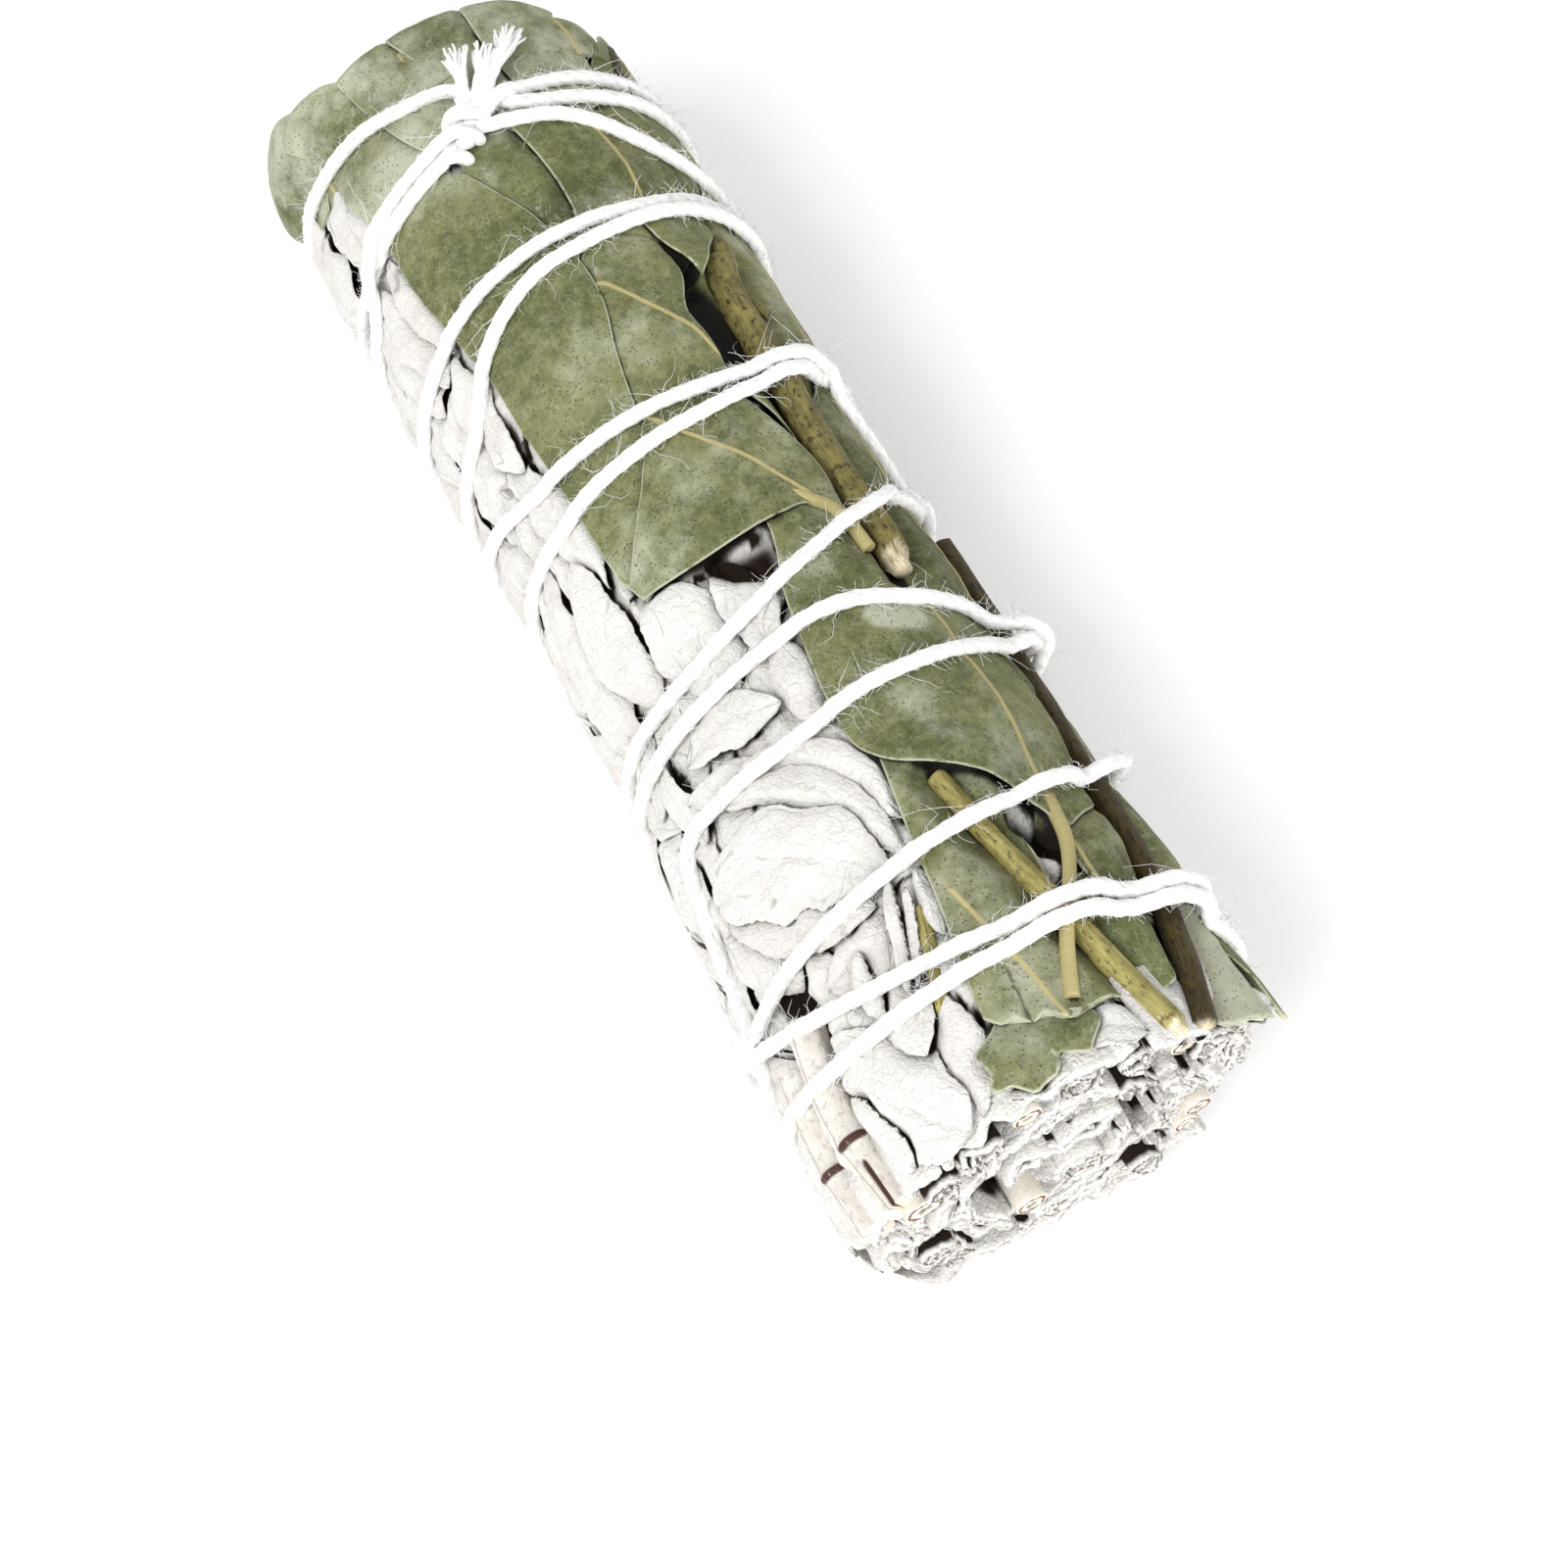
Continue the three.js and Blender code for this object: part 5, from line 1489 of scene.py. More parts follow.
    def shell(self, over: Array, shade: Array) -> Shell:
        """The leaf's body under a load.

        Args:
            over: The load on it, on the net.
            shade: 1 where something hides it, on the net.
        Returns:
            The body, with the numbers that its finish reads.
        """
        length = float(self.strip(np.array([0.0]), 30)[2][-1, 0])
        count = int(np.clip(length / self.spacing, *self.row_counts))
        inner_count = int(np.clip(2.0 * self.half / self.spacing, *self.top_counts))
        across, side = two_faces(top_shares(self.rim, self.inner, inner_count), self.under_count)
        x, turn, along = self.strip(across, count)
        # cover: 1 where the leaf is hidden; it sinks the leaf and its finish paints shade there.
        cover = NET.at(shade, x, turn)
        share = np.linspace(-1.0, 1.0, count)[:, None]
        wall = self.thickness / 2.0 * rounded(across, self.edge_power) * (1.0 - share**self.end_power)
        depth = self.depth(x, turn, across) - NET.at(over, x, turn) - self.sunk * cover + side * wall
        rim = ramp(np.abs(across), 1.0 - self.rim_width / self.half, 1.0) * self.edge
        place = np.stack(np.broadcast_arrays(along, across * self.half, rim), -1)
        return Shell(BUNDLE.point(x, turn, depth), cover=cover, leaf_place=place).keep(tint=self.tint)


SHOWN_SAGE = (
    SageLeaf(((43.6, -35), (46, -38.5), (49.5, -38)), 1.1, edge=0.2, puff=0.4),
    SageLeaf(((39.4, -20.4), (44, -24.6), (48.8, -30)), 0.62, 5.0, 1.0, puff=0.2, sharpness=0.5),
    SageLeaf(((41.4, -17.6), (45, -21.8), (48.8, -28)), 0.55, 5.0, 1.0, puff=0.2, sharpness=0.5),
    SageLeaf(((31.4, -69), (32.4, -48), (35, -32), (39.6, -18.6)), 4.7, edge=1.0, puff=0.45),
    SageLeaf(((25.3, -50), (27.2, -33), (30.4, -22.6), (35, -16.6), (39, -13.4)), 1.9, edge=0.1),
    SageLeaf(((31.8, -68), (36.8, -47), (41.4, -26)), 3.6, edge=0.3, tint=0.35, puff=0.45),
    SageLeaf(((24.4, -44), (26.4, -26), (30, -15.6), (36, -8.6)), 2.4, edge=0.1),
    SageLeaf(((33.6, -73), (38, -63), (42.5, -53)), 2.5, edge=0.3),
    SageLeaf(((40, -12.6), (43, -13.6), (46.4, -15.6)), 1.3, edge=0.5),
    SageLeaf(((40.4, -21), (44, -32), (44.6, -47)), 2.6, edge=0.4, tint=0.45),
    SageLeaf(((43.8, -40), (48.6, -34), (54, -33)), 2.6, edge=0.5, tint=0.2),
    SageLeaf(((51.6, -63), (55.6, -57), (60.4, -49.4)), 2.4, edge=1.0),
    SageLeaf(((47.6, -57), (54, -48), (61, -33)), 4.9, 3.0, 1.0, puff=0.3),
    SageLeaf(((39.4, -51), (46, -49), (54, -47)), 3.6, edge=0.5),
    SageLeaf(((38.4, -61), (46, -62), (53.6, -56)), 3.4, edge=0.6),
    SageLeaf(((48.6, -27.5), (54, -26.5), (60.6, -29)), 2.4, edge=0.7, tint=0.3),
    SageLeaf(((47, -71), (54, -73.5), (61.2, -70)), 2.6, edge=0.6, top=-0.9),
    SageLeaf(((45, -88), (53, -90), (61, -86)), 3.0, edge=0.5, tint=0.2),
    SageLeaf(((47.6, -40), (53, -36), (60, -28.6)), 2.8, edge=0.3),
    SageLeaf(((56, -6), (58.6, 3), (60.8, 13)), 2.3, edge=0.9),
    SageLeaf(((57.4, 12), (60, 24), (61, 36)), 2.2, edge=0.8),
    SageLeaf(((54.6, -24), (58.4, -17), (61, -8)), 2.4, edge=0.9, tint=0.3),
    SageLeaf(((57.6, 38), (60.2, 48), (61, 58)), 2.1, edge=0.6),
    SageLeaf(((20, -54), (19.6, -37), (21.4, -20)), 2.5, edge=0.25),
    SageLeaf(((15.6, -13), (20, -12.6), (25.4, -14)), 2.4, edge=0.1, tint=0.25),
    SageLeaf(((22.6, -60), (24.4, -41), (27.6, -21)), 1.8, edge=0.2),
    SageLeaf(((5.4, -16), (10, -13.6), (17, -16)), 2.6, edge=0.4),
    SageLeaf(((4.4, -37), (10, -33), (17.6, -30)), 4.2, edge=0.35, puff=0.4),
    SageLeaf(((-3.4, -54), (5, -56.6), (14, -51)), 3.1, edge=0.2),
    SageLeaf(((16.6, -66), (21, -63.6), (26.6, -60)), 1.8, edge=0.2),
    SageLeaf(((-6, -66), (4, -74.6), (14, -71), (21, -74)), 3.0, edge=0.2),
    SageLeaf(((23.6, -75), (32, -78.6), (41.6, -84)), 2.8, edge=0.2),
    SageLeaf(((-43, -55), (-36, -54), (-28.6, -50.6)), 1.5, edge=0.3, tint=0.4),
    SageLeaf(((-42, -65), (-34, -61.6), (-26.6, -58)), 2.3, edge=0.5),
    SageLeaf(((-29.6, -53), (-22, -55.4), (-13.6, -51)), 2.5, edge=0.3),
    SageLeaf(((-16.6, -56), (-8, -50.6), (1.6, -47)), 2.4, edge=0.4),
    SageLeaf(((-41.6, -74), (-34, -71), (-25.6, -67)), 2.5, edge=0.4),
    SageLeaf(((-15, -63), (-6, -62), (2.6, -59)), 2.7, edge=0.4),
    SageLeaf(((-29, -66), (-20, -65.6), (-10.6, -72)), 3.1, edge=0.4),
    SageLeaf(((-58, -67), (-51, -61), (-43, -57.6)), 3.0, edge=0.3),
    SageLeaf(((-13, -78), (-4, -75.6), (5, -80)), 3.4, edge=0.3),
    SageLeaf(((-59, -97), (-51, -86), (-41.6, -81)), 4.0, edge=0.3),
    SageLeaf(((-41, -85), (-31, -80), (-20, -80)), 3.6, edge=0.3),
)


@dataclass
class SageBunch:
    """The sage: leaves shown on the near flank, rows on the rest, and a crumpled skin under them."""

    shown: Sequence[SageLeaf] = SHOWN_SAGE
    shown_seed: int = 100
    row_seeds: tuple[int, int] = (1000, 9000)
    row_turns: Pair = (-92.0, -246.0)
    row_ends: Pair = (-57.0, 56.0)
    leaf_ends: Pair = (-61.6, 60.2)
    row_step: float = 14.0
    leaf_step: float = 14.0
    lengths: Pair = (17.0, 27.0)
    halves: Pair = (3.2, 5.4)
    roundness: Pair = (2.2, 3.2)
    edge: Pair = (0.0, 0.6)
    tint: Pair = (0.0, 0.35)
    heading: float = 24.0
    bend: float = 3.0
    shift: float = 4.0
    row_spacing: float = 1.0
    buried: float = 3.6
    skin_depth: float = -1.15
    skin_load: float = 2.6
    skin_step: float = 0.58
    skin_sides: int = 230
    skin_radius: float = 19.0
    shingle: float = 5.4
    shingle_drop: float = 0.5
    shingle_drift: Humps = Humps(0.85, 17.0, 31)
    shingle_stretch: Triple = (0.45, 1.0, 1.0)
    cross_pitch: float = 15.0
    cross_drop: float = 0.35
    cross_drift: Humps = Humps(0.9, 15.0, 32)
    crumples: tuple[Humps, Humps] = (Humps(0.16, 5.0, 33), Humps(0.07, 2.1, 34))
    skin_tint: float = 0.12
    skin_tints: Humps = Humps(0.1, 12.0, 35)
    skin_inset: float = 0.3
    drops_from: Pair = (0.93, 0.96)
    gap_rise: Pair = (0.9, 0.97)
    gap_fall: Pair = (1.01, 0.98)
    gap_cross: Pair = (0.94, 0.98)
    # how dark the painted shade is in the drops and under the pile.
    painted_gap_shade: float = 0.9
    painted_pile_shade: float = 0.8

    def leaves(self) -> list[SageLeaf]:
        """All leaves from the highest to the lowest, with seeded draws for those in rows.

        Returns:
            The leaves.
        """
        draw = np.random.default_rng(SEED)
        made = [replace(leaf, seed=self.shown_seed + n) for n, leaf in enumerate(self.shown)]
        rows = []
        first, last = self.row_ends
        for row, turn in enumerate(np.arange(*self.row_turns, -self.row_step)):
            for x in np.arange(first + (row % 2) * self.leaf_step / 2, last, self.leaf_step):
                rows.append(self.drawn_leaf(draw, x, turn))
        draw.shuffle(rows)
        return [*made, *rows]

    def drawn_leaf(self, draw: np.random.Generator, x: float, turn: float) -> SageLeaf:
        """A leaf of drawn size and heading about a place.

        Args:
            draw: The source of random numbers.
            x: Millimetres along the stick.
            turn: Degrees round it.
        Returns:
            The leaf.
        """
        length, heading = draw.uniform(*self.lengths), math.radians(draw.normal(0.0, self.heading))
        bend = draw.uniform(-self.bend, self.bend)
        turn += draw.uniform(-self.shift, self.shift)
        scale = float(BUNDLE.per_degree(x))
        start, stop = ((float(np.clip(x + s * length * math.cos(heading) / 2, *self.leaf_ends)),
                        turn + s * length * math.sin(heading) / 2 / scale) for s in (-1, 1))
        middle = ((start[0] + stop[0]) / 2, (start[1] + stop[1]) / 2 + bend)
        return SageLeaf((start, middle, stop), draw.uniform(*self.halves), draw.uniform(*self.roundness),
                        draw.uniform(*self.edge), float(draw.uniform(*self.tint)),
                        spacing=self.row_spacing, seed=int(draw.integers(*self.row_seeds)))

    def build(self, felt: Material) -> None:
        """Settles the leaves on the pile and makes their pieces, by the part of the stick, and the skin.

        Args:
            felt: The sage's material.
        """
        groups: dict[str, list[Shell]] = {"sage_near": [], "sage_far": [], "sage_back": []}
        for leaf in self.leaves():
            over, shade = PILE.settle(leaf.outline(), leaf.step)
            x, turn = leaf.midline[len(leaf.midline) // 2]
            if NET.at(over, np.array(x), np.array(turn)) > self.buried * leaf.step:
                continue
            shown = "sage_near" if x > 0 else "sage_far"
            group = "sage_back" if leaf.seed >= self.row_seeds[0] else shown
            groups[group].append(leaf.shell(over, shade))
        for name, shells in groups.items():
            make_piece(name, shells, felt, ["sage_bunch"])
        make_piece("sage_skin", [self.skin()], felt, ["sage_bunch"])

    def skin(self) -> Shell:
        """The inner leaves as one crumpled skin: shingled sheets that rise slowly and drop at wavy edges.

        Returns:
            The skin. Its cover paints shade at the drops and under the pile.
        """
        inner = np.arange(CORE_ENDS[0] + self.skin_inset, CORE_ENDS[1] - self.skin_inset,
                          self.skin_step)
        turns = np.linspace(180.0, -180.0, self.skin_sides, endpoint=False)
        x, turn = np.meshgrid([CORE_ENDS[0], *inner, CORE_ENDS[1]], turns, indexing="ij")
        angle = np.radians(turn)
        flat = np.stack([x, self.skin_radius * np.sin(angle), self.skin_radius * np.cos(angle)], -1)
        count = round(FULL_TURN * self.skin_radius / self.shingle)
        share = (count * turn / 360.0 + self.shingle_drift.at(flat * self.shingle_stretch)) % 1.0
        cross = (x / self.cross_pitch + self.cross_drift.at(flat)) % 1.0
        shingle_from, cross_from = self.drops_from
        drop = self.shingle_drop * (share - ramp(share, shingle_from, 1.0))
        drop = drop + self.cross_drop * (cross - ramp(cross, cross_from, 1.0))
        load = np.minimum(NET.at(PILE.load, x, turn), self.skin_load)
        depth = self.skin_depth - load + drop + sum(crumple.at(flat) for crumple in self.crumples)
        # gap: painted shade at the shingles' drops.
        gap = ramp(share, *self.gap_rise) * ramp(share, *self.gap_fall)
        gap = np.maximum(gap, ramp(cross, *self.gap_cross))
        # cover: painted shade under the pile and in the drops' gaps.
        cover = np.maximum(self.painted_pile_shade * NET.at(PILE.shade, x, turn), self.painted_gap_shade * gap)
        tint = self.skin_tint + self.skin_tints.at(flat)
        place = np.stack([x, share * self.shingle, 0.0 * x], -1)
        return Shell(BUNDLE.point(x, turn, depth), cover=cover, tint=tint, leaf_place=place)


@dataclass
class Stem:
    """A twig or stem laid along the stick, with a lumpy bark and cut or torn ends.

    Joints are millimetres along it, and splits are (start, stop, angle round it).
    """

    name: str
    node: str
    places: Places
    diameter: float
    depths: Sequence[float]
    slot: Slot
    thicken: float = 0.0
    flutes: int = 5
    lumps: float = 0.05
    torn: float = 0.0
    joints: Sequence[float] = ()
    splits: Sequence[Triple] = ()
    scar_side: float = -0.9
    sides: int = 20
    seed: int = 0
    count: int = 140
    lump_size: float = 3.0
    skin_stretch: Pair = (0.45, 2.2)
    flute: Pair = (0.03, 0.2)
    joint_lean: float = 0.45
    joint_width: float = 0.6
    joint_swell: float = 0.2
    split_twist: float = 0.06
    split_width: float = 0.17
    split_depth: float = 0.28
    scar_peak: float = 0.3
    scar_narrowness: float = 1.8
    scar_reach: Pair = (0.45, 0.9)
    torn_shares: Pair = (0.75, 0.5)
    torn_size: float = 2.0
    thinned: float = 0.4
    thinned_reach: Pair = (-0.6, 0.5)
    bare_reach: Pair = (-0.3, 0.15)
    splinter_room: Pair = (2.2, 38.0)
    splinter_reach: Pair = (0.3, 0.82)
    splinter_shift: float = 0.2
    splinter_short: int = 12
    splinter_flare: float = 0.35
    splinter_width: Pair = (0.2, 0.42)
    splinter_taper: float = 0.75
    splinter_count: int = 16
    splinter_sides: tuple[float, ...] = (1.0, 0.55, 0.35, 0.55, 1.0, 0.6)

    @property
    def radius(self) -> float:
        """Half its diameter."""
        return self.diameter / 2.0

    def press(self, surface: float) -> None:
        """Pushes the sheets still to come down under the stem, from where they would lie."""
        PILE.press(self.places, self.depths, self.radius, surface)

    def path(self) -> Array:
        """Points of the stem's axis in mm."""
        depths = np.resize(np.array(self.depths, float), len(self.places))
        flat = (1.0, ARC, 1.0)
        rows = np.column_stack([np.array(self.places, float), depths]) * flat
        return BUNDLE.point(*(along_path(rows, self.count) / flat).T)

    def shells(self) -> list[Shell]:
        """The bark, and splinters of bare wood where an end is torn.

        Returns:
            The bodies. Bare is 1 on raw wood, and scar at joints and splits.
        """
        path = self.path()
        share = np.linspace(0.0, 1.0, len(path))[:, None]
        angle = np.linspace(0.0, FULL_TURN, self.sides, endpoint=False)[None]
        walked = share * float(length_along(path)[-1])
        along, round_it = self.skin_stretch
        around = round_it * np.cos(angle), round_it * np.sin(angle)
        skin = np.stack(np.broadcast_arrays(walked * along, *around), -1)
        flute, twist = self.flute
        lumps = self.lumps * waves(skin, self.lump_size, self.seed)
        flutes = flute * np.cos(self.flutes * angle + twist * walked)
        radius = self.radius * (1.0 + self.thicken * (share - 0.5) + lumps + flutes)
        bare, scar = np.zeros_like(radius), np.zeros_like(radius)
        for joint in self.joints:
            shown = np.cos(angle - self.scar_side)
            away = (walked - joint + self.joint_lean * shown) / self.joint_width
            radius = radius * (1.0 + self.joint_swell * bell(away, 1.0))
            ridge = np.exp(-((away - self.scar_peak) ** 2) * self.scar_narrowness)
            scar = np.maximum(scar, ridge * ramp(shown, *self.scar_reach))
        for start, stop, side in self.splits:
            aside = (angle - side - self.split_twist * (walked - start) + math.pi) % FULL_TURN - math.pi
            split = bell(aside, self.split_width) * ramp(walked, start, start + 1.0)
            split = split * ramp(walked, stop, stop - 1.0)
            radius, scar = radius * (1.0 - self.split_depth * split), np.maximum(scar, split)
        if self.torn:
            least, more = self.torn_shares
            uneven = least + more * waves(skin[-1:], self.torn_size, self.seed + 1)
            ragged = walked[-1] - self.torn * uneven
            thin = ramp(walked, *(ragged + reach for reach in self.thinned_reach))
            radius = radius * (1.0 - self.thinned * thin)
            bare = ramp(walked + 0.0 * angle, *(ragged + reach for reach in self.bare_reach))
        closing, opening = (np.sqrt(np.clip(1.0 - np.clip((s - 0.994) / 0.006, 0.0, 1.0) ** 2, 0.02, 1.0))
                            for s in (share, 1.0 - share))
        ends = np.maximum(1.0 - ramp(share, 0.0, 0.008), ramp(share, 0.992, 1.0)) + 0.0 * angle
        bark = tube(path, radius * closing * opening, self.sides, bare=np.maximum(bare, ends), scar=scar)
        return [bark, *(self.splinters(path) if self.torn else ())]

    def splinters(self, path: Array) -> list[Shell]:
        """Long thin wedges of wood that run out of the torn end.

        Args:
            path: Points of the stem's axis.
        Returns:
            The wedges.
        """
        draw = np.random.default_rng(self.seed + 7)
        first, second = frames(path, BUNDLE.outward(path))
        made = []
        room, length = self.splinter_room
        start = len(path) - int(len(path) * (self.torn + room) / length)
        for angle in np.linspace(0.0, FULL_TURN, self.splinter_count, endpoint=False):
            reach = self.radius * draw.uniform(*self.splinter_reach)
            angle += draw.uniform(-self.splinter_shift, self.splinter_shift)
            stop = len(path) - int(draw.uniform(0, self.splinter_short))
            base = path[start:stop]
            out = first[start:stop] * math.cos(angle) + second[start:stop] * math.sin(angle)
            t = np.linspace(0.0, 1.0, len(base))[:, None]
            wedge = base + out * (reach * (1.0 + self.splinter_flare * t**2 * draw.uniform(-1.0, 1.0)))
            width = draw.uniform(*self.splinter_width) * (1.0 - self.splinter_taper * t**2)
            ring = tube(wedge, width * self.splinter_sides, len(self.splinter_sides), out)
            made.append(ring.keep(bare=1.0, scar=0.0))
        return made

    def build(self, finish: Material, extra: Sequence[Shell] = ()) -> None:
        """Makes the stem's piece.

        Args:
            finish: Its material.
            extra: More bodies to put into it.
        """
        make_piece(self.name, [*self.shells(), *extra], finish, [self.node])


STEMS = (
    Stem("twig_thick", "eucalyptus_twig_thick", ((-25.5, 41), (-23, 37.5), (-20, 36), (-10, 35.5),
        (0, 36), (8, 37), (13.2, 36)), 3.0, (-0.8,), Slot.THICK_TWIG, torn=3.4, seed=1),
    Stem("twig_brown", "eucalyptus_twig_brown", ((6.8, 73), (13, 71), (19, 69), (24, 66), (30, 60),
        (37, 53), (45, 47.5), (50, 43.5), (54, 38.5), (58, 34), (62, 28.5)), 2.0, (0.5, 0.4, 0.1, -0.4,
        -0.7, -0.8, -0.8, -0.8, -0.8, -0.8, -0.8), Slot.BROWN_TWIG, lumps=0.09, seed=2),
    Stem("stem_yellow", "eucalyptus_stem_yellow", ((33.6, 4), (38, 6), (45, 10), (50, 13.3),
        (56, 17), (62, 22)), 2.0, (-1.1,), Slot.YELLOW_STEM, thicken=0.3, lumps=0.06, torn=1.4, seed=3),
    Stem("stem_thin", "eucalyptus_stem_thin", ((43.4, -17), (45.6, -19), (48.6, -22), (51.6, -25)),
        1.2, (-0.9,), Slot.YELLOW_STEM, lumps=0.08, seed=4),
)
BARKS = {
    Slot.THICK_TWIG: StemFinish("speckled_twig", (0.25, 0.22, 0.07), (0.08, 0.064, 0.02),
                                (0.025, 0.016, 0.008)),
    Slot.BROWN_TWIG: StemFinish("brown_twig", (0.075, 0.055, 0.015), (0.024, 0.016, 0.005),
                                (0.01, 0.006, 0.003)),
    Slot.YELLOW_STEM: StemFinish("yellow_stem", (0.42, 0.375, 0.13), (0.2, 0.165, 0.05),
                                 (0.08, 0.055, 0.02), speck_share=0.7),
    Slot.SAGE: StemFinish("sage_stem", (0.72, 0.7, 0.65), (0.56, 0.52, 0.46), (0.16, 0.09, 0.05),
                          speck_share=0.28),
}


@dataclass(frozen=True)
class Bud:
    """A small pointed bud that leans along a heading: its radius is size sin(pi s^0.7) at share s."""

    x: float
    turn: float
    depth: float
    length: float
    size: float
    heading: float
    rise: float = 0.5
    count: int = 18
    sides: int = 12

    def shell(self) -> Shell:
        """The bud's body."""
        along = np.linspace(0.0, 1.0, self.count)
        angle = math.radians(self.heading)
        xs = self.x + self.length * along * math.cos(angle)
        turns = self.turn + self.length * along * math.sin(angle) / ARC
        radius = self.size * np.sin(math.pi * np.clip(along, 0.02, 0.985) ** 0.7)
        path = BUNDLE.point(xs, turns, self.depth + self.rise * along)
        return tube(path, radius, self.sides).keep(bare=0.0, scar=0.0)


BUDS = (Bud(-25.6, 42.5, -0.6, 3.2, 0.9, 175.0), Bud(-20.4, 40.8, -0.3, 3.6, 0.6, 10.0))


@dataclass(frozen=True)
class KnotLoop:
    """One loop of the knot: a helix between two places that tightens at its ends."""

    start: Pair
    stop: Pair
    loops: float
    radius: float
    phase: float
    count: int = 150
    depth: float = 0.75
    rise: float = 0.85

    def path(self) -> Array:
        """The loop's middle line.

        Returns:
            Its points in mm.
        """
        (x0, turn0), (x1, turn1) = self.start, self.stop
        scale = float(BUNDLE.per_degree(-46.0))
        t = np.linspace(0.0, 1.0, self.count)
        angle = FULL_TURN * self.loops * t + self.phase
        swell = self.radius * (0.55 + 0.45 * np.sin(math.pi * t))
        heading = np.array([x1 - x0, (turn1 - turn0) * scale])
        side = np.array([-heading[1], heading[0]]) / np.linalg.norm(heading)
        x = x0 + (x1 - x0) * t + side[0] * swell * np.cos(angle)
        turn = turn0 + (turn1 - turn0) * t + side[1] * swell * np.cos(angle) / scale
        return BUNDLE.point(x, turn, self.depth + self.rise * swell * np.sin(angle))


@dataclass(frozen=True)
class Fuzz:
    """Loose fibres of one kind: their piece, number, scale of length, points each, and seed."""

    name: str
    count: int
    length: float
    steps: int
    seed: int


@dataclass
class CottonString:
    """The cotton string: three soft plies along the route, with a knot, tails and loose fibres."""

    diameter: float = 1.4
    on_leaf: float = 0.3
    on_sage: float = -0.08
    lift_reach: Pair = (1.0, 4.6)
    crossing: float = 0.86
    crossing_reach: Pair = (0.55, 1.9)
    crossing_gap: float = 40.0
    crossing_blur: int = 9
    table_room: float = 0.1
    ply_pitch: float = 5.2
    ply_depth: float = 0.055
    packed: float = 0.97
    soft: Humps = Humps(0.05, 4.0, 5)
    sides: int = 12
    knot_scale: float = 0.86
    knot: Sequence[KnotLoop] = (
        KnotLoop((-43.2, -21), (-48.6, -5.5), 3.2, 1.55, 0.0),
        KnotLoop((-44.6, -17), (-50.2, -7.5), 1.6, 1.25, 2.1),
    )
    tails: Sequence[Places] = (
        ((-46.6, -8), (-49.4, -4), (-51.6, 0), (-54.2, 4)),
        ((-46.6, -10), (-49.6, -8), (-52, -6), (-55, -4)),
        ((-46.8, -6), (-50, 0), (-52.8, 7), (-56.2, 14)),
    )
    tail_count: int = 80
    tail_whole: int = 60
    tail_brush: int = 40
    tail_rise: Pair = (1.2, 0.5)
    tail_wave: Pair = (0.3, 3.0)
    tail_taper: Pair = (1.0, 0.8)
    wisp_count: int = 40
    wisp_spread: Pair = (0.1, 1.3)
    wisp_beat: Pair = (5.0, 9.0)
    wisp_curl: float = 0.2
    wisp_root: float = 0.35
    wisp_power: float = 1.3
    wisp_share: Pair = (0.75, 1.0)
    wisp_radius: Pair = (0.22, 0.1)
    wisp_sides: int = 6
    loose: Sequence[Fuzz] = (
        Fuzz("string_fibres", 5200, 0.95, 6, SEED + 2),
        Fuzz("string_fuzz", 5800, 0.42, 4, SEED + 6),
    )
    fibre_radius: float = 0.033
    fibre_tip: float = 0.45
    fibre_room: float = 0.14
    fibre_lengths: Pair = (0.4, 5.5)
    fibre_share: float = 0.3
    fibre_under: Pair = (-0.5, 0.3)
    fibre_shape: float = 2.2
    fibre_lean: Pair = (0.55, 0.8)
    fibre_walk: Triple = (0.6, 0.22, 0.09)
    fibre_beat: float = 7.0
    fibre_root: float = 0.44
    fibre_low: Triple = (-63.5, -21.5, 0.1)
    fibre_high: Triple = (63.5, 22.1, 41.3)
    path: Array = field(init=False)

    def lift(self, stems: Iterable[tuple[Places, float]]) -> Array:
        """How far out the string is held over stems.

        Args:
            stems: Each stem's places and the depth of its top.
        Returns:
            A lift for each of the route's samples.
        """
        lift = np.zeros(len(ROUTE.x))
        for places, top in stems:
            _, across = to_line(ROUTE.x, half_turn(ROUTE.turn), places)
            over = top + self.diameter / 2.0 - self.on_leaf
            lift = np.maximum(lift, over * (1.0 - ramp(np.abs(across), *self.lift_reach)))
        return lift

    def crossings(self) -> Array:
        """How far a later strand is lifted where it runs over an earlier one.

        Returns:
            A lift for each of the route's samples.
        """
        lift, turn = np.zeros(len(ROUTE.x)), half_turn(ROUTE.turn)
        gap_needed = int(self.crossing_gap / ROUTE.step)
        for n in range(gap_needed + 1, len(ROUTE.x), 2):
            early = slice(0, n - gap_needed)
            if np.abs(ROUTE.x[early] - ROUTE.x[n]).min() > 2.0:
                continue
            gap = apart(ROUTE.x[early], turn[early], ROUTE.x[n], turn[n]).min()
            lift[n:n + 2] = self.diameter * self.crossing * (1.0 - ramp(gap, *self.crossing_reach))
        kernel = np.hanning(self.crossing_blur)
        return np.convolve(lift, kernel / kernel.sum(), mode="same")

    def trace(self, leaf_cover: Array, stems: Iterable[tuple[Places, float]]) -> None:
        """Works out the string's centreline.

        Args:
            leaf_cover: 1 where stiff leaves lie, 0 on soft sage, on the net.
            stems: What it passes over.
        """
        on = NET.at(leaf_cover, ROUTE.x, ROUTE.turn)
        depth = self.on_sage + (self.on_leaf - self.on_sage) * on + self.lift(stems) + self.crossings()
        angle = np.radians(ROUTE.turn)
        clear = AXIS_HEIGHT - self.diameter / 2.0 - self.table_room
        reach = np.minimum(BUNDLE.radius(ROUTE.x) + depth, clear / np.maximum(-np.cos(angle), 1e-3))
        self.path = np.stack([ROUTE.x, reach * np.sin(angle), AXIS_HEIGHT + reach * np.cos(angle)], -1)

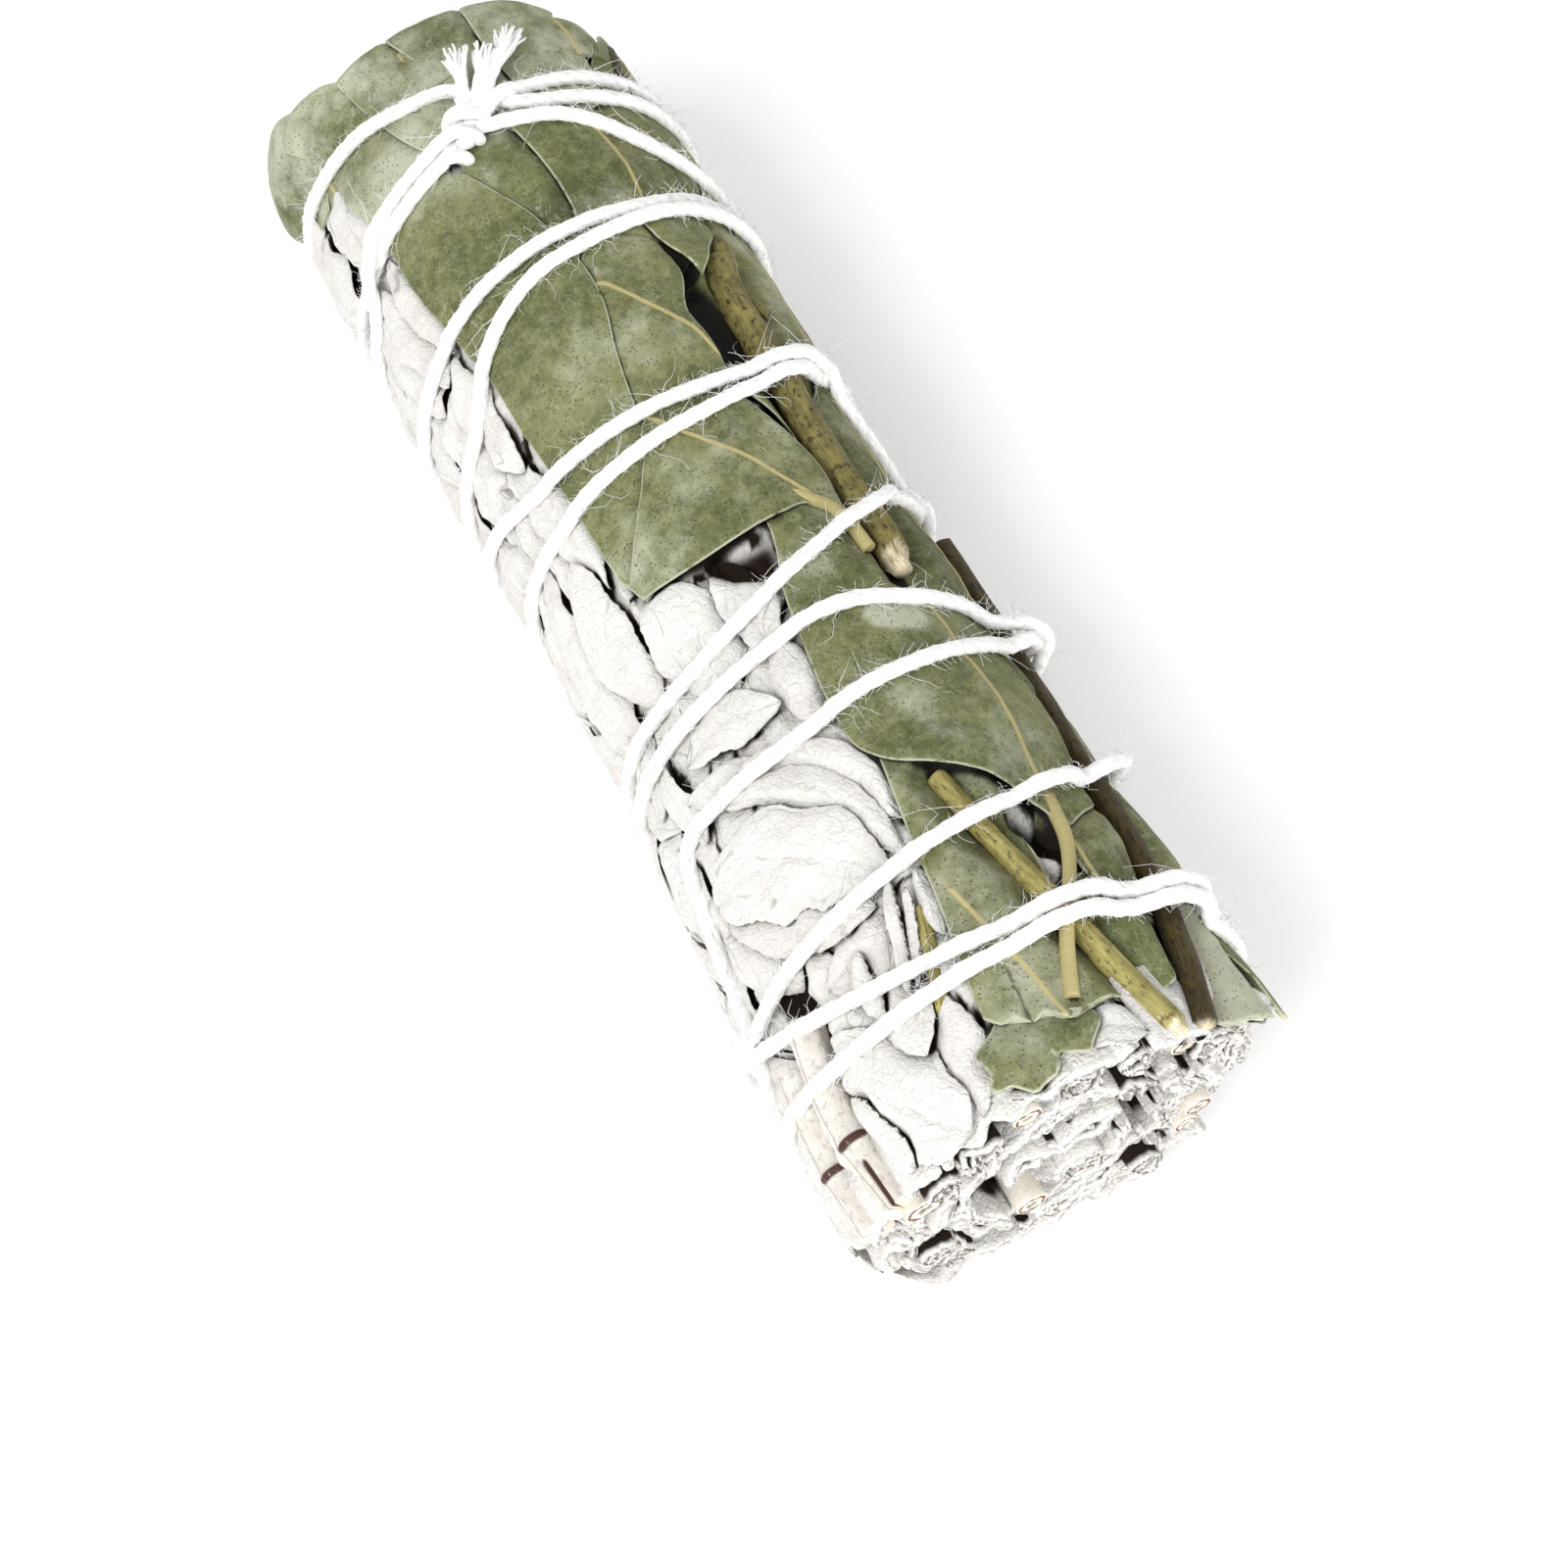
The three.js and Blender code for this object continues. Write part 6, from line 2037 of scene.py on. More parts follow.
    def strand(self, path: Array, scale: Array | float = 1.0) -> Shell:
        """Three plies round a path: the radius is 1 + depth cos 3(angle - twist).

        Args:
            path: Points of the middle line.
            scale: What the radius is thinned by, at each point or everywhere.
        Returns:
            The strand. Its valley is 1 between the plies.
        """
        walked = length_along(path)[:, None]
        angle = np.linspace(0.0, FULL_TURN, self.sides, endpoint=False)[None]
        ply = np.cos(3.0 * (angle - FULL_TURN * walked / self.ply_pitch))
        flat = np.stack(np.broadcast_arrays(walked, np.cos(angle)), -1)
        radius = self.diameter / 2.0 * self.packed * np.reshape(scale, (-1, 1))
        radius = radius * (1.0 + self.ply_depth * ply) * (1.0 + self.soft.at(flat))
        return tube(path, radius, self.sides, valley=np.clip(-ply, 0.0, 1.0))

    def tail_shells(self) -> list[Shell]:
        """The loose ends: each runs out as a strand and then opens into a brush of thin plies.

        Returns:
            The strands and wisps.
        """
        made = []
        draw = np.random.default_rng(SEED + 1)
        share = np.linspace(0.0, 1.0, self.tail_count)
        low, rise = self.tail_rise
        swing, beat = self.tail_wave
        height = low + rise * share + swing * np.sin(beat * share)
        for places in self.tails:
            fine = along_path(np.array(places, float) * (1.0, ARC), self.tail_count) / (1.0, ARC)
            path = BUNDLE.point(fine[:, 0], fine[:, 1], height)
            taper = np.linspace(*self.tail_taper, self.tail_whole)
            made.append(self.strand(path[:self.tail_whole], taper))
            first, second = frames(path, BUNDLE.outward(path))
            base, first, second = (rows[self.tail_brush::2] for rows in (path, first, second))
            t = np.linspace(0.0, 1.0, len(base))[:, None]
            radius = np.linspace(*self.wisp_radius, len(base))
            for _ in range(self.wisp_count):
                angle, spread = draw.uniform(0.0, FULL_TURN), draw.uniform(*self.wisp_spread)
                out = first * math.cos(angle) + second * math.sin(angle)
                swung = np.sin(draw.uniform(*self.wisp_beat) * t + draw.uniform(0.0, 6.0))
                curl = self.wisp_curl * swung * second
                wisp = base + out * (self.wisp_root + spread * t**self.wisp_power) + curl * t
                stop = int(len(base) * draw.uniform(*self.wisp_share))
                made.append(tube(wisp[:stop], radius[:stop], self.wisp_sides).keep(valley=0.0))
        return made

    def fibres(self, kind: Fuzz) -> list[Shell]:
        """Thin loose fibres that curl off the string, each a three-sided thread on a bending walk.

        Args:
            kind: How many there are, how long, of how many points, and their seed.
        Returns:
            The fibres, fewer where the stick lies on the table.
        """
        draw, count = np.random.default_rng(kind.seed), kind.count
        inside = slice(2, len(self.path) - 2)
        up = np.cos(np.radians(ROUTE.turn[inside]))
        open_share = self.fibre_share + ramp(up, *self.fibre_under)
        starts = 2 + draw.choice(len(open_share), count, p=open_share / open_share.sum())
        first, second = frames(self.path, BUNDLE.outward(self.path))
        ahead = np.cross(first, second)
        angle = draw.uniform(0.0, FULL_TURN, count)[:, None]
        out = first[starts] * np.cos(angle) + second[starts] * np.sin(angle)
        side = ahead[starts] * draw.normal(0.0, 1.0, (count, 1))
        reach = draw.gamma(self.fibre_shape, kind.length, count)
        reach = reach.clip(*self.fibre_lengths)[:, None, None]
        t = np.linspace(0.0, 1.0, kind.steps)[None, :, None]
        bend, curl = draw.normal(size=(2, count, 1, 3))
        phase = draw.uniform(0.0, 6.0, (count, 1, 1))
        outward, forward = self.fibre_lean
        straight, bent, curled = self.fibre_walk
        lean = (out * outward + side * forward)[:, None]
        walk = lean * t * reach * straight + bend * (t**2 * reach * bent)
        walk = walk + curl * (curled * reach * np.sin(self.fibre_beat * t + phase) * t)
        root = self.path[starts] + out * (self.diameter * self.fibre_root)
        thin = np.linspace(1.0, self.fibre_tip, kind.steps) * self.fibre_radius
        return [tube(path, thin, 3).keep(valley=0.0) for path in self.above_leaves(root[:, None] + walk)]

    def above_leaves(self, points: Array) -> Array:
        """Lifts fibres to lie on the stick's skin where they would run into it.

        Args:
            points: Points in mm.
        Returns:
            The points, kept in the fibres' box.
        """
        away = BUNDLE.outward(points)
        reach = np.linalg.norm(away, axis=-1)
        held = np.maximum(reach, BUNDLE.radius(points[..., 0]) + self.fibre_room)
        made = points + away * ((held - reach) / reach)[..., None]
        return np.clip(made, self.fibre_low, self.fibre_high)

    def build(self, finish: Material) -> None:
        """Makes the string and its fibres.

        Args:
            finish: The cotton's material.
        """
        pieces = {"string": [self.strand(self.path), *(self.strand(loop.path(), self.knot_scale)
                                                       for loop in self.knot)],
                  "string_ends": self.tail_shells()}
        pieces.update({kind.name: self.fibres(kind) for kind in self.loose})
        for name, shells in pieces.items():
            make_piece(name, shells, finish, ["cotton_string"])


@dataclass
class CutEnd:
    """The cut end: leaf edges packed across it like pages, bent round rolled leaves and cut stems."""

    x_cut: float = CUT_END_X
    x_from: float = 55.5
    radius: float = 18.9
    lane_count: int = 60
    lanes: Pair = (0.5, 1.3)
    bundle_lanes: tuple[int, int] = (1, 5)
    bundle_lengths: Pair = (6.0, 20.0)
    wall_share: float = 0.86
    page_step: float = 0.4
    island_count: int = 18
    island_sizes: Pair = (1.4, 2.2)
    rim_islands: Sequence[Triple] = (
        (-72.0, 15.0, 2.4), (-54.0, 16.2, 1.9), (-38.0, 15.9, 2.3), (-22.0, 16.4, 1.8),
        (-5.0, 16.0, 2.2), (13.0, 16.2, 1.9), (29.0, 16.3, 1.7), (44.0, 15.6, 2.2),
    )
    drifts: Sequence[tuple[float, float, int]] = ((1.25, 8.0, 21), (0.4, 4.6, 23))
    section: Places = (
        (0.0, 1.0), (0.55, 1.0), (0.85, 1.0), (0.95, 0.95), (0.985, 0.72), (1.0, 0.22), (1.0, 0.0),
        (1.0, -0.22), (0.985, -0.72), (0.95, -0.95), (0.85, -1.0), (0.55, -1.0), (0.0, -1.0),
    )
    torn: tuple[Humps, Humps] = (Humps(0.32, 4.5), Humps(0.1, 1.2, 1))
    lean: Humps = Humps(0.3, 5.0, 2)
    rim_dark: Pair = (0.88, 0.56)
    rim_from: float = 0.97
    # painted shade down a page's wall below its rim and beside the next page, and how dark it is.
    painted_shade_below: Pair = (1.3, 3.2)
    painted_shade_beside: Pair = (0.12, 0.6)
    painted_shade_most: float = 0.95
    page_tints: Pair = (0.05, 0.25)
    page_heights: Pair = (0.5, 1.9)
    page_fold: float = 0.5
    page_beats: Pair = (0.7, 1.5)
    page_gaps: Pair = (0.3, 0.9)
    page_uneven: float = 0.3
    lanes_from: float = 0.5
    lanes_inset: float = 0.3
    least_arc: float = 0.8
    roll_turns: float = 2.4
    roll_count: int = 84
    roll_wall: float = 0.225
    roll_seed: int = 9000
    roll_uneven: tuple[Pair, Pair] = ((0.16, 2.0), (0.05, 5.0))
    roll_reach: Pair = (0.2, 0.7)
    roll_height: Triple = (0.2, 0.5, 1.3)
    stem_height: Triple = (-0.3, 0.4, 2.3)
    stem_rim: float = 0.12
    stem_bark: float = 0.92
    stem_lumps: Pair = (0.08, 1.6)
    stem_rough: Pair = (0.06, 0.8)
    face_reach: Pair = (0.93, 0.55)
    hollow_reach: Pair = (0.42, 0.25)
    stem_share: float = 0.8
    stem_sides: int = 28
    stem_steps: int = 12
    stem_face: Places = (
        (-0.04, 0.9), (0.0, 0.84), (0.01, 0.7), (0.02, 0.5), (0.02, 0.36), (-0.25, 0.3), (-0.6, 0.2),
        (-0.7, 0.02),
    )

    def islands(self) -> Array:
        """Middles and sizes of the rolls and stems: first those along the rim, then drawn ones.

        Returns:
            Rows of y, z from the axis, and size, all clear of each other.
        """
        draw = np.random.default_rng(SEED + 3)
        made = [(reach * math.sin(math.radians(turn)), reach * math.cos(math.radians(turn)), size)
                for turn, reach, size in self.rim_islands]
        while len(made) < self.island_count:
            reach, angle = self.radius * 0.86 * math.sqrt(draw.uniform()), draw.uniform(0.0, FULL_TURN)
            size = draw.uniform(*self.island_sizes)
            spot = (reach * math.cos(angle), reach * math.sin(angle), size)
            if all(math.hypot(spot[0] - y, spot[1] - z) > size + r + 1.0 for y, z, r in made):
                made.append(spot)
        return np.array(made)

    def bent(self, flat: Array) -> Array:
        """Places across the end, warped so that no two meet.

        Args:
            flat: Places (y, z) about the axis.
        Returns:
            The places moved by slow waves, then pushed out round each island so that a disc of its
            size opens at its middle: the distance d to it becomes the root of d^2 + size^2.
        """
        moved = flat
        for height, size, seed in self.drifts:
            moved = moved + np.stack([waves(flat, size, seed), waves(flat, size, seed + 1)], -1) * height
        for y, z, size in self.islands():
            away = moved - (y, z)
            distance = np.linalg.norm(away, axis=-1, keepdims=True) + 1e-6
            moved = (y, z) + away / distance * np.sqrt(distance**2 + size**2 * bell(distance, 3.0 * size))
        reach = np.linalg.norm(moved, axis=-1, keepdims=True)
        limit = self.radius - 0.6 * np.exp(-reach / self.radius)
        return moved * np.minimum(1.0, limit / np.maximum(reach, 1e-6))

    def page(self, line: Array, wall: float, x_to: float, seed: int,
             closed: Pair = (1.0, 1.0)) -> Shell:
        """One leaf's edge: a thin wall along a line across the end, standing from x_from to a torn rim.

        Args:
            line: The wall's middle line as places (y, z).
            wall: Its thickness.
            x_to: Where its rim is.
            seed: Picks how the rim is torn.
            closed: For the inner and the outer face, 1 against the next page, 0 across a gap, -1 outside;
                it sets where shade is painted beside the page.
        Returns:
            The wall. The third number of its leaf_place is how dark its rim is.
        """
        ahead = np.gradient(line, axis=0)
        size = np.linalg.norm(ahead, axis=1, keepdims=True) + 1e-9
        normal = np.stack([-ahead[:, 1], ahead[:, 0]], -1) / size
        walked = length_along(line)[:, None]
        rise, aside = np.array(self.section).T
        rim_x = (x_to + sum(humps.at(walked, seed) for humps in self.torn))[:, None]
        x = self.x_from + (rim_x - self.x_from) * rise
        offset = aside * wall / 2.0 + self.lean.at(walked, seed)[:, None] * rise**2
        spot = line[:, None] + normal[:, None] * offset[..., None]
        points = np.stack([x, spot[..., 0], spot[..., 1] + AXIS_HEIGHT], -1)
        most, thin = self.rim_dark
        rim = min(most, thin / wall) * ramp(np.abs(aside), 1.0, 0.5) * (rise > self.rim_from)
        # cover: painted shade down the wall below its rim, and beside a page that it presses against.
        below = rim_x - x
        tight = np.where(aside > 0.0, closed[0], closed[1])
        cover = np.maximum(ramp(below, *self.painted_shade_below), tight * ramp(below, *self.painted_shade_beside))
        cover = cover * self.painted_shade_most * (tight >= 0.0)
        tint, more = self.page_tints
        place = np.stack(np.broadcast_arrays(walked, aside * 3.0, rim), -1)
        return Shell(BUNDLE.on_table(points), leaf_place=place, cover=cover,
                     tint=np.full(x.shape, tint + more * (seed % 5 == 0)))

    def pages(self) -> list[Shell]:
        """Bundles of lanes from the middle out, each cut at its own height, and all warped together.

        Returns:
            The walls of all lanes.
        """
        draw = np.random.default_rng(SEED + 4)
        made = []
        widths = draw.uniform(*self.lanes, self.lane_count)
        reaches = self.lanes_from + np.cumsum(widths) - widths / 2.0
        widest = self.radius - self.lanes_inset
        rows = [row for row in zip(reaches, widths) if row[0] < widest]
        above, spread = self.page_heights
        while rows:
            lanes = [rows.pop(0) for _ in range(min(int(draw.integers(*self.bundle_lanes)), len(rows)))]
            inner = lanes[0][0]
            angle = draw.uniform(0.0, 6.0)
            stop = angle + FULL_TURN
            while angle < stop - self.least_arc / inner:
                size = min(draw.uniform(*self.bundle_lengths) / inner, stop - angle)
                cut = self.x_cut + above - abs(draw.normal(0.0, spread))
                fold, phase = draw.uniform(0.0, self.page_fold), draw.uniform(0.0, 6.0)
                beat = draw.uniform(*self.page_beats)
                for n, (reach, width) in enumerate(lanes):
                    count = max(int(size * reach / self.page_step), 6)
                    gap = draw.uniform(*self.page_gaps) / reach
                    turn = np.linspace(angle, angle + size - gap, count)
                    bent = reach + fold * np.sin(turn * inner * beat + phase)
                    line = self.bent(np.stack([bent * np.cos(turn), bent * np.sin(turn)], -1))
                    outermost = reach + width > widest
                    closed = (float(n > 0), -1.0 if outermost else float(n < len(lanes) - 1))
                    height = cut + draw.uniform(-self.page_uneven, self.page_uneven)
                    made.append(self.page(line, width * self.wall_share, height, len(made) * 7, closed))
                angle += size
        return made

    def roll(self, y: float, z: float, size: float, seed: int) -> Shell:
        """A rolled leaf: a page along a spiral.

        Args:
            y: Where its middle is.
            z: Where its middle is, up from the axis.
            size: Its radius.
            seed: Picks its phase, its height and its rim.
        Returns:
            The roll.
        """
        turn = np.linspace(0.0, self.roll_turns * FULL_TURN, self.roll_count)
        (swing, beat), (small, fast) = self.roll_uneven
        uneven = 1.0 + swing * np.sin(beat * turn + seed) + small * np.sin(fast * turn)
        least, more = self.roll_reach
        reach = size * (least + more * turn / turn[-1]) * uneven
        line = np.stack([y + reach * np.cos(turn + seed), z + reach * np.sin(turn + seed)], -1)
        above, swing, beat = self.roll_height
        height = self.x_cut + above + swing * math.sin(seed * beat)
        return self.page(line, self.roll_wall * size, height, self.roll_seed + seed)

    def stem(self, y: float, z: float, size: float, seed: int) -> Shell:
        """A cut sage stem: a round post whose face steps in from bark over wood to its hollow pith.

        Args:
            y: Where its middle is.
            z: Where its middle is, up from the axis.
            size: Its radius.
            seed: Picks its height and its lumps.
        Returns:
            The post.
        """
        above, swing, beat = self.stem_height
        x_cut = self.x_cut + above + swing * math.sin(seed * beat)
        steps, shares = np.array(self.stem_face).T
        post = np.linspace(self.x_from, x_cut - self.stem_rim, self.stem_steps)
        x = np.concatenate([post, x_cut + steps])[:, None]
        share = np.concatenate([np.full(self.stem_steps, self.stem_bark), shares])[:, None]
        angle = np.linspace(0.0, FULL_TURN, self.stem_sides, endpoint=False)[None]
        ring = np.stack(np.broadcast_arrays(np.cos(angle), np.sin(angle), x)[:2], -1)
        lump, lump_size = self.stem_lumps
        rough, rough_size = self.stem_rough
        radius = size * share * (1.0 + lump * waves(ring, lump_size, seed))
        x = x + rough * waves(ring * radius[..., None], rough_size, seed)
        spot = ring * radius[..., None] + (y, z + AXIS_HEIGHT)
        # hollow: where the pith finish paints shade in the hollow.
        face, hollow = ramp(share, *self.face_reach), ramp(share, *self.hollow_reach)
        face, hollow, _ = np.broadcast_arrays(face, hollow, x)
        return Shell(np.stack([x, spot[..., 0], spot[..., 1]], -1), face=face, hollow=hollow)

    def build(self, felt: Material, pith: Material) -> None:
        """Makes the pages and rolls, and the cut stems among them.

        Args:
            felt: The leaves' material.
            pith: The cut stems' material.
        """
        shells, stems = self.pages(), []
        for n, (y, z, size) in enumerate(self.islands()):
            if n % 3:
                shells.append(self.roll(y, z, size, n))
            else:
                stems.append(self.stem(y, z, size * self.stem_share, n))
        make_piece("cut_end_leaves", shells, felt, ["sage_bunch"])
        make_piece("cut_end_stems", stems, pith, ["sage_bunch"])


@dataclass
class TipEnd:
    """The far end of the stick: leaf ends folded in over it from the rim, each over the one before."""

    bend: Places = (
        (-54.0, 17.2), (-58.4, 17.1), (-60.6, 16.5), (-61.6, 14.6), (-62.0, 10.6), (-61.9, 5.2),
        (-61.4, 0.0), (-61.0, -3.6),
    )
    green_turns: Pair = (-70.0, 125.0)
    flap_count: int = 17
    golden_angle: float = 2.399963
    shift: float = 6.0
    half: float = 5.6
    layer: float = 0.1
    top_count: int = 22
    under_count: int = 12
    length: float = 20.0
    uneven: Humps = Humps(0.12, 7.0)
    wrinkle: Humps = Humps(0.2, 4.5)
    half_wall: float = 0.2
    edge_power: int = 8
    droop: float = 0.45
    pale: float = 0.6
    tint: float = 0.15
    line_count: int = 50
    reach_in: Triple = (0.78, 0.22, 1.7)
    last_share: float = 0.995
    straight: Pair = (6.0, 14.0)
    turned_in: Pair = (0.3, 0.6)
    droop_reach: Pair = (0.55, 1.0)
    rim: Triple = (0.9, 1.0, 0.8)

    def flap(self, turn: float, lift: float, seed: int) -> Shell:
        """One folded leaf end.

        Args:
            turn: Degrees round the stick of its middle line.
            lift: Millimetres that it lies out from the others.
            seed: Picks its wrinkles and how far it reaches in.
        Returns:
            The flap: its middle line follows the bend, and its half width is half (1 - share^3)^0.5.
        """
        least, more, beat = self.reach_in
        count = int(self.line_count * (least + more * math.sin(seed * beat)))
        line = along_path(np.array(self.bend, float), self.line_count)[:count]
        across, side = two_faces(np.linspace(-1.0, 1.0, self.top_count), self.under_count)
        share = np.linspace(0.0, self.last_share, len(line))[:, None]
        width = self.half * np.sqrt(1.0 - share**3)
        aside = across * width * (1.0 + self.uneven.at(share * self.length + seed, seed)[:, None])
        angle = math.radians(turn)
        out, beside = np.array([[math.sin(angle), math.cos(angle)], [math.cos(angle), -math.sin(angle)]])
        reach = line[:, 1:2]
        flat = reach[..., None] * out + aside[..., None] * beside
        size = np.linalg.norm(flat, axis=-1)
        held = reach + (size - reach) * (1.0 - ramp(reach, *self.straight))
        flat = flat / size[..., None] * held[..., None]
        facing = ramp(share, *self.turned_in)
        wall = side * self.half_wall * rounded(across, self.edge_power) + self.wrinkle.at(flat, seed)
        wall = wall + lift - self.droop * ramp(np.abs(across), *self.droop_reach)
        x = line[:, :1] - wall * facing
        away = flat / np.linalg.norm(flat, axis=-1, keepdims=True)
        flat = flat + away * (wall * (1.0 - facing))[..., None]
        points = BUNDLE.on_table(np.stack([x, flat[..., 0], flat[..., 1] + AXIS_HEIGHT], -1))
        green = self.is_green(turn)
        rim_from, rim_to, dark = self.rim
        rim = ramp(np.abs(across), rim_from, rim_to) * dark
        edge = (1.0 - np.abs(across)) * width if green else rim
        place = np.stack(np.broadcast_arrays(share * self.length, aside, edge), -1)
        made = Shell(points, leaf_place=place)
        return made.keep(cover=0.0, pale=self.pale) if green else made.keep(cover=0.0, tint=self.tint)

    def is_green(self, turn: float) -> bool:
        """Whether the flap at a turn is of eucalyptus."""
        return self.green_turns[0] < half_turn(turn) < self.green_turns[1]

    def build(self, green: Material, felt: Material) -> None:
        """Makes the flaps of both kinds.

        Args:
            green: The eucalyptus leaves' material.
            felt: The sage's material.
        """
        draw = np.random.default_rng(SEED + 5)
        turns = np.degrees(np.arange(self.flap_count) * self.golden_angle) % 360.0
        leaves, sage = [], []
        for n, turn in enumerate(turns):
            shell = self.flap(float(turn + draw.uniform(-self.shift, self.shift)), self.layer * n, n)
            (leaves if "pale" in shell.fields else sage).append(shell)
        make_piece("tip_end_leaves", leaves, green, ["sage_bunch"])
        make_piece("tip_end_sage", sage, felt, ["sage_bunch"])


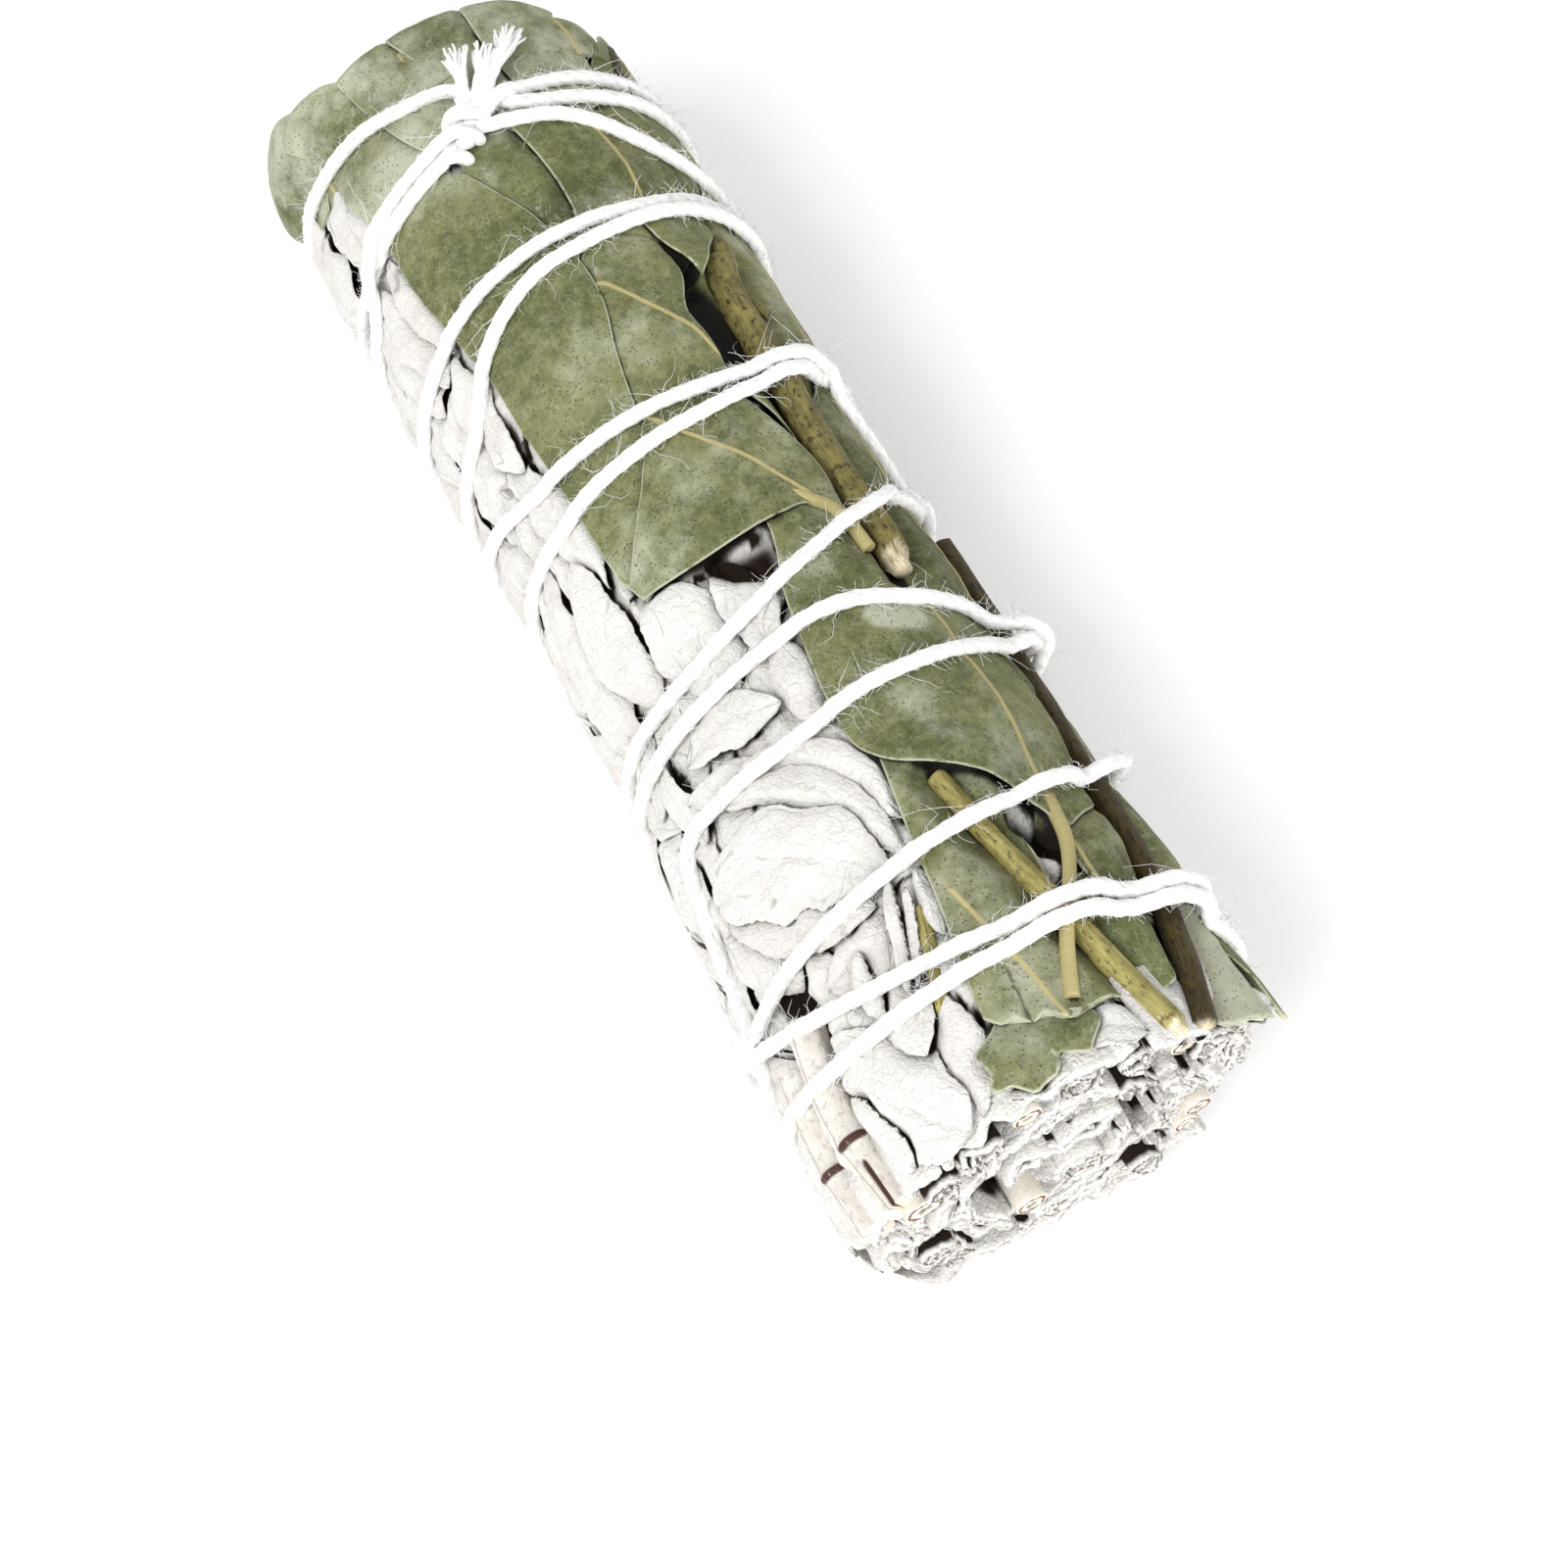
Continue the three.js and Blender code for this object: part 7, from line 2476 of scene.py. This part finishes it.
EUCALYPTUS = (
    EucalyptusLeaf("back_far", lens_outline((2, 118), (-46, 112), 10), (0, 5, 5, 0), ((2, 118),
        (-46, 112))),
    EucalyptusLeaf("back_near", lens_outline((6, 112), (54, 118), 10), (0, 5, 5, 0), ((6, 112),
        (54, 118)), True),
    EucalyptusLeaf("flank_tip", lens_outline((-22, 64), (-61.5, 60), 11.5), (0, 5, 5, 0),
        ((-22, 64), (-61, 60))),
    EucalyptusLeaf("flank_far", lens_outline((4, 60), (-38, 60), 13.5), (0, 5, 5, 0), ((4, 60),
        (-38, 60))),
    EucalyptusLeaf("flank_middle", lens_outline((34, 64), (-12, 54), 12.5), (0, 5, 5, 0), ((34, 64),
        (12, 60), (-12, 54)), True),
    EucalyptusLeaf("flank_near", lens_outline((22, 82), (61.5, 68), 11), (0, 5, 5, 0), ((22, 82),
        (61.5, 68))),
    EucalyptusLeaf("near_pale", ((50, 38), (54, 40.5), (58, 37.5), (61.6, 33.5), (62.5, 36),
        (62.4, 45), (62.2, 54), (57, 51), (53, 55), (49.5, 51)), (0, 3, 6, 9), torn_sides=(1,),
        pale=1.15),
    EucalyptusLeaf("near_small", ((46, 13), (52, 11.5), (57, 10.5), (57.8, 18), (57.5, 28),
        (56, 31.5), (51, 32.5), (47, 28)), (0, 2, 5, 7), dark=True, creases=(((46, 20), (57, 27)),)),
    EucalyptusLeaf("near_round", ((38, 24), (42, 21), (47, 22.5), (50, 28), (50, 40), (47, 44.5),
        (43, 48), (40, 46.5), (37.5, 36)), (0, 2, 5, 8), ((40, 26), (46, 24), (51, 26))),
    EucalyptusLeaf("near_scrap", ((54, 4), (53.8, -14), (55.6, -19), (56.2, -23.5), (58.4, -22.5),
        (59.6, -25), (60, -20), (61.4, -16.5), (60.8, -10), (59.4, -8), (60.6, -2), (58.6, 4)), (0, 3,
        5, 11), torn_sides=(1, 2), lifts=((58, -20, 3.0, 0.5),)),
    EucalyptusLeaf("near_torn", ((29, 11), (29.5, -6), (33, -8), (38, -10.5), (45, -13.5),
        (51, -17), (54.2, -18), (55.4, -15.5), (55.2, -12.5), (56.6, -9), (56.3, -5), (57.4, -2),
        (57.2, 6), (57.3, 14), (50, 15.5), (42, 15), (35, 17)), (1, 6, 13, 0), ((44, -9), (51, -4.5),
        (57, -2)), torn_sides=(1,), creases=(((32, 1), (38, -10)),)),
    EucalyptusLeaf("near_large", ((1.6, 15), (4.4, 3), (8, 0.5), (12, -4), (17, -7), (24, -10),
        (29, -9.5), (31.5, -4), (32.8, 2), (34.2, 8.5), (36, 15), (38.5, 20), (41, 23.6), (42.4, 26.6),
        (41.4, 33), (40.4, 41), (38.5, 47), (34, 50), (27, 51), (18, 49), (10, 43), (4, 35), (1, 25)),
        (1, 13, 13, 21), ((14, 32.6), (18, 33), (24, 33), (30, 31), (36, 28), (40.6, 26.4)),
        lifts=((33.5, 4, 4.0, 0.35), (36.5, 14, 3.0, 0.3)), spots=((17.6, 17, 1.5, 1.7), (18.4, 24, 1.4,
        1.5), (10, 8, 2.4, 0.4), (27, 5, 3.0, 0.1)), stalk=((39, 27.4), (40.4, 26), (43, 23.4),
        (46, 18.5), (48.4, 13.6), (51, 8.6), (53.4, 5), (56, 1.5)), stalk_depths=(-0.5, -0.3, 0.0, 0.2,
        0.35, 0.2, -0.1, -0.2)),
    EucalyptusLeaf("tip_left", ((-64.4, -54), (-60, -57), (-54, -66), (-55.5, -84), (-58.5, -97),
        (-62.4, -102), (-65, -95), (-66, -82), (-65.8, -66)), (0, 2, 4, 5), dark=True, pale=0.6),
    EucalyptusLeaf("tip_torn", ((-62.4, -36), (-55, -28), (-46, -18), (-44.4, -30), (-44.4, -50),
        (-46, -53.5), (-48, -53), (-51, -57), (-54.5, -57.5), (-58, -64), (-60, -62.5), (-62.4, -66),
        (-64, -60), (-64.4, -46)), (0, 2, 4, 11), torn_sides=(2,), pale=0.65),
    EucalyptusLeaf("tip_middle", ((-63, -40), (-55, -34), (-47, -24), (-43.5, -14), (-46, -6),
        (-53, -4), (-62.6, -10)), (0, 3, 4, 6), pale=0.6, creases=(((-62, -30), (-50, -19)),)),
    EucalyptusLeaf("tip_upper", ((-62.6, -19), (-58, -14.5), (-54, -10.5), (-48, -4), (-44.5, 3),
        (-48, 8), (-55, 10), (-62.6, 13)), (0, 4, 4, 7), dark=True, pale=0.6),
    EucalyptusLeaf("tip_right", ((-62.6, 6.5), (-55, 6), (-48, 9), (-45, 18), (-46.5, 30),
        (-50.5, 36), (-55, 37), (-58, 33), (-61.4, 38), (-62.4, 30)), (0, 2, 5, 8), pale=0.62),
    EucalyptusLeaf("behind_brown", ((-46, 3), (-45, -12), (-42.5, -22), (-37, -17), (-31, -12),
        (-27.5, -6), (-28.5, 2), (-34, 4), (-41, 4)), (2, 5, 6, 0), dark=True),
    EucalyptusLeaf("behind_green", ((-46, -1), (-40, 1.5), (-34, 2.2), (-28.5, 0.5), (-25, 6),
        (-23.5, 20), (-26.5, 33), (-31, 43.5), (-39, 42), (-45, 29)), (0, 3, 7, 9), ((-46, 19.6),
        (-44, 21.4), (-40, 23.4), (-33, 23.4), (-27, 21))),
    EucalyptusLeaf("far_upper", ((-29.5, 3), (-27.5, -5), (-24, -8), (-17, -13), (-8, -17),
        (-4, -6), (-5, 10), (-8, 16.6), (-11, 17.6), (-14, 17), (-18, 15.2), (-23, 20.6), (-27, 21)),
        (1, 4, 7, 12), ((-24.4, -3), (-21, 4), (-16.6, 12.4), (-13, 16.6)), lifts=((-16, 15, 3.5,
        0.35),)),
    EucalyptusLeaf("far_large", ((-42.4, -18.5), (-38, -13), (-35, -9), (-31, -5.5), (-26, -3.5),
        (-22, -4.5), (-17, -8.5), (-11, -12), (-4, -15), (2, -21), (4, -30), (4, -39.5), (0, -42.5),
        (-10, -43.5), (-24, -45), (-31, -48.5), (-38, -50.5), (-43, -51), (-45, -42), (-45, -28)), (0,
        9, 12, 17)),
    EucalyptusLeaf("folded", ((-10.4, 15), (-10.4, 0), (-9.6, -12), (-6, -18.5), (-1, -29),
        (2.4, -37.5), (3.4, -40.5), (5.4, -38.5), (5.9, -20), (5.6, -5), (5, 8), (4.6, 16), (5.8, 23),
        (6, 27), (1, 26.5), (-4, 22), (-7.4, 18)), (0, 6, 7, 13), ((-10, -12), (-6, -3), (-1, 8),
        (2, 14), (4, 19)), lifts=((5.0, -4, 3.0, 0.3),), stalk=((1.6, 13), (3.4, 16), (4.6, 20),
        (5.4, 23), (7.4, 25.8), (10.4, 27.4)), stalk_depths=(-0.55, -0.35, -0.25, -0.2, -0.3, -0.45)),
    EucalyptusLeaf("curled", ((-31, 19), (-26, 21.5), (-22, 25.5), (-24, 30.5), (-26.4, 36),
        (-28.6, 42), (-32, 44), (-33.5, 33)), (0, 2, 2, 6), lifts=((-24, 27, 2.6, 0.8),)),
)
HOLLOWS = {
    "behind_green": (((-26, 21.5), (-23.5, 27), (-20, 32), (-13, 32.5), (-8.5, 30), (-10, 19),
        (-14, 16), (-18, 14.5), (-22, 19)), 2.6),
    "near_torn": (((38, 15), (40.4, 12.6), (43, 16.5), (44, 22), (41.6, 24.6), (39.5, 20)), 2.0),
    "sage": (((5.2, -24), (6.0, -8), (6.0, 3), (9.4, 1.5), (10.2, -6), (8.6, -15)), 1.5),
}
OVER_THICK_TWIG = (
    "folded",
    "curled",
    "far_upper",
    "far_large",
)
FLANK_STEMS = (
    Stem("sage_stem_upper", "sage_bunch", ((44, -61), (52, -67.5), (61.5, -62)), 3.1, (-1.3,),
        Slot.SAGE, joints=(11.6,), splits=((12.8, 18.6, -0.75),), sides=44, seed=5),
    Stem("sage_stem_lower", "sage_bunch", ((46, -77), (54, -81.5), (61, -78)), 3.1, (-1.3,),
        Slot.SAGE, joints=(9.5,), sides=28, seed=6),
)
TIP_SLIVER = Stem("tip_sliver", "eucalyptus_leaf_flank_tip", ((-62, 74), (-59, 60), (-55, 52),
    (-49, 45)), 1.0, (0.1,), Slot.BROWN_TWIG, seed=7)


@dataclass(frozen=True)
class Light:
    """A square lamp: its name, its place and size in mm, and its power in watts."""

    name: str
    place: Triple
    size: float
    power: float


@dataclass
class Stage:
    """The pale floor, soft studio lights and the camera."""

    azimuth: float = 62.47
    elevation: float = 60.91
    distance: float = 213.28
    lens: float = 55.33
    sensor: float = 36.0
    clip: Pair = (0.01, 20.0)
    target: Triple = (21.63, -5.22, 17.8)
    floor_half: float = 1600.0
    floor_colour: Colour = (0.95, 0.95, 0.95)
    floor_roughness: float = 0.9
    floor_shine: float = 0.1
    room: float = 0.8
    lamps: Sequence[Light] = (Light("key", (170.0, -380.0, 460.0), 260.0, 2.3),
                              Light("fill", (520.0, 20.0, 130.0), 300.0, 2.0))

    def build(self) -> None:
        """Makes the camera, the floor and the lights."""
        self.camera()
        self.floor()
        self.lights()

    def put(self, name: str, data: Any) -> bpy.types.Object:
        """Puts data into the scene as an object of that name."""
        made = bpy.data.objects.new(name, data)
        bpy.context.scene.collection.objects.link(made)
        return made

    def camera(self) -> None:
        """Sets the camera at its azimuth and elevation about the target."""
        turn, rise = math.radians(self.azimuth), math.radians(self.elevation)
        level = math.cos(rise)
        back = np.array([math.sin(turn) * level, -math.cos(turn) * level, math.sin(rise)])
        right = np.cross(-back, (0.0, 0.0, 1.0))
        right /= np.linalg.norm(right)
        data = bpy.data.cameras.new("camera")
        data.lens, data.sensor_width = self.lens, self.sensor
        data.clip_start, data.clip_end = self.clip
        made = self.put("camera", data)
        made.location = (np.array(self.target) + self.distance * back) * MM
        axes = np.column_stack([right, np.cross(right, -back), back])
        made.rotation_euler = Matrix(axes.tolist()).to_euler()
        bpy.context.scene.camera = made

    def floor(self) -> None:
        """A wide pale floor."""
        half = self.floor_half * MM
        mesh = bpy.data.meshes.new("floor")
        corners = [(x * half, y * half, 0.0) for x, y in ((-1, -1), (1, -1), (1, 1), (-1, 1))]
        mesh.from_pydata(corners, [], [(0, 1, 2, 3)])
        mesh.materials.append(Shader("floor").finish(self.floor_colour, self.floor_roughness,
                                                     Specular_IOR_Level=self.floor_shine))
        made = self.put("floor", mesh)

    def lights(self) -> None:
        """A bright room, and large soft lights from above the near flank and from the cut end."""
        world = bpy.data.worlds.new("room")
        world.use_nodes = True
        colour, strength = world.node_tree.nodes["Background"].inputs[:2]
        colour.default_value, strength.default_value = (1.0, 1.0, 1.0, 1.0), self.room
        bpy.context.scene.world = world
        for lamp in self.lamps:
            data = bpy.data.lights.new(lamp.name, "AREA")
            data.size, data.energy = lamp.size * MM, lamp.power
            made = self.put(lamp.name, data)
            made.location = tuple(np.array(lamp.place) * MM)
            made.rotation_euler = (-Vector(lamp.place)).to_track_quat("-Z", "Y").to_euler()
        bpy.context.scene.view_settings.view_transform = "Standard"


def settle_eucalyptus() -> list[tuple[EucalyptusLeaf, Array, Array]]:
    """Settles the loose leaves from the highest down, pressing the twigs in where they lie under a leaf.

    Returns:
        Each leaf with the load and the shade over it.
    """
    waiting = {stem.name: stem for stem in STEMS}
    made = []
    for n, leaf in enumerate(reversed(EUCALYPTUS)):
        if leaf.name in HOLLOWS:
            PILE.hollow(*HOLLOWS[leaf.name])
        due = [] if leaf.name in OVER_THICK_TWIG else ["twig_thick", "twig_brown"]
        due += ["stem_yellow"] if leaf.name == "near_torn" else []
        for name in due:
            if name in waiting:
                waiting.pop(name).press(EucalyptusLeaf.top)
        leaf.seed = 200 + 10 * n
        made.append((leaf, *PILE.settle(leaf.edge(), leaf.step)))
        if leaf.stalk:
            PILE.press(leaf.stalk, leaf.stalk_depths, leaf.stalk_radius, leaf.top)
    return made


def main() -> None:
    """Builds the stage, the leaves, the stems, the sage, the ends and the string, and logs each piece."""
    logging.basicConfig(level=logging.INFO, format="%(name)s: %(message)s")
    Stage().build()
    settled = settle_eucalyptus()
    leaf_cover = np.clip(NET.smoothed(PILE.load, 4) / 0.4, 0.0, 1.0)
    light = LeafFinish("eucalyptus_leaf").material()
    dark = LeafFinish("eucalyptus_leaf_dark", (0.155, 0.165, 0.07), (0.065, 0.075, 0.028)).material()
    for leaf, over, shade in settled:
        leaf.build(dark if leaf.dark else light, over, shade)
    for stem in (*STEMS, *FLANK_STEMS, TIP_SLIVER):
        if stem.slot is Slot.SAGE:
            stem.press(SageLeaf.top)
        buds = [bud.shell() for bud in BUDS] if stem.name == "twig_thick" else ()
        stem.build(BARKS[stem.slot].material(), buds)
    PILE.hollow(*HOLLOWS["sage"])
    felt = FeltFinish("sage_leaf").material()
    SageBunch().build(felt)
    CutEnd().build(felt, PithFinish("sage_pith").material())
    TipEnd().build(light, felt)
    string = CottonString()
    over_stems = [(stem.places, max(stem.depths) + stem.radius) for stem in STEMS]
    over_stems += [(leaf.stalk, max(leaf.stalk_depths) + leaf.stalk_radius)
                   for leaf in EUCALYPTUS if leaf.stalk]
    string.trace(leaf_cover, over_stems)
    string.build(CottonFinish("cotton_string").material())


if __name__ == "__main__":
    main()
